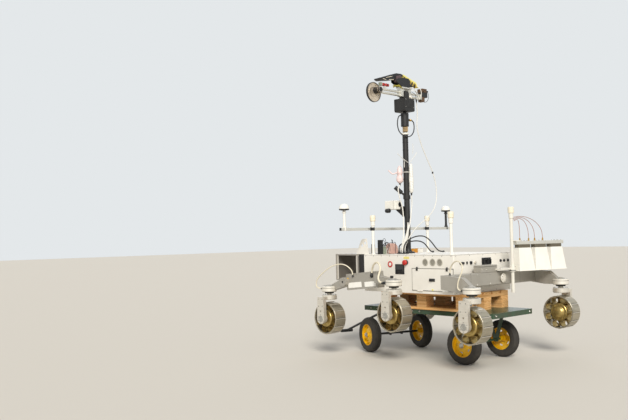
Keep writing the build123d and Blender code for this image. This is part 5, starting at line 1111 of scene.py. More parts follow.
@dataclass
class RunningGear:
    """Six wheels with their legs and steering units, each modelled once and copied."""

    places: dict[str, Point] = field(default_factory=lambda: {
        "fl": (443, 640, 335.5), "fr": (443, -640, 335.5), "ml": (-320, 640, 409.5),
        "mr": (-320, -640, 409.5), "rl": (-1083, 640, 372.5), "rr": (-1083, -640, 372.5)})

    def copy_to(self, piece: Piece, name: str, place: Point, mirror: bool = False) -> Piece:
        """Copy a piece modelled at the origin.

        Args:
            piece: The modelled piece.
            name: Name of the copy.
            place: Where its origin goes.
            mirror: Whether it faces the other side.

        Returns:
            The copy, with its own mesh.
        """
        twin = piece.copy()
        twin.data = piece.data.copy()
        bpy.context.collection.objects.link(twin)
        twin.name = name
        turn = Matrix.Rotation(math.pi, 4, "Z") if mirror else Matrix.Identity(4)
        twin.data.transform(moved(*place) @ turn)
        return twin

    def build(self) -> None:
        """Model the pieces and place them at every wheel."""
        wheel, leg = DriveWheel(), SteeredLeg()
        rim, bars, gaps, springs = wheel.rim(), wheel.bars(), wheel.gaps(), wheel.springs()
        hub, unit, seal, bands = wheel.hub_fittings(), leg.unit(), leg.seam(), leg.bands()
        legs = (leg.leg(1), leg.leg(-1))
        for key, place in self.places.items():
            right = place[1] < 0
            spin, steer, node = "drive_wheel_" + key, "drive_leg_" + key, ("wheel_" + key,)
            for source, name, finish, body, slot, replaced in (
                    (rim, "rim", Kit.RIM, spin, "rim_sheet", node),
                    (bars, "grousers", Kit.MILLED, spin, "bare_alu", node),
                    (gaps, "plate_gaps", Kit.RUBBER, spin, "black_plastic", ()),
                    (springs, "springs", Kit.GOLD, spin, "gold_chromate", node),
                    (hub, "hub_fittings", Kit.GOLD, spin, "gold_chromate", ()),
                    (unit, "unit_screws", Kit.SCREW, Body.BASE, "bare_alu", ()),
                    (seal, "unit_seals", Kit.RUBBER, Body.BASE, "black_plastic", ()),
                    (bands, "unit_bands", Kit.DISC, Body.BASE, "bare_alu", ()),
                    (legs[right], "leg_fittings", Kit.SCREW, steer, "bare_alu", ())):
                twin = self.copy_to(source, f"{name}_{key}", place, right and source is hub)
                BENCH.dress(twin, finish, slot, *replaced, body=body)
        for piece in (rim, bars, gaps, springs, hub, unit, seal, bands, *legs):
            bpy.data.objects.remove(piece)
        log.info("running gear: %d wheels", len(self.places))


@dataclass
class BodyBox:
    """White sheet body: door seam, screws along its edges, vents and the door's gear."""

    rear: float = -745.0
    front: float = 240.0
    half: float = 399.0
    low: float = 568.0
    deck: float = 889.0
    door_x: tuple[float, float] = (-737.0, -320.0)
    door_z: tuple[float, float] = (595.6, 772.0)
    door_out: float = 405.5
    vents: tuple[float, ...] = (-607.0, -535.0, -458.0)
    vent_z: float = 827.0
    vent_r: float = 27.0
    slat_gap: float = 8.4
    screw_rows: int = 11

    def screws(self) -> Piece:
        """Countersunk screws round the deck's edge and down the body's rear corners.

        Returns:
            The joined screws.
        """
        head = BENCH.lathe("edge_screw", [(0, 4.2), (0.9, 4.0), (1.3, 3.0), (1.3, 1.6), (0.5, 1.4)], ORIGIN,
            steps=10)
        length = self.front - self.rear
        spots = [self.rear + 24 + k * (length - 48) / 10 for k in range(self.screw_rows)]
        places = [moved(x, side * (self.half - 12), self.deck) for x in spots for side in (-1, 1)]
        places += [moved(self.rear + 12, y, self.deck) for y in (-280, -180, -60, 60, 180, 280)]
        left, right, back = (way.turn() for way in (Along.LEFT, Along.RIGHT, Along.BACK))
        for x in spots:
            places.append(moved(x, self.half, self.deck - 12) @ left)
            places.append(moved(x, -self.half, self.deck - 12) @ right)
            places.append(moved(x, -self.half, self.low + 12) @ right)
        for y in (-370, -185, 0, 185, 370):
            places.append(moved(self.rear, y, self.deck - 12) @ back)
            places.append(moved(self.rear, y, self.low + 12) @ back)
        return BENCH.copies("body_screws", head, places)

    def gasket(self) -> Piece:
        """Dark gasket that shows round the door and under the deck's edge.

        Returns:
            The joined gaskets; the door's rails are dressed here.
        """
        x0, x1 = self.door_x
        z0, z1 = self.door_z
        door = BENCH.block("door_gasket", (x0 - 3, self.half - 0.6, z0 - 3),
            (x1 + 3, self.half + 0.4, z1 + 3), 0.3)
        rails = [BENCH.block("door_rail", low, high, 0.5) for low, high in (
            ((x0 - 7, self.half, z0 - 6), (x0 - 2, self.half + 3.4, z1 + 6)),
            ((x1 + 2, self.half, z0 - 6), (x1 + 7, self.half + 3.4, z1 + 6)),
            ((x0 - 7, self.half, z1 + 2), (x1 + 7, self.half + 3.4, z1 + 6)),
            ((x0 - 7, self.half, z0 - 6), (x1 + 7, self.half + 3.4, z0 - 2)))]
        BENCH.dress(BENCH.join("door_rails", rails), Kit.GREY, "white_paint")
        lid = BENCH.block("lid_gasket", (self.rear - 0.3, -self.half - 0.3, self.deck - 5.4),
            (self.front - 0.5, self.half + 0.3, self.deck - 3.6), 0.3)
        return BENCH.join("gaskets", [door, lid])

    def marks(self) -> Piece:
        """Plain yellow plate over the stop button, and a small one on the door that rides with it.

        Returns:
            The plate over the button; the small one is dressed here.
        """
        low = BENCH.block("door_mark", (-541, self.door_out, 597), (-522, self.door_out + 1.2, 609), 0.5)
        BENCH.dress(low, Kit.PALE_YELLOW, "yellow_paint", body=Body.DOOR)
        return BENCH.block("stop_mark", (-286, self.half, 853), (-226, self.half + 1.2, 872), 0.5)

    def vent(self) -> Piece:
        """Round vents with a stepped bezel and slanted slats.

        Returns:
            The joined vents.
        """
        r = self.vent_r
        bezel = BENCH.lathe("bezel", [(0, r + 4), (1.6, r + 4), (3, r + 2.6), (4, r + 1), (4, r - 3.5),
            (2.4, r - 4), (0, r - 4)], ORIGIN, Along.LEFT, steps=40, closed=True)
        slats = []
        for k in range(-2, 3):
            chord = math.sqrt((r - 3.5) ** 2 - (k * self.slat_gap) ** 2)
            slat = BENCH.block("slat", (-chord, 0.4, -1.1), (chord, 3.0, 1.1), 0.5)
            slat.data.transform(moved(0, 0, k * self.slat_gap) @ Matrix.Rotation(0.5, 4, "X"))
            slats.append(slat)
        one = BENCH.join("vent", [bezel, *slats])
        return BENCH.copies("vents", one, [moved(x, self.half, self.vent_z) for x in self.vents])

    def vent_backs(self) -> Piece:
        """Dark mesh behind the slats.

        Returns:
            The joined backs.
        """
        back = BENCH.lathe("vent_back", [(0, self.vent_r - 1), (1.5, self.vent_r - 1),
            (2, self.vent_r - 3)], ORIGIN, Along.LEFT, steps=32)
        return BENCH.copies("vent_backs", back, [moved(x, self.half - 4, self.vent_z) for x in self.vents])

    def door_gear(self) -> tuple[Piece, Piece]:
        """Bow handle on its plate, and two cam latches at the door's upper edge.

        Returns:
            The black gear and its screws.
        """
        x, z = sum(self.door_x) / 2, 682.0
        plate = BENCH.block("handle_plate", (x - 30, self.door_out, z - 12),
            (x + 30, self.door_out + 4, z + 12), 2)
        out = self.door_out
        bow = BENCH.solid(BENCH.tube("handle_bow", [[(x - 22, out + 3, z), (x - 22, out + 11, z),
            (x - 16, out + 14, z), (x + 16, out + 14, z), (x + 22, out + 11, z), (x + 22, out + 3, z)]],
            4.0))
        gear = [plate, bow]
        heads = []
        for latch in (self.door_x[0] + 54, self.door_x[1] - 54):
            gear.append(BENCH.block(
                "latch_body", (latch - 8, self.door_out, 756), (latch + 8, self.door_out + 6, 788), 2.5))
            gear.append(BENCH.plate(
                "latch_cam", [(-5.5, -9), (5.5, -9), (6, 8), (3, 13), (-3, 13), (-6, 8)], 5,
                (latch, self.door_out + 6, 774), Along.LEFT.value, 1.2))
            heads.append(moved(latch, self.door_out + 11, 777) @ Along.LEFT.turn())
        for dx in (-26, 26):
            heads.append(moved(x + dx, self.door_out + 4, z) @ Along.LEFT.turn())
        screw = BENCH.lathe("gear_screw", [(0, 3), (1, 2.8), (1.4, 2.0), (1.4, 1.2), (0.8, 1.0)], ORIGIN,
            steps=12)
        return BENCH.join("door_gear", gear), BENCH.copies("door_gear_screws", screw, heads)

    def build(self) -> None:
        """Model and dress the body's pieces."""
        BENCH.dress(self.screws(), Kit.SCREW, "bare_alu")
        BENCH.dress(self.gasket(), Kit.RUBBER, "black_plastic")
        BENCH.dress(self.marks(), Kit.PALE_YELLOW, "yellow_paint")
        BENCH.dress(self.vent(), Kit.VENT, "vent_grey", "vents")
        BENCH.dress(self.vent_backs(), Kit.MESH, "vent_grey")
        gear, screws = self.door_gear()
        BENCH.dress(gear, Kit.BLACK_PLASTIC, "black_plastic", "door_fittings", body=Body.DOOR)
        BENCH.dress(screws, Kit.SCREW, "bare_alu", body=Body.DOOR)
        log.info("body box: %d vents, door gear", len(self.vents))


@dataclass
class FaceFittings:
    """Controls on the left face and connectors on the rear face."""

    face: float = 399.0
    rear: float = -745.0
    stop: tuple[float, float] = (-252.0, 823.0)
    panel: tuple[float, float] = (-181.0, 766.0)
    panel_size: tuple[float, float] = (100.0, 84.0)
    ring_at: tuple[float, float] = (-72.0, 806.0)
    plugs: tuple[float, ...] = (293.0, 228.0, 173.0, 115.0)
    plug_z: float = 818.0
    jacks: tuple[float, ...] = (-254.0, -306.0, -366.0)

    def stop_button(self) -> tuple[Piece, Piece]:
        """Black collar and the long red mushroom button on it.

        Returns:
            The collar and the button.
        """
        at = (self.stop[0], self.face, self.stop[1])
        collar = BENCH.lathe("stop_collar", [(0, 22), (7, 22), (10, 20), (11, 18), (11, 9), (9, 8)], at,
            Along.LEFT, 40)
        button = BENCH.lathe("stop_button", [(8, 9), (12, 9), (12.6, 19), (14.5, 22), (27, 22), (31, 20),
            (34.4, 14), (35.8, 8), (36, 2)], at, Along.LEFT, 40, smooth=50)
        return collar, button

    def square_panel(self) -> tuple[Piece, Piece]:
        """Raised dark frame with four screws, and the smoked window in it.

        Returns:
            The frame with its screws, and the window.
        """
        x, z = self.panel
        half_w, half_h = self.panel_size[0] / 2, self.panel_size[1] / 2
        bars = []
        for sign in (-1, 1):
            bars.append(BENCH.block("frame_side", (x + sign * (half_w - 4.5) - 4.5, self.face, z - half_h),
                (x + sign * (half_w - 4.5) + 4.5, self.face + 5, z + half_h), 1.4))
            bars.append(BENCH.block("frame_rail", (x - half_w, self.face, z + sign * (half_h - 4.5) - 4.5),
                (x + half_w, self.face + 5, z + sign * (half_h - 4.5) + 4.5), 1.4))
        screw = BENCH.lathe("frame_screw", [(0, 2.6), (0.7, 2.4), (0.7, 1.0)], ORIGIN, steps=10)
        bars.append(BENCH.copies("frame_screws", screw, [
            moved(x + a * (half_w - 5), self.face + 5, z + b * (half_h - 5)) @ Along.LEFT.turn()
            for a in (-1, 1) for b in (-1, 1)]))
        window = BENCH.block("window", (x - half_w + 8, self.face, z - half_h + 8),
            (x + half_w - 8, self.face + 2.6, z + half_h - 8), 0.8)
        return BENCH.join("square_frame", bars), window

    def ring_lamp(self) -> tuple[Piece, Piece]:
        """Red ring with a white lens in its middle.

        Returns:
            The ring and the lens.
        """
        at = (self.ring_at[0], self.face, self.ring_at[1])
        red = BENCH.lathe("red_ring", [(0, 15), (0, 27), (2.5, 27), (4.4, 25), (5, 22), (4.6, 18), (3, 15)],
            at, Along.LEFT, 44, closed=True, smooth=50)
        lens = BENCH.lathe("ring_lens", [(0, 15.5), (2.4, 15.5), (3.6, 12), (4.2, 6), (4.3, 1)], at,
            Along.LEFT, 36, smooth=60)
        return red, lens

    def plug(self) -> tuple[Piece, Piece]:
        """Round metal connector with a ridged ring, and the black sockets beside it.

        Returns:
            The metal connector and the joined black sockets.
        """
        back = Along.BACK
        flange = BENCH.lathe("plug_flange", [
            (0, 13), (2, 13), (3, 12), (3, 10), (9, 10), (10, 9.4), (13, 9.4), (13, 7.6)], ORIGIN, back, 28)
        ridge = BENCH.block("plug_ridge", (-0.5, -0.6, 0.0), (0.5, 0.6, 5.0), 0.3, 1)
        ridges = BENCH.copies("plug_ridges", ridge, [
            Matrix.Rotation(2 * math.pi * k / 16, 4, "X") @ moved(-6.5, 0, 10)
            @ Matrix.Rotation(-math.pi / 2, 4, "Y") @ moved(0, 0, -2.5) for k in range(16)])
        metal = BENCH.join("plug", [flange, ridges])
        metal.data.transform(moved(self.rear, self.plugs[3], self.plug_z))
        black = [BENCH.block("socket", (self.rear - 11, y - w, self.plug_z - h),
            (self.rear, y + w, self.plug_z + h), 2)
            for y, w, h in ((self.plugs[0] + 17, 13, 9), (self.plugs[0] - 13, 13, 9),
                (self.plugs[1], 5, 11), (self.plugs[2], 12, 12))]
        black += [BENCH.lathe("cap", [(10, 8), (14, 8), (15, 6.5), (15, 3)], (self.rear, y, self.plug_z),
            back, 20) for y in (self.plugs[0] + 17, self.plugs[0] - 13, self.plugs[2])]
        return metal, BENCH.join("black_sockets", black)

    def socket(self) -> Piece:
        """Black socket block with a hooded recess and four corner screws, and the small jacks.

        Returns:
            The block joined with its hoods and the jacks.
        """
        z0, z1 = 792.2, 852.2
        base = BENCH.block("socket_base", (self.rear - 8, -106, z0), (self.rear, 19, z1), 2)
        pieces = [base]
        for y0, y1 in ((-98, -50), (-40, 11)):
            pieces.append(BENCH.block(
                "socket_hood", (self.rear - 18, y0, z1 - 18), (self.rear - 7, y1, z1 - 14), 1.2))
            pieces.append(BENCH.block(
                "socket_wall", (self.rear - 18, y0, z0 + 8), (self.rear - 7, y0 + 4, z1 - 14), 1.2))
            pieces.append(BENCH.block(
                "socket_wall", (self.rear - 18, y1 - 4, z0 + 8), (self.rear - 7, y1, z1 - 14), 1.2))
            pieces.append(BENCH.block(
                "socket_sill", (self.rear - 18, y0, z0 + 8), (self.rear - 7, y1, z0 + 12), 1.2))
        jack = BENCH.lathe("jack", [(0, 12), (5, 12), (6, 11), (6, 8.4), (10, 8.4), (10, 5.4), (6, 5.2)],
            ORIGIN, Along.BACK, 20)
        pieces.append(BENCH.copies("jacks", jack, [moved(self.rear, y, 820) for y in self.jacks]))
        return BENCH.join("socket", pieces)

    def build(self) -> None:
        """Model and dress the fittings."""
        collar, button = self.stop_button()
        square, window = self.square_panel()
        red, lens = self.ring_lamp()
        metal, caps = self.plug()
        for piece, finish, slot in ((collar, Kit.BLACK_PLASTIC, "black_plastic"),
                (button, Kit.RED, "black_plastic"), (square, Kit.BLACK_PLASTIC, "black_plastic"),
                (window, Kit.GLASS, "black_plastic"),
                (red, Kit.RED, "black_plastic"), (lens, Kit.WHITE_PLASTIC, "white_plastic"),
                (metal, Kit.MILLED, "bare_alu"), (caps, Kit.BLACK_PLASTIC, "black_plastic"),
                (self.socket(), Kit.BLACK_PLASTIC, "black_plastic")):
            BENCH.dress(piece, finish, slot, "face_fittings")
        log.info("face fittings: %d connectors", len(self.plugs) + len(self.jacks))


@dataclass
class DeckUnits:
    """Small boxes, the soft pouch, the cable gland and the loose wires on the deck."""

    deck: float = 889.0
    pouch_size: Point = (0.062, 0.119, 0.093)    # in metres, as the modelling needs it

    def box(self, name: str, low: Point, high: Point, finish: Finish, lid: Finish | None = None) -> None:
        """A small housing with a lid seam, a lid and four screws.

        Args:
            name: Name of the housing.
            low: Lowest corner.
            high: Highest corner.
            finish: Surface of the housing.
            lid: Surface of the lid, if another.
        """
        (x0, y0, z0), (x1, y1, z1) = low, high
        rise = 0.16 * (z1 - z0)
        body = BENCH.block(name, (x0, y0, z0), (x1, y1, z1 - rise - 1.5), 1.6)
        foot = BENCH.block(name + "_foot", (x0 - 1.0, y0 + 4, z0), (x1 + 1.0, y1 - 4, z0 + 3), 0.8)
        BENCH.dress(BENCH.join(name, [body, foot]), finish, "black_plastic", "deck_units")
        cover = BENCH.block(name + "_lid", (x0, y0, z1 - rise), (x1, y1, z1 - 0.8), 2.0)
        screws = BENCH.bolts(name + "_screws", 3.2, 0.8,
            [moved(x, y, z1 - 1.0) for x in (x0 + 5, x1 - 5) for y in (y0 + 5, y1 - 5)])
        BENCH.dress(BENCH.join(name + "_lid", [cover, screws]), lid or finish, "black_plastic",
            "deck_units")
        seam = BENCH.block(name + "_seam", (x0 + 1.2, y0 + 1.2, z1 - rise - 2.5),
            (x1 - 1.2, y1 - 1.2, z1 - rise + 1), 0.4)
        BENCH.dress(seam, Kit.RUBBER, "black_plastic", "deck_units")

    def pouch(self) -> Piece:
        """Soft pouch: a stuffed block, pulled in at the top, with creases and a tape seam.

        Returns:
            The pouch in its place.
        """
        BENCH.clear()
        bpy.ops.mesh.primitive_cube_add(size=1, location=(0, 0, 0.5), scale=(1, 1, 1))
        piece = bpy.context.object
        piece.name = "pouch"
        bpy.ops.object.transform_apply(location=True, rotation=True, scale=True)
        bpy.ops.object.mode_set(mode="EDIT")
        bpy.ops.mesh.select_all(action="SELECT")
        bpy.ops.transform.resize(value=self.pouch_size, center_override=(0, 0, 0))
        bpy.ops.mesh.subdivide(number_cuts=6)
        bpy.ops.transform.vertex_random(offset=0.0022, uniform=0.4, normal=0.8, seed=7)
        bpy.ops.object.mode_set(mode="OBJECT")
        for corner in piece.data.vertices:
            share = max(0.0, corner.co.z / self.pouch_size[2])
            corner.co.x *= 1.0 - 0.42 * share ** 4 - 0.06 * abs(math.sin(9 * share))
            corner.co.y *= 1.0 - 0.36 * share ** 4 - 0.03 * abs(math.sin(7 * share + 1))
        smooth = piece.modifiers.new("round", "SUBSURF")
        smooth.levels = smooth.render_levels = 2
        bpy.ops.object.modifier_apply(modifier=smooth.name)
        bpy.ops.object.shade_smooth()
        return BENCH.settle(piece, (132, 146, self.deck + 0.5))

    def gland(self) -> Piece:
        """Plate with a raised collar for each cord that enters the deck.

        Returns:
            The plate joined with its collars and screws.
        """
        z = self.deck
        plate = BENCH.block("gland_plate", (-73, 148, z), (17, 208, z + 7), 3)
        pieces = [plate]
        for number, (x, y) in enumerate(((-56, 196), (-46, 184), (-28, 160), (-12, 176), (-2, 198))):
            pieces.append(BENCH.lathe(
                f"collar_{number}", [(6, 11), (9, 11), (10, 9.5), (12, 9.0), (12, 4.2)], (x, y, z),
                steps=12 if number % 2 else 24))
        screws = BENCH.bolts("gland_screws", 5, 3,
            [moved(x, 155, z + 7) for x in (-66, 10)] + [moved(-20, 202, z + 7)])
        return BENCH.join("cable_gland", [*pieces, screws])

    def wires(self, name: str, count: int, radius: float, high: float, seed: int) -> Piece:
        """Loose wires that arch over the units.

        Args:
            name: Name of the bunch.
            count: How many wires.
            radius: Radius of each.
            high: How far the tallest rises over the deck.
            seed: Seed of their places.

        Returns:
            The bunch.
        """
        chance = random.Random(seed)
        routes = []
        for _ in range(count):
            ends = [(chance.uniform(100, 188), chance.uniform(76, 232)) for _ in range(2)]
            rise = chance.uniform(0.45, 1.0) * high
            (x0, y0), (x1, y1) = ends
            routes.append([
                (x0, y0, self.deck + 1),
                (x0 + chance.uniform(-8, 8), y0 + chance.uniform(-8, 8), self.deck + 0.7 * rise),
                (0.7 * x0 + 0.3 * x1 + chance.uniform(-10, 10), 0.7 * y0 + 0.3 * y1, self.deck + rise),
                (0.3 * x0 + 0.7 * x1 + chance.uniform(-10, 10), 0.3 * y0 + 0.7 * y1,
                    self.deck + 0.94 * rise),
                (x1, y1, self.deck + 0.6 * rise),
                (x1 + chance.uniform(-4, 4), y1, self.deck + 1)])
        return BENCH.tube(name, routes, radius)

    def foot_cords(self) -> Piece:
        """White cords that gather above the gland and run up to the mast.

        Returns:
            The joined cords.
        """
        routes = []
        for dx, dy in ((-11, 5), (9, -8), (-4, -13), (12, 6), (0, 13)):
            routes.append([
                (-30 + dx, 172 + dy, self.deck + 8), (-30 + dx, 172 + dy, 942), (-22 + dx, 140 + dy, 984),
                (-9 + 0.8 * dx, 104 + 0.8 * dy, 1024), (4 + 0.6 * dx, 74 + 0.6 * dy, 1062),
                (15 + 0.3 * dx, 50 + 0.3 * dy, 1100), (26 + 0.2 * dx, 32 + 0.2 * dy, 1134), (41, 17, 1166)])
        return BENCH.tube("foot_cords", routes, 5.6)

    def build(self) -> None:
        """Model and dress the deck's units."""
        z = self.deck
        for name, count, radius, high, seed, finish, slot in (
                ("black_wires", 9, 2.0, 165, 5, Kit.BLACK_CORD, "black_cord"),
                ("white_wires", 5, 2.4, 110, 8, Kit.WHITE_CORD, "white_cord"),
                ("plum_wires", 6, 2.2, 120, 21, Kit.PLUM, "black_cord")):
            BENCH.dress(self.wires(name, count, radius, high, seed), finish, slot)
        BENCH.dress(self.foot_cords(), Kit.WHITE_CORD, "white_cord")
        self.box("unit_front", (160, 335, z), (186, 357.5, z + 92), Kit.BLACK_PLASTIC)
        spot = BENCH.lathe("gold_spot", [(0, 6), (2, 6), (3, 5), (3, 2)], (160, 346, z + 66), Along.BACK,
            20)
        BENCH.dress(spot, Kit.GOLD_PLATE, "gold_chromate", "deck_units")
        self.box("unit_tall", (110, 285, z), (134, 330, z + 128), Kit.BLACK_PLASTIC, Kit.DARK_METAL)
        self.box("unit_low", (110, 240, z), (134, 279, z + 68), Kit.GREY_GREEN)
        self.box("side_box_a", (130, -220, z), (185, -120, z + 46), Kit.ORANGE, Kit.WHITE_PLASTIC)
        self.box("side_box_b", (130, -296, z), (185, -226, z + 42.8), Kit.WHITE_PLASTIC)
        pouch = BENCH.dress(self.pouch(), Kit.POUCH, "black_plastic", "deck_units")
        BENCH.dress(self.gland(), Kit.BLACK_PLASTIC, "black_plastic", "deck_units")
        screws = BENCH.bolts("gusset_screws", 6, 4, [moved(x, 365, z + 6) for x in (202, 228)])
        BENCH.dress(screws, Kit.SCREW, "bare_alu")
        log.info("deck units: 5 boxes, a pouch, the gland and the wires")


@dataclass
class Post:
    """Slender turned post with a neck and a wide head."""

    name: str
    x: float
    y: float
    foot: float
    tube_r: float = 12.5
    neck_r: float = 19.0
    head_r: float = 25.0
    height: float = 346.0
    node: str = "deck_posts"

    def build(self) -> None:
        """Model the tube with its neck, the head and the foot's screws."""
        at = (self.x, self.y, self.foot)
        top = self.height
        tube = BENCH.lathe(self.name, [(0, 18), (6, 18), (8, 16), (8, 12.6), (9, self.tube_r),
            (top - 96, self.tube_r), (top - 91, self.neck_r), (top - 76, self.neck_r), (top - 75, 17.6),
            (top - 73, 17.6), (top - 72, self.neck_r), (top - 50, self.neck_r)], at, steps=32)
        screws = BENCH.bolts(self.name + "_screws", 4, 3,
            ring(4, 14.6, (self.x, self.y, self.foot + 7.5), "Z", 45))
        head = BENCH.lathe(self.name + "_head", [(top - 51, 17), (top - 50.5, 23.5),
            (top - 49, self.head_r), (top - 30, self.head_r), (top - 29, self.head_r - 1.4),
            (top - 27, self.head_r - 1.4), (top - 26, self.head_r), (top - 6, self.head_r), (top - 1.5, 23),
            (top, 19), (top, 6), (top - 1.5, 5), (top - 1.5, 1)], at, steps=40)
        BENCH.dress(BENCH.join(self.name, [tube, screws]), Kit.WHITE_PLASTIC, "white_plastic", self.node)
        BENCH.dress(head, Kit.CREAM, "white_plastic", self.node)


@dataclass
class Crossbar:
    """Square tube on the front posts with a mushroom antenna at each end."""

    x: float = 167.0
    z: float = 1115.0
    half: float = 757.0
    width: float = 25.0
    post_x: float = 139.0
    post_y: float = 380.0
    antenna_y: float = 707.0
    stem: float = 165.0
    cap_r: float = 44.0

    def antenna(self, name: str, side: int, stem: Finish, slot: str) -> None:
        """One antenna: clamp, stem with a nut, ring and dome.

        Args:
            name: Name of the antenna.
            side: One for the left end, minus one for the right.
            stem: Surface of the stem.
            slot: The stem's material slot.
        """
        at = (self.x, side * self.antenna_y, self.z)
        post = BENCH.lathe(name + "_stem", [(-12, 15), (12.5, 15), (15, 17), (24, 17), (26, 12), (60, 11),
            (self.stem - 26, 11), (self.stem - 24, 17), (self.stem - 14, 17), (self.stem - 12, 13),
            (self.stem, 13)], at, steps=24)
        BENCH.dress(post, stem, slot, "satellite_bar")
        r, top = self.cap_r, self.stem
        plate = BENCH.lathe(name + "_plate", [(top - 4, 16), (top, r - 2), (top + 2, r), (top + 9, r),
            (top + 10, r - 1.5), (top + 12, r - 1.5)], at, steps=48)
        BENCH.dress(plate, Kit.BLACK_PLASTIC, "black_plastic", "satellite_bar")
        dome = BENCH.lathe(name + "_dome", [(top + 11, r - 1), (top + 22, r - 1), (top + 24, r - 2.2), *[
            (top + 24 + 31 * math.sin(a), max(0.6, (r - 2.2) * math.cos(a)))
            for a in (0.25, 0.5, 0.75, 1.0, 1.25, 1.45, 1.56)]], at, steps=48, smooth=60)
        BENCH.dress(dome, Kit.WHITE_PLASTIC, "white_plastic", "satellite_bar")

    def build(self) -> None:
        """Model the tube, its end plugs and clamps, and the antennas."""
        w = self.width / 2
        tube = BENCH.block("crossbar", (self.x - w, -self.half + 2, self.z - w),
            (self.x + w, self.half - 2, self.z + w), 2.2)
        BENCH.dress(tube, Kit.TUBE, "silver_tube", "satellite_bar")
        plugs, bolts = [], []
        for side in (-1, 1):
            plugs.append(BENCH.block(
                "bar_plug", (self.x - w + 0.5, side * (self.half - 1.5) - 1.5, self.z - w + 0.5),
                (self.x + w - 0.5, side * (self.half - 1.5) + 1.5, self.z + w - 0.5), 1.0))
            y = side * self.post_y
            plugs.append(BENCH.block("bar_clamp", (self.post_x + 11.5, y - 17, self.z - 15),
                (self.x - w + 1, y + 17, self.z + 15), 2.0))
            plugs.append(BENCH.lathe("post_band", [(-13, 12.7), (-13, 17), (13, 17), (13, 12.7)],
                (self.post_x, y, self.z), steps=32, closed=True))
            bolts += [moved(self.x - w - 4, y + dy, self.z + 15) for dy in (-11, 11)]
        BENCH.dress(BENCH.join("bar_clamps", plugs), Kit.BLACK_PLASTIC, "black_plastic", "satellite_bar")
        BENCH.dress(BENCH.bolts("bar_bolts", 6, 4, bolts), Kit.SCREW, "bare_alu")
        self.antenna("antenna_left", 1, Kit.WHITE_PLASTIC, "white_plastic")
        self.antenna("antenna_right", -1, Kit.BLACK, "black_plastic")
        log.info("crossbar with two antennas")


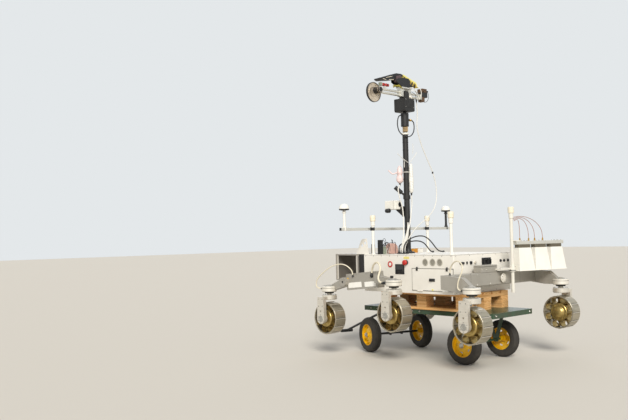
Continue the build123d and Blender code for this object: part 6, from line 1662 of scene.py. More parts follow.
@dataclass
class Radar:
    """White tapered horns under a grey bar, behind the body's right corner."""

    pole: tuple[float, float] = (-920.0, -165.0)
    yaw: float = 12.0
    first: float = 30.0
    width: float = 185.0
    gap: float = 3.0
    depth: float = 110.0
    top: tuple[float, float] = (140.0, 60.0)
    low: float = 735.0
    high: float = 928.0
    bar: tuple[float, float] = (955.0, 985.0)
    bar_from: float = 32.0
    bar_len: float = 560.0
    bar_w: float = 50.0
    plugs: tuple[float, ...] = (94.0, 197.0, 268.0, 363.0)

    def place(self, along: float, z: float) -> Matrix:
        """A place on the row of horns.

        Args:
            along: Distance from the pole.
            z: Height.

        Returns:
            Matrix whose X runs along the row.
        """
        yaw = math.radians(self.yaw)
        x, y = self.pole[0] - along * math.sin(yaw), self.pole[1] - along * math.cos(yaw)
        return moved(x, y, z) @ Matrix.Rotation(-math.pi / 2 - yaw, 4, "Z")

    def horn(self) -> tuple[Piece, Piece]:
        """One tapered horn at the origin and the lip round its mouth.

        Returns:
            The horn and the lip.
        """
        BENCH.clear()
        height = self.high - self.low
        bpy.ops.mesh.primitive_cube_add(size=1, location=(0, 0, 0.5))
        piece = bpy.context.object
        piece.name = "horn"
        bpy.ops.object.transform_apply(location=True, rotation=True, scale=True)
        for corner in piece.data.vertices:
            wide, deep = self.top if corner.co.z > 0.5 else (self.width - 4, self.depth - 4)
            corner.co = (math.copysign(wide / 2, corner.co.x) * MM,
                math.copysign(deep / 2, corner.co.y) * MM, height * MM if corner.co.z > 0.5 else 0)
        bpy.ops.object.mode_set(mode="EDIT")
        bpy.ops.mesh.select_all(action="SELECT")
        bpy.ops.mesh.bevel(offset=0.0022, segments=2, affect="EDGES")
        bpy.ops.object.mode_set(mode="OBJECT")
        bpy.ops.object.shade_smooth_by_angle(angle=math.radians(12))
        lip = BENCH.block("horn_lip", (-self.width / 2, -self.depth / 2, 0.2),
            (self.width / 2, self.depth / 2, 8), 2.4)
        return piece, lip

    def build(self) -> None:
        """Model one horn and copy it, then the bar, its necks, screws and coax connectors."""
        horn, lip = self.horn()
        spots = [self.place(self.first + self.width / 2 + k * (self.width + self.gap), self.low)
            for k in range(3)]
        BENCH.dress(BENCH.copies("horns", horn, spots), Kit.WHITE_PLASTIC, "white_plastic", "radar_horns")
        BENCH.dress(BENCH.copies("horn_lips", lip, spots), Kit.WHITE_PLASTIC, "white_plastic",
            "radar_horns")
        # The necks' dark olive grey is partly painted shade: the shadow strip under the bar, over the
        # horns' tops
        neck = BENCH.block("neck", (-66, -25, -0.3), (66, 25, 27.2), 2)
        necks = BENCH.copies("necks", neck, [spot @ moved(0, 0, self.high - self.low) for spot in spots])
        BENCH.dress(necks, Kit.BLASTED_WITH_SHADE, "grey_anodised", "radar_horns")
        bar = BENCH.block("radar_bar", (-self.bar_len / 2, -self.bar_w / 2, 0),
            (self.bar_len / 2, self.bar_w / 2, 30), 3)
        bar.data.transform(self.place(self.bar_from + self.bar_len / 2, self.bar[0]))
        BENCH.dress(bar, Kit.TUBE, "silver_tube", "radar_horns")
        plug = BENCH.lathe("coax_plug", [(0, 9), (3, 9), (3, 6.4), (12, 6.4), (12.5, 5.2), (14, 5.2),
            (14.5, 6.2), (21, 6.2), (22, 5)], ORIGIN, steps=12)
        plugs = BENCH.copies("coax_plugs", plug, [self.place(at, self.bar[1]) for at in self.plugs])
        BENCH.dress(plugs, Kit.GOLD_PLATE, "gold_chromate", "radar_horns")
        screws = BENCH.bolts("bar_screws", 7, 4, [self.place(at, self.bar[1]) @ moved(0, y, 0)
            for at in (130, 160, 305, 335, 490, 520, 570) for y in (-16, 16)])
        BENCH.dress(screws, Kit.SCREW, "bare_alu")
        self.mount_screws()
        log.info("radar: 3 horns, %d connectors", len(self.plugs))

    def mount_screws(self) -> None:
        """Cream head of the pole, bolts of its plate, and the collar's band and screws."""
        x, y = self.pole
        head = BENCH.lathe("pole_head", [
            (1219, 19.4), (1219.5, 24), (1221, 25.4), (1244, 25.4), (1245, 24.2), (1247, 24.2),
            (1248, 25.4), (1265, 25.4), (1269.6, 22), (1270.4, 17), (1270.4, 2)], (x, y, 0), steps=40)
        BENCH.dress(head, Kit.CREAM, "white_plastic")
        bolts = BENCH.bolts("mount_bolts", 8, 5,
            [moved(px, py, 764) for px, py in ((-765, -30), (-765, -140), (-870, -60), (-800, -85))])
        band = BENCH.lathe("collar_band", [(738, 24), (738, 25.2), (748, 25.2), (748, 24)], (x, y, 0),
            steps=36, closed=True)
        side = BENCH.bolts("collar_screws", 6, 5, [moved(x - 24, y, z) for z in (742, 774)], Along.BACK)
        BENCH.dress(BENCH.join("mount_bolts", [bolts, band, side]), Kit.SCREW, "bare_alu")


@dataclass
class Mast:
    """Black mast with straps, a white ring, a gold connector and wrapped bundles."""

    x: float = 61.0
    ring_z: float = 1974.0
    sleeve: Point = (31.43, -31.7, 1438.0)
    bundle: Point = (101.48, 43.4, 1528.0)

    def wrap(self, name: str, rings: Sequence[tuple[float, float]], at: Point, rough: float,
            seed: int) -> Piece:
        """A wrapped bundle: a turned shape with uneven turns.

        Args:
            name: Name of the bundle.
            rings: Height and radius of each ring.
            at: Its foot.
            rough: How far the surface wanders, in millimetres.
            seed: Seed of the wandering.

        Returns:
            The bundle.
        """
        chance = random.Random(seed)
        fine = []
        for (low, r0), (high, r1) in zip(rings, rings[1:]):
            steps = max(1, round((high - low) / 7))
            fine += [(low + (high - low) * k / steps,
                r0 + (r1 - r0) * k / steps + chance.uniform(-rough, rough)) for k in range(steps)]
        fine.append(rings[-1])
        piece = BENCH.lathe(name, fine, at, steps=28, smooth=80)
        for corner in piece.data.vertices:
            away = Vector((corner.co.x - at[0] * MM, corner.co.y - at[1] * MM, 0))
            bulge = math.sin(3 * math.atan2(away.y, away.x) + corner.co.z * 55)
            corner.co += away * 0.05 * bulge
        return piece

    def build(self) -> None:
        """Model and dress everything on the mast."""
        x = self.x
        bolts = BENCH.bolts("mast_bolts", 8, 6, ring(8, 51, (x, 0, 900.5), "Z", 20))
        BENCH.dress(bolts, Kit.SCREW, "bare_alu")
        ring_white = BENCH.lathe("top_ring", [(-0.4, 26.5), (-0.4, 31), (0.8, 31.8), (14.5, 31.8),
            (16.4, 30.5), (16.4, 20.5)], (x, 0, self.ring_z), steps=40, closed=True)
        BENCH.dress(ring_white, Kit.WHITE_PLASTIC, "white_plastic")
        straps = [BENCH.lathe("strap", [(z, 20.2), (z, 22.6), (z + 11, 22.9), (z + 11, 20.2)], (x, 0, 0),
            steps=28, closed=True)
            for z in (2002, 2018, 2034)]
        buckle = BENCH.block("buckle", (x - 30, -8, 2000), (x - 20, 8, 2046), 2.5)
        BENCH.dress(BENCH.join("straps", [*straps, buckle]), Kit.TAN, "brown_card")
        gold = BENCH.lathe("gold_plug", [(0, 11), (3, 11), (3, 9.4), (14, 9.4), (15, 10.4), (21, 10.4),
            (22, 8)], (43, -36, 2110), Along.RIGHT, 18)
        BENCH.dress(gold, Kit.GOLD_PLATE, "gold_chromate")
        bands = [BENCH.lathe("cable_band", [(z, 26.1), (z, 27.6), (z + 5, 27.6), (z + 5, 26.1)], (x, 0, 0),
            steps=32, closed=True) for z in (1076, 1212, 1560, 1660, 1830, 1900)]
        bands += [BENCH.lathe("upper_band", [(z, 36), (z, 37), (z + 4, 37), (z + 4, 36)], (x, 0, 0),
            steps=36, closed=True) for z in (2056, 2160)]
        BENCH.dress(BENCH.join("cable_bands", bands), Kit.BLACK_PLASTIC, "black_plastic")
        sleeve = self.wrap("sleeve", [(0, 9), (6, 14), (27, 21), (120, 21.5), (170, 20), (215, 17.4),
            (256, 14), (272, 6)], self.sleeve, 0.9, 4)
        BENCH.dress(sleeve, Kit.WHITE_WRAP, "white_cord", "mast_leads")
        r = 33.0
        bundle = self.wrap("bundle", [(0, 10), (0.5 * r, 0.88 * r), (1.2 * r, 0.97 * r),
            (1.9 * r, 0.83 * r), (2.3 * r, 0.68 * r), (2.9 * r, 0.87 * r), (3.9 * r, 0.74 * r),
            (4.6 * r, 0.42 * r), (4.9 * r, 0.2 * r)], self.bundle, 1.4, 9)
        BENCH.dress(bundle, Kit.PINK_WRAP, "white_cord", "mast_leads")
        tail = BENCH.tube("bundle_tail",
            [[(112, 54, 1636), (134, 74, 1618), (152, 90, 1616), (166, 102, 1636), (178, 112, 1652)]], 6.0)
        BENCH.dress(tail, Kit.PINK_WRAP, "white_cord")
        white = BENCH.lathe("white_bands", [(1627, 26.1), (1627, 27.8), (1632, 27.8), (1632, 26.1)],
            (x, 0, 0), steps=32, closed=True)
        BENCH.dress(white, Kit.WHITE_PLASTIC, "white_plastic")
        ties = BENCH.tube("white_ties", [[(20, 162, 1788), (22, 118, 1760), (24, 60, 1736), (26, 11, 1714)],
            [(26, -20, 1722), (22, -58, 1758), (20, -88, 1790), (20, -110, 1815)],
            [(31, -66, 1892), (29, -70, 1862), (29, -66, 1830), (31, -61, 1802)],
            [(61, 27, 1742), (40, 46, 1726), (30, 60, 1700), (26, 66, 1668)]], 2.6)
        BENCH.dress(ties, Kit.WHITE_CORD, "white_cord")
        clip = BENCH.block("cable_clip", (56, -392, 1632), (66, -378, 1652), 2)
        BENCH.dress(clip, Kit.BLACK_PLASTIC, "black_plastic")
        aim = Vector((0.507, 0.543, 0.669))
        turn = aim.to_track_quat("Z", "Y").to_matrix()
        can = BENCH.lathe("sensor_can", [
            (60, 12), (62, 19), (64, 19.6), (80, 19.6), (81, 18.6), (84, 18.6), (85, 19.6), (134, 19.6),
            (140, 19), (142.4, 16.5), (142.4, 13), (139, 12), (139, 2)], ORIGIN, steps=32)
        BENCH.settle(can, (x, 0, 1400), turn)
        BENCH.dress(can, Kit.BLACK_PLASTIC, "black_plastic")
        log.info("mast: straps, bundles, sensor and %d bands", len(bands))


@dataclass
class MastCamera:
    """White camera box with a dark eye, its bracket and a lens below."""

    low: Point = (106.0, 20.0, 1290.0)
    high: Point = (236.0, 110.0, 1372.0)
    eye: tuple[float, float] = (47.0, 1335.1)

    def build(self) -> None:
        """Model and dress the camera."""
        (x0, y0, z0), (x1, y1, z1) = self.low, self.high
        box = BENCH.block("camera_box", (x0 + 3, y0, z0), (x1, y1, z1), 6, 3)
        face = BENCH.block("camera_face", (x0, y0 + 2, z0 + 2), (x0 + 6, y1 - 2, z1 - 2), 2)
        BENCH.dress(BENCH.join("camera_box", [box, face]), Kit.WHITE_PLASTIC, "white_plastic",
            "mast_camera")
        at = (x0, self.eye[0], self.eye[1])
        bezel = BENCH.lathe("eye_ring", [(-2, 15), (-2, 21), (0, 22), (2, 22), (3, 20), (3, 16.5),
            (0.5, 15)], at, Along.BACK, 40, closed=True)
        glass = BENCH.lathe("eye_glass", [(-1, 16), (0.4, 16), (1.6, 12), (2.1, 6), (2.2, 1)], at,
            Along.BACK, 36, smooth=70)
        BENCH.dress(bezel, Kit.BLACK_PLASTIC, "black_plastic", "mast_camera")
        BENCH.dress(glass, Kit.GLASS, "black_plastic", "mast_camera")
        seam = BENCH.block("camera_seam", (x0 + 22, y0 - 0.3, z0 - 0.3), (x0 + 23.6, y1 + 0.3, z1 + 0.3),
            0.4)
        screws = BENCH.bolts("camera_screws", 4, 1.6,
            [moved(x0, y, z) for y in (y0 + 9, y1 - 9) for z in (z0 + 9, z1 - 9)], Along.BACK)
        BENCH.dress(BENCH.join("camera_seam", [seam, screws]), Kit.DARK_METAL, "black_plastic",
            "mast_camera")
        bracket = BENCH.plate("camera_bracket", [(87.5, 1230), (166, 1290), (166, 1310), (87.5, 1310)],
            62.5, (0, 42.5, 0), Along.RIGHT.value, 2.0)
        clamp = BENCH.block("bracket_clamp", (84, -30, 1224), (92, 40, 1318), 2)
        BENCH.dress(BENCH.join("camera_bracket", [bracket, clamp]), Kit.BLACK, "black_paint", "mast_camera")
        lens = BENCH.lathe("lens", [(0, 17), (3, 20), (12, 20), (13, 19), (15, 19), (16, 20), (30, 20),
            (32, 18.5), (43, 18.5), (45, 17), (45, 14.5), (40, 13)], (166, 120, 1280), Along.AHEAD, 36)
        BENCH.dress(lens, Kit.BLACK_PLASTIC, "black_plastic", "mast_camera")
        pane = BENCH.lathe("lens_glass", [(38, 13.4), (40.6, 11), (42, 6), (42.4, 1)], (166, 120, 1280),
            Along.AHEAD, 30, smooth=70)
        BENCH.dress(pane, Kit.GLASS, "black_plastic", "mast_camera")
        log.info("mast camera")


@dataclass
class SensorHead:
    """Tilting head: dark slanted cover, striped strip, disc on its motor and brown box."""

    x: float = 61.0
    tilt_z: float = 2345.0
    half: float = 80.0

    def sheet(self, name: str, outline: Sequence[tuple[float, float]], x0: float, x1: float,
            edge: float = 1.0) -> Piece:
        """A piece with an outline of (y, z) points, between two distances forward.

        Args:
            name: Name of the piece.
            outline: Its corners.
            x0: Rear face.
            x1: Front face.
            edge: Radius of the edges.

        Returns:
            The piece.
        """
        turn = Matrix(((0, 0, 1), (1, 0, 0), (0, 1, 0)))
        return BENCH.plate(name, outline, x1 - x0, (x0, 0, 0), turn, edge)

    def cover(self) -> None:
        """Dark slanted cover with pale trims, the struts that carry it and the striped strip."""
        x0, x1 = self.x - 11, self.x + self.half
        top = self.sheet("cover", [
            (314, 2452), (316, 2462), (115, 2526), (50, 2528.5), (0, 2516), (-160, 2463), (-176, 2441),
            (-158, 2452), (0, 2500), (48, 2488), (140, 2466), (286, 2444)], x0, x1, 1.5)
        struts = [self.sheet(
            "strut", [(-66, 2405), (66, 2405), (140, 2446), (136, 2468), (48, 2490), (-35, 2490)], x, x + 6,
            1.0) for x in (self.x - 34, self.x + 28)]
        BENCH.dress(BENCH.join("cover", [top, *struts]), Kit.BLACK_PLASTIC, "black_plastic", "head_cover",
            body=Body.HEAD)
        plum = self.sheet("plum_pad", [(52, 2462), (58, 2450), (116, 2444), (126, 2456), (120, 2500),
            (62, 2512)], x0 - 16, x0 + 26, 6.0)
        BENCH.dress(plum, Kit.PLUM, "brown_card", "head_cover", body=Body.HEAD)
        trims = [self.sheet("trim", [(y, z), (y, z - 4), (y - long, z + rise - 4), (y - long, z + rise)],
            x0 - 3, x0 + 2, 0.8)
            for y, z, long, rise in ((256, 2470, 84, 22), (214, 2458, 62, 6), (298, 2456, 40, -4))]
        BENCH.dress(BENCH.join("cover_trims", trims), Kit.CREAM, "white_plastic", "head_cover",
            body=Body.HEAD)
        strip = self.sheet("strip", [(48, 2500), (0, 2493), (-150, 2446), (-172, 2424), (-184, 2430),
            (-160, 2456), (0, 2504)], x0 - 4, x0 + 34, 0.8)
        BENCH.dress(strip, Kit.STRIPES, "yellow_paint", "head_cover", body=Body.HEAD)
        edge = self.sheet("pale_edge", [(24, 2526), (24, 2510), (-150, 2458), (-180, 2424), (-186, 2430),
            (-156, 2472)], x0 - 5, x0 + 3, 0.8)
        BENCH.dress(edge, Kit.PALE_YELLOW, "yellow_paint", "head_cover", body=Body.HEAD)
        blocks = [BENCH.block("yellow_block", (x0 - 12, y, z), (x0 + 8, y + wide, z + 20), 2)
            for y, z, wide in ((6, 2474, 12), (30, 2482, 16))]
        bundle = BENCH.solid(BENCH.tube("yellow_leads", [[(30 + dx, 176, 2394 + dz),
            (30 + dx, 140, 2404 - dz), (32, 104, 2410 + dz), (34 + dx, 74, 2402 - dz),
            (38, 50, 2392 + dz)] for dx, dz in ((0, 0), (9, 7), (-6, 12), (4, -7))], 4.6))
        BENCH.dress(BENCH.join("yellow_blocks", [*blocks, bundle]), Kit.OLIVE, "yellow_paint", "head_cover",
            body=Body.HEAD)

    def disc(self) -> None:
        """Rim, dish and front of the disc that faces forward, its motor, screws and connector."""
        at = (0, 384.35, self.tilt_z - 18)
        rim = BENCH.lathe("disc_rim", [(78.6, 84.2), (78.6, 88.5), (94.4, 88.5), (94.4, 85.5), (93.4, 84.6),
            (80.0, 84.6)], at, Along.AHEAD, 64, closed=True)
        motor = BENCH.lathe("disc_motor", [
            (18.4, 8), (18.4, 22), (20.4, 26.3), (34, 26.7), (35, 25.9), (39, 25.9), (40, 26.7), (84, 26.7),
            (85.6, 30), (87.4, 30)], (0, 361.35, self.tilt_z), Along.AHEAD, 36)
        BENCH.dress(BENCH.join("disc_rim", [rim, motor]), Kit.BLACK_PLASTIC, "black_plastic",
            body=Body.HEAD)
        dish = BENCH.lathe("disc_dish", [(84.6, 83.8), (84.6, 79), (86.2, 76), (86.2, 60), (84.8, 58),
            (84.8, 44), (86.6, 41), (86.6, 30), (87.2, 30), (87.2, 83.8)], at, Along.AHEAD, 56, closed=True)
        BENCH.dress(dish, Kit.BRUSHED, "bare_alu", body=Body.HEAD)
        front = BENCH.lathe("disc_front", [(93.8, 80), (95.2, 80), (95.2, 76), (94.6, 75), (94.6, 34),
            (96, 32), (96, 26), (93.8, 26)], at, Along.AHEAD, 56, closed=True)
        cap = BENCH.lathe("disc_cap", [(107.8, 22), (110, 21), (110.6, 12), (110.6, 2)], at, Along.AHEAD,
            32)
        BENCH.dress(BENCH.join("disc_front", [front, cap]), Kit.BRUSHED, "bare_alu", body=Body.HEAD)
        screws = BENCH.bolts("hub_screws", 5, 3,
            [moved(84.8, 0, 0) @ place for place in ring(8, 68, at, "X", 22)], Along.BACK)
        BENCH.dress(screws, Kit.SCREW, "bare_alu", body=Body.HEAD)
        tab = BENCH.block("can_connector", (self.x - 13, 306, 2388), (self.x + 13, 334, 2418), 3)
        BENCH.dress(tab, Kit.GREY_GREEN, "black_plastic", body=Body.HEAD)

    def side_box(self) -> None:
        """Brown board box at the right end: lid block, foot, dark middle and connectors."""
        lid = BENCH.block("brown_lid", (28, -292, 2388), (92, -226, 2424), 3)
        foot = BENCH.block("brown_foot", (34, -264, 2301), (84, -226, 2348), 3)
        BENCH.dress(BENCH.join("brown_box", [lid, foot]), Kit.BROWN, "brown_card", "head_box",
            body=Body.HEAD)
        middle = BENCH.block("dark_box", (32, -304, 2344), (90, -225.5, 2391), 3)
        plug = BENCH.lathe("box_plug", [(0, 7), (6, 7), (7, 10), (14, 10), (15, 6), (30, 6), (31, 8.5),
            (36, 8.5), (37, 4)], (50, -291, 2406), Along.RIGHT, 20)
        pins = BENCH.bolts("box_pins", 8, 5,
            [moved(28, y, z) for y, z in ((-240, 2398), (-262, 2412), (-280, 2396))], Along.BACK)
        BENCH.dress(BENCH.join("dark_box", [middle, plug, pins]), Kit.BLACK_PLASTIC, "black_plastic",
            "head_box", body=Body.HEAD)

    def loose_leads(self) -> None:
        """Pale cables that arc from the yoke to the gland, and the thin loop of the brown box."""
        pale = BENCH.tube("yoke_leads", [
            [(24, -34, 2404), (8, -62, 2408), (-2, -92, 2384), (-4, -118, 2352), (2, -134, 2316),
                (20, -140, 2306), (42, -152, 2318), (56, -166, 2328)],
            [(26, -58, 2380), (12, -84, 2386), (4, -112, 2364), (0, -134, 2330), (6, -150, 2306),
                (28, -160, 2306), (53, -170, 2324)],
            [(36, -150, 2440), (18, -176, 2420), (10, -188, 2384), (14, -190, 2344), (30, -184, 2326),
                (58, -178, 2328)]], 3.4)
        BENCH.dress(pale, Kit.WHITE_CORD, "white_cord", body=Body.HEAD)
        dark = BENCH.tube("box_lead", [[(50, -326, 2406), (44, -329, 2392),
            (40, -329, 2362), (40, -322, 2330), (46, -300, 2304), (56, -270, 2302), (58, -262, 2318)],
            [(31, -70, 2372), (14, -92, 2360), (10, -112, 2330), (24, -120, 2306)]], 2.2)
        BENCH.dress(dark, Kit.BLACK_CORD, "black_cord", body=Body.HEAD)
        boss = BENCH.lathe("tilt_boss", [(0, 16), (6, 16), (8, 14), (8, 7), (6, 6), (6, 1)],
            (37.2, -62, 2326), Along.BACK, 28)
        BENCH.dress(boss, Kit.DISC, "bare_alu", body=Body.HEAD)

    def build(self) -> None:
        """Model and dress the head's pieces."""
        self.cover()
        self.disc()
        self.side_box()
        self.loose_leads()
        can = BENCH.lathe("red_can", [(216.4, 6), (216.4, 12.6), (218, 13.6), (304, 13.6), (306.4, 12),
            (307.6, 8), (307.6, 3)], (self.x, 0, 2403), Along.LEFT, 32)
        BENCH.dress(can, Kit.RED, "black_plastic", body=Body.HEAD)
        straps = [BENCH.lathe("can_strap", [(y, 13.4), (y, 14.8), (y + 8, 14.8), (y + 8, 13.4)],
            (self.x, 0, 2403), Along.LEFT, 28, closed=True) for y in (236, 280)]
        gland = BENCH.lathe("head_gland", [(0, 4.8), (0, 5.9), (4, 6.4), (6, 8), (12, 8), (12, 6), (19, 6)],
            (61, -172, 2311), steps=20)
        BENCH.dress(BENCH.join("head_fittings", [*straps, gland]), Kit.BLACK_PLASTIC, "black_plastic",
            body=Body.HEAD)
        clamps = BENCH.bolts("clamp_screws", 5, 3,
            [moved(self.x - 24, side * 48, z) for side in (-1, 1) for z in (2326, 2364)] + [
            moved(self.x - 24, y, z) for y in (329, -219) for z in (2326, 2364)], Along.BACK)
        BENCH.dress(clamps, Kit.SCREW, "bare_alu", body=Body.HEAD)
        pan = BENCH.bolts("pan_screws", 6, 3,
            [moved(self.x - 66, y, z) for y in (-54, 54) for z in (2222, 2288)], Along.BACK)
        BENCH.dress(pan, Kit.SCREW, "bare_alu", body=Body.PAN)
        lid = BENCH.block("pan_lid", (self.x - 58, -58, 2299.6), (self.x + 58, 58, 2302.6), 1.4)
        plate = BENCH.block("pan_plate", (self.x - 67.2, -44, 2214), (self.x - 65.6, 44, 2282), 0.7)
        BENCH.dress(BENCH.join("pan_lid", [lid, plate]), Kit.DARK_METAL, "black_paint", body=Body.PAN)
        log.info("sensor head")


@dataclass
class SideBogie:
    """Fittings on a side beam: label plates, pivot caps, connectors, clips and screws."""

    side: int = 1
    pivot: tuple[float, float] = (75.0, 671.0)
    tilt: float = 5.567
    outer: float = 605.0
    disc_face: float = 649.0

    def along(self, dx: float, dz: float, y: float) -> Matrix:
        """Place on the beam.

        Args:
            dx: Distance ahead of the pivot.
            dz: Distance above it.
            y: Distance out from the middle.

        Returns:
            Matrix that faces outward.
        """
        a = math.radians(self.tilt)
        out = Along.LEFT if self.side > 0 else Along.RIGHT
        return moved(self.pivot[0] + dx * math.cos(a) + dz * math.sin(a), self.side * y,
            self.pivot[1] - dx * math.sin(a) + dz * math.cos(a)) @ Matrix.Rotation(a, 4, "Y") @ out.turn()

    def build(self) -> None:
        """Model and dress the beam's fittings."""
        tag = "left" if self.side > 0 else "right"
        plates = []
        for dx, dz, w, h in ((86, -30, 160, 46), (-96, -34, 132, 42)):
            label = BENCH.block("label", (-w / 2, -h / 2, 0), (w / 2, h / 2, 1.4), 0.6)
            label.data.transform(self.along(dx, dz, self.outer))
            plates.append(label)
        BENCH.dress(BENCH.join("labels_" + tag, plates), Kit.PAPER, "white_plastic")
        spots = [self.along(dx, 58, self.outer) for dx in (-172, -60, 60, 172)]
        spots += [self.along(dx, -60, self.outer) for dx in (-176, 176)]
        heads = BENCH.bolts("beam_screws_" + tag, 7, 4, spots)
        joint = BENCH.bolts("joint_screws", 6, 4,
            [self.along(193, 4.2, self.disc_face) @ place for place in ring(6, 30, ORIGIN, "Z", 10)])
        BENCH.dress(BENCH.join("beam_screws_" + tag, [heads, joint]), Kit.SCREW, "bare_alu")
        hole = BENCH.lathe("joint_hole", [(0.2, 10.8), (0.8, 10.8), (0.8, 4)], ORIGIN, steps=24)
        hole.data.transform(self.along(193, 4.2, self.disc_face - 8))
        plug = BENCH.lathe("beam_plug", [(0, 14), (3, 14), (4, 11), (12, 11), (13, 9)], ORIGIN, steps=20)
        plug.data.transform(self.along(-125, 30, self.outer))
        clip = BENCH.block("beam_clip", (-16, -5, 0), (16, 5, 9), 2)
        arm_clip = BENCH.block("arm_clip", (-286, self.side * 608 - 6, 703),
            (-258, self.side * 608 + 6, 722), 2)
        clip.data.transform(self.along(-178, 30, self.outer))
        BENCH.dress(BENCH.join("beam_plugs_" + tag, [hole, plug, clip, arm_clip]), Kit.BLACK_PLASTIC,
            "black_plastic")
        tab = BENCH.block("yellow_tab", (-13, -9, -2), (13, 9, 7), 1.5)
        tab.data.transform(self.along(172, 28, self.outer))
        BENCH.dress(tab, Kit.YELLOW, "yellow_paint")
        log.info("side bogie fittings, %s", tag)


@dataclass
class RearBogie:
    """Fittings on the rear beam: flat housing, pivot cap, seams and screws."""

    rear: float = -865.0
    front: float = -790.0
    low: float = 630.0
    high: float = 737.0

    def build(self) -> None:
        """Model and dress the rear beam's fittings."""
        base = BENCH.block("rear_housing", (self.rear, -25, self.high), (self.front, 200, self.high + 46),
            3)
        lid = BENCH.block("housing_lid", (self.rear, -25, self.high + 47.6),
            (self.front, 200, self.high + 60), 3)
        BENCH.dress(BENCH.join("rear_housing", [base, lid]), Kit.GREY, "grey_anodised")
        gap = BENCH.block("housing_seam", (self.rear + 1.5, -23.5, self.high + 44),
            (self.front - 1.5, 198.5, self.high + 50), 0.4)
        BENCH.dress(gap, Kit.RUBBER, "black_plastic")
        cap = BENCH.lathe("pivot_cap", [(15, 38), (16.4, 38), (18.4, 35), (18.4, 14), (17, 12), (17, 3)],
            (self.rear, -90, 683.5), Along.BACK, 40)
        screws = BENCH.bolts("cap_screws", 6, 4, ring(6, 29, (self.rear - 18, -90, 683.5), "X"), Along.BACK)
        more = BENCH.bolts("rear_screws", 7, 4,
            [moved(self.rear, y, z) for y in (-580, -430, -280, 80, 260, 430, 580) for z in (644, 723)]
            + [moved(self.rear, y, self.high + 24) for y in (-12, 62, 124, 187)], Along.BACK)
        BENCH.dress(BENCH.join("rear_screws", [screws, more]), Kit.SCREW, "bare_alu")
        BENCH.dress(cap, Kit.DISC, "grey_anodised")
        seams = [BENCH.block("rear_seam", (self.rear - 0.4, y, self.low + 2),
            (self.front + 0.4, y + 1.6, self.high + 0.3), 0.4) for y in (-360, 340)]
        BENCH.dress(BENCH.join("rear_seams", seams), Kit.RUBBER, "black_plastic")
        log.info("rear bogie fittings")


@dataclass
class FrontBox:
    """Screws and inner angles of the open aluminium box across the front."""

    x0: float = 311.0
    x1: float = 600.0
    half: float = 399.0
    low: float = 652.0
    high: float = 893.0

    def build(self) -> None:
        """Model and dress the box's screws and the angles inside."""
        places = [moved(x, side * (self.half - 10), self.high) for x in (330, 400, 470, 540, 585)
            for side in (-1, 1)]
        places += [moved(self.x0, y, z) @ Along.BACK.turn() for y in (-392, 392) for z in (664, 881)]
        screws = BENCH.bolts("front_box_screws", 6, 3, places)
        BENCH.dress(screws, Kit.SCREW, "bare_alu")
        angles = []
        for side in (-1, 1):
            y0, y1 = sorted((side * 395, side * 392))
            angles.append(BENCH.block(
                "angle", (self.x0 + 12, y0, self.low + 12), (self.x0 + 32, y1, self.high - 12), 0.8))
            angles.append(BENCH.block(
                "angle", (self.x1 - 32, y0, self.low + 12), (self.x1 - 12, y1, self.high - 12), 0.8))
        BENCH.dress(BENCH.join("box_angles", angles), Kit.MILLED, "bare_alu")
        log.info("front box fittings")


@dataclass
class Pallet:
    """Nail heads of the pallet and a blank patch on its rear block."""

    rows: tuple[float, ...] = (-730.0, -325.0, 80.0)
    boards: tuple[float, ...] = (-250.0, -125.0, 0.0, 125.0, 250.0)
    top: float = 568.0

    def build(self) -> None:
        """Model and dress the nails and the patch."""
        nail = BENCH.lathe("nail", [(0, 2.6), (0.5, 2.4), (0.7, 1.6)], ORIGIN, steps=8)
        spots = [moved(x + dx, y + dy, self.top) for x in self.rows for y in self.boards
            for dx, dy in ((-18, -22), (20, 24))]
        left, right = Along.LEFT.turn(), Along.RIGHT.turn()
        for x in self.rows:
            spots += [moved(x + dx, 300, 535) @ left for dx in (-30, 30)]
            spots += [moved(x + dx, -300, 535) @ right for dx in (-30, 30)]
        nails = BENCH.copies("nails", nail, spots)
        BENCH.dress(nails, Kit.DARK_METAL, "black_paint")
        patch = BENCH.block("grey_patch", (-781.2, 214, 470), (-779.6, 262, 504), 0.5)
        BENCH.dress(patch, Kit.PATCH, "vent_grey")
        log.info("pallet: %d nails", len(spots))


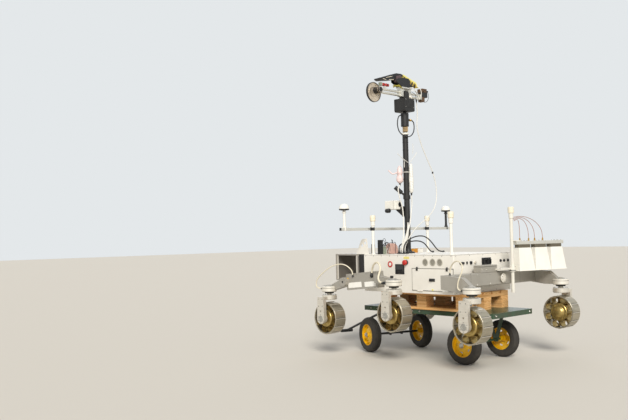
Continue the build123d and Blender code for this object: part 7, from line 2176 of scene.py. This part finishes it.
@dataclass
class HandCart:
    """Grooved tyres, rim nuts, axle caps and the handle's grip."""

    wheel_r: float = 157.5
    wheel_w: float = 85.0
    bead_r: float = 95.0
    kingpin: float = 236.0
    steer: float = -18.0
    track: float = 270.0
    rear_x: float = -730.0

    def place(self, key: str) -> Matrix:
        """Where a wheel stands, its outer side to its own +Y.

        Args:
            key: Letters of the wheel.

        Returns:
            The matrix of its middle.
        """
        side = 1 if key.endswith("l") else -1
        flip = Matrix.Identity(4) if side > 0 else Matrix.Rotation(math.pi, 4, "Z")
        if key.startswith("f"):
            turn = Matrix.Rotation(math.radians(self.steer), 4, "Z")
            return moved(self.kingpin, 0, self.wheel_r) @ turn @ moved(0, side * self.track, 0) @ flip
        return moved(self.rear_x, side * self.track, self.wheel_r) @ flip

    def tyre(self) -> Piece:
        """One tyre at the origin with four grooves round its tread.

        Returns:
            The tyre.
        """
        half, r = self.wheel_w / 2, self.wheel_r
        profile = [(-half + 10, self.bead_r), (-half + 2, 108), (-half, 124), (-half + 4, 142),
            (-24, 153), (-20, 153.6), (-17, r - 6), (-13, r - 0.6), (-5, r), (-2.5, r - 6), (2.5, r - 6),
            (5, r), (13, r - 0.6), (17, r - 6), (20, 153.6), (24, 153), (half - 4, 142), (half, 124),
            (half - 2, 108), (half - 10, self.bead_r)]
        return BENCH.lathe("tyre", profile, ORIGIN, Along.LEFT, steps=32, closed=True, smooth=28)

    def hub(self) -> tuple[Piece, Piece]:
        """Nuts round the rim's middle and the axle cap, outer side to +Y.

        Returns:
            The nuts joined with the cap, and the valve.
        """
        nuts = BENCH.bolts("rim_nuts", 9, 6, ring(5, 36, (0, 14, 0), "Y", 20), Along.LEFT)
        cap = BENCH.lathe("axle_cap", [(38, 22), (41, 22), (44, 17), (46, 15), (50, 15), (52, 12), (52, 3)],
            ORIGIN, Along.LEFT, 24)
        valve = BENCH.lathe("valve", [(0, 3.5), (10, 3.5), (11, 2.6), (18, 2.6), (19, 1.6)], (0, 20, -76),
            Along.LEFT, 12)
        return BENCH.join("rim_nuts", [nuts, cap]), valve

    def build(self) -> None:
        """Model one tyre and its nuts, copy them to the four wheels, and dress the frame."""
        gear = RunningGear()
        tyre = self.tyre()
        nuts, valve = self.hub()
        for key in ("fl", "fr", "rl", "rr"):
            for source, finish, slot, replaced in ((tyre, Kit.TYRE, "tyre_rubber", ("cart_tyre_" + key,)),
                    (nuts, Kit.SCREW, "yellow_paint", ()), (valve, Kit.BLACK_PLASTIC, "tyre_rubber", ())):
                twin = gear.copy_to(source, f"cart_{source.name}_{key}", ORIGIN)
                twin.data.transform(self.place(key))
                BENCH.dress(twin, finish, slot, *replaced, body="cart_wheel_" + key)
        for source in (tyre, nuts, valve):
            bpy.data.objects.remove(source)
        left, right = Along.LEFT.turn(), Along.RIGHT.turn()
        spots = [moved(x + dx, 285, 404) @ left for x in (-730, -250, 236) for dx in (-38, 38)]
        spots += [moved(x + dx, -285, 404) @ right for x in (-730, -250, 236) for dx in (-38, 38)]
        spots += [moved(-1020, y, 404) @ Along.BACK.turn() for y in (-240, 240)]
        BENCH.dress(BENCH.bolts("cart_bolts", 10, 6, spots), Kit.SCREW, "green_paint")
        self.grip()
        log.info("hand cart: 4 tyres")

    def grip(self) -> None:
        """Ribbed rubber grip on the handle's bow."""
        ribs = []
        for k in range(13):
            y = -63 + k * 10
            ribs += [(y, 15.4), (y + 2, 16.2), (y + 5, 16.2), (y + 7, 15.4)]
        grip = BENCH.lathe("grip", [(-66, 12), (-66, 15.6), *ribs, (66, 15.6), (66, 12)], ORIGIN,
            Along.LEFT, 24)
        turn = (Matrix.Rotation(math.radians(self.steer), 4, "Z") @ moved(170, 0, 352)
            @ Matrix.Rotation(math.radians(18.5), 4, "Y") @ moved(879.8, 0, 0))
        grip.data.transform(moved(self.kingpin, 0, 0) @ turn)
        BENCH.dress(grip, Kit.RUBBER, "black_paint", body=Body.HANDLE)


def main() -> None:
    """Build the studio, the cords and every sub-assembly in order."""
    logging.basicConfig(level=logging.INFO, format="%(name)s: %(message)s")
    studio = Studio()
    studio.set_camera()
    Leads().build()
    studio.build()
    Dressing().build()
    RunningGear().build()
    BodyBox().build()
    FaceFittings().build()
    DeckUnits().build()
    for name, x, y in (("post_front_left", 139, 380), ("post_rear_left", -714, 380),
            ("post_front_right", 139, -380)):
        Post(name, x, y, 889.0).build()
    Crossbar().build()
    Radar().build()
    Mast().build()
    MastCamera().build()
    SensorHead().build()
    SideBogie(1).build()
    SideBogie(-1).build()
    RearBogie().build()
    FrontBox().build()
    Pallet().build()
    HandCart().build()


if __name__ == "__main__":
    main()
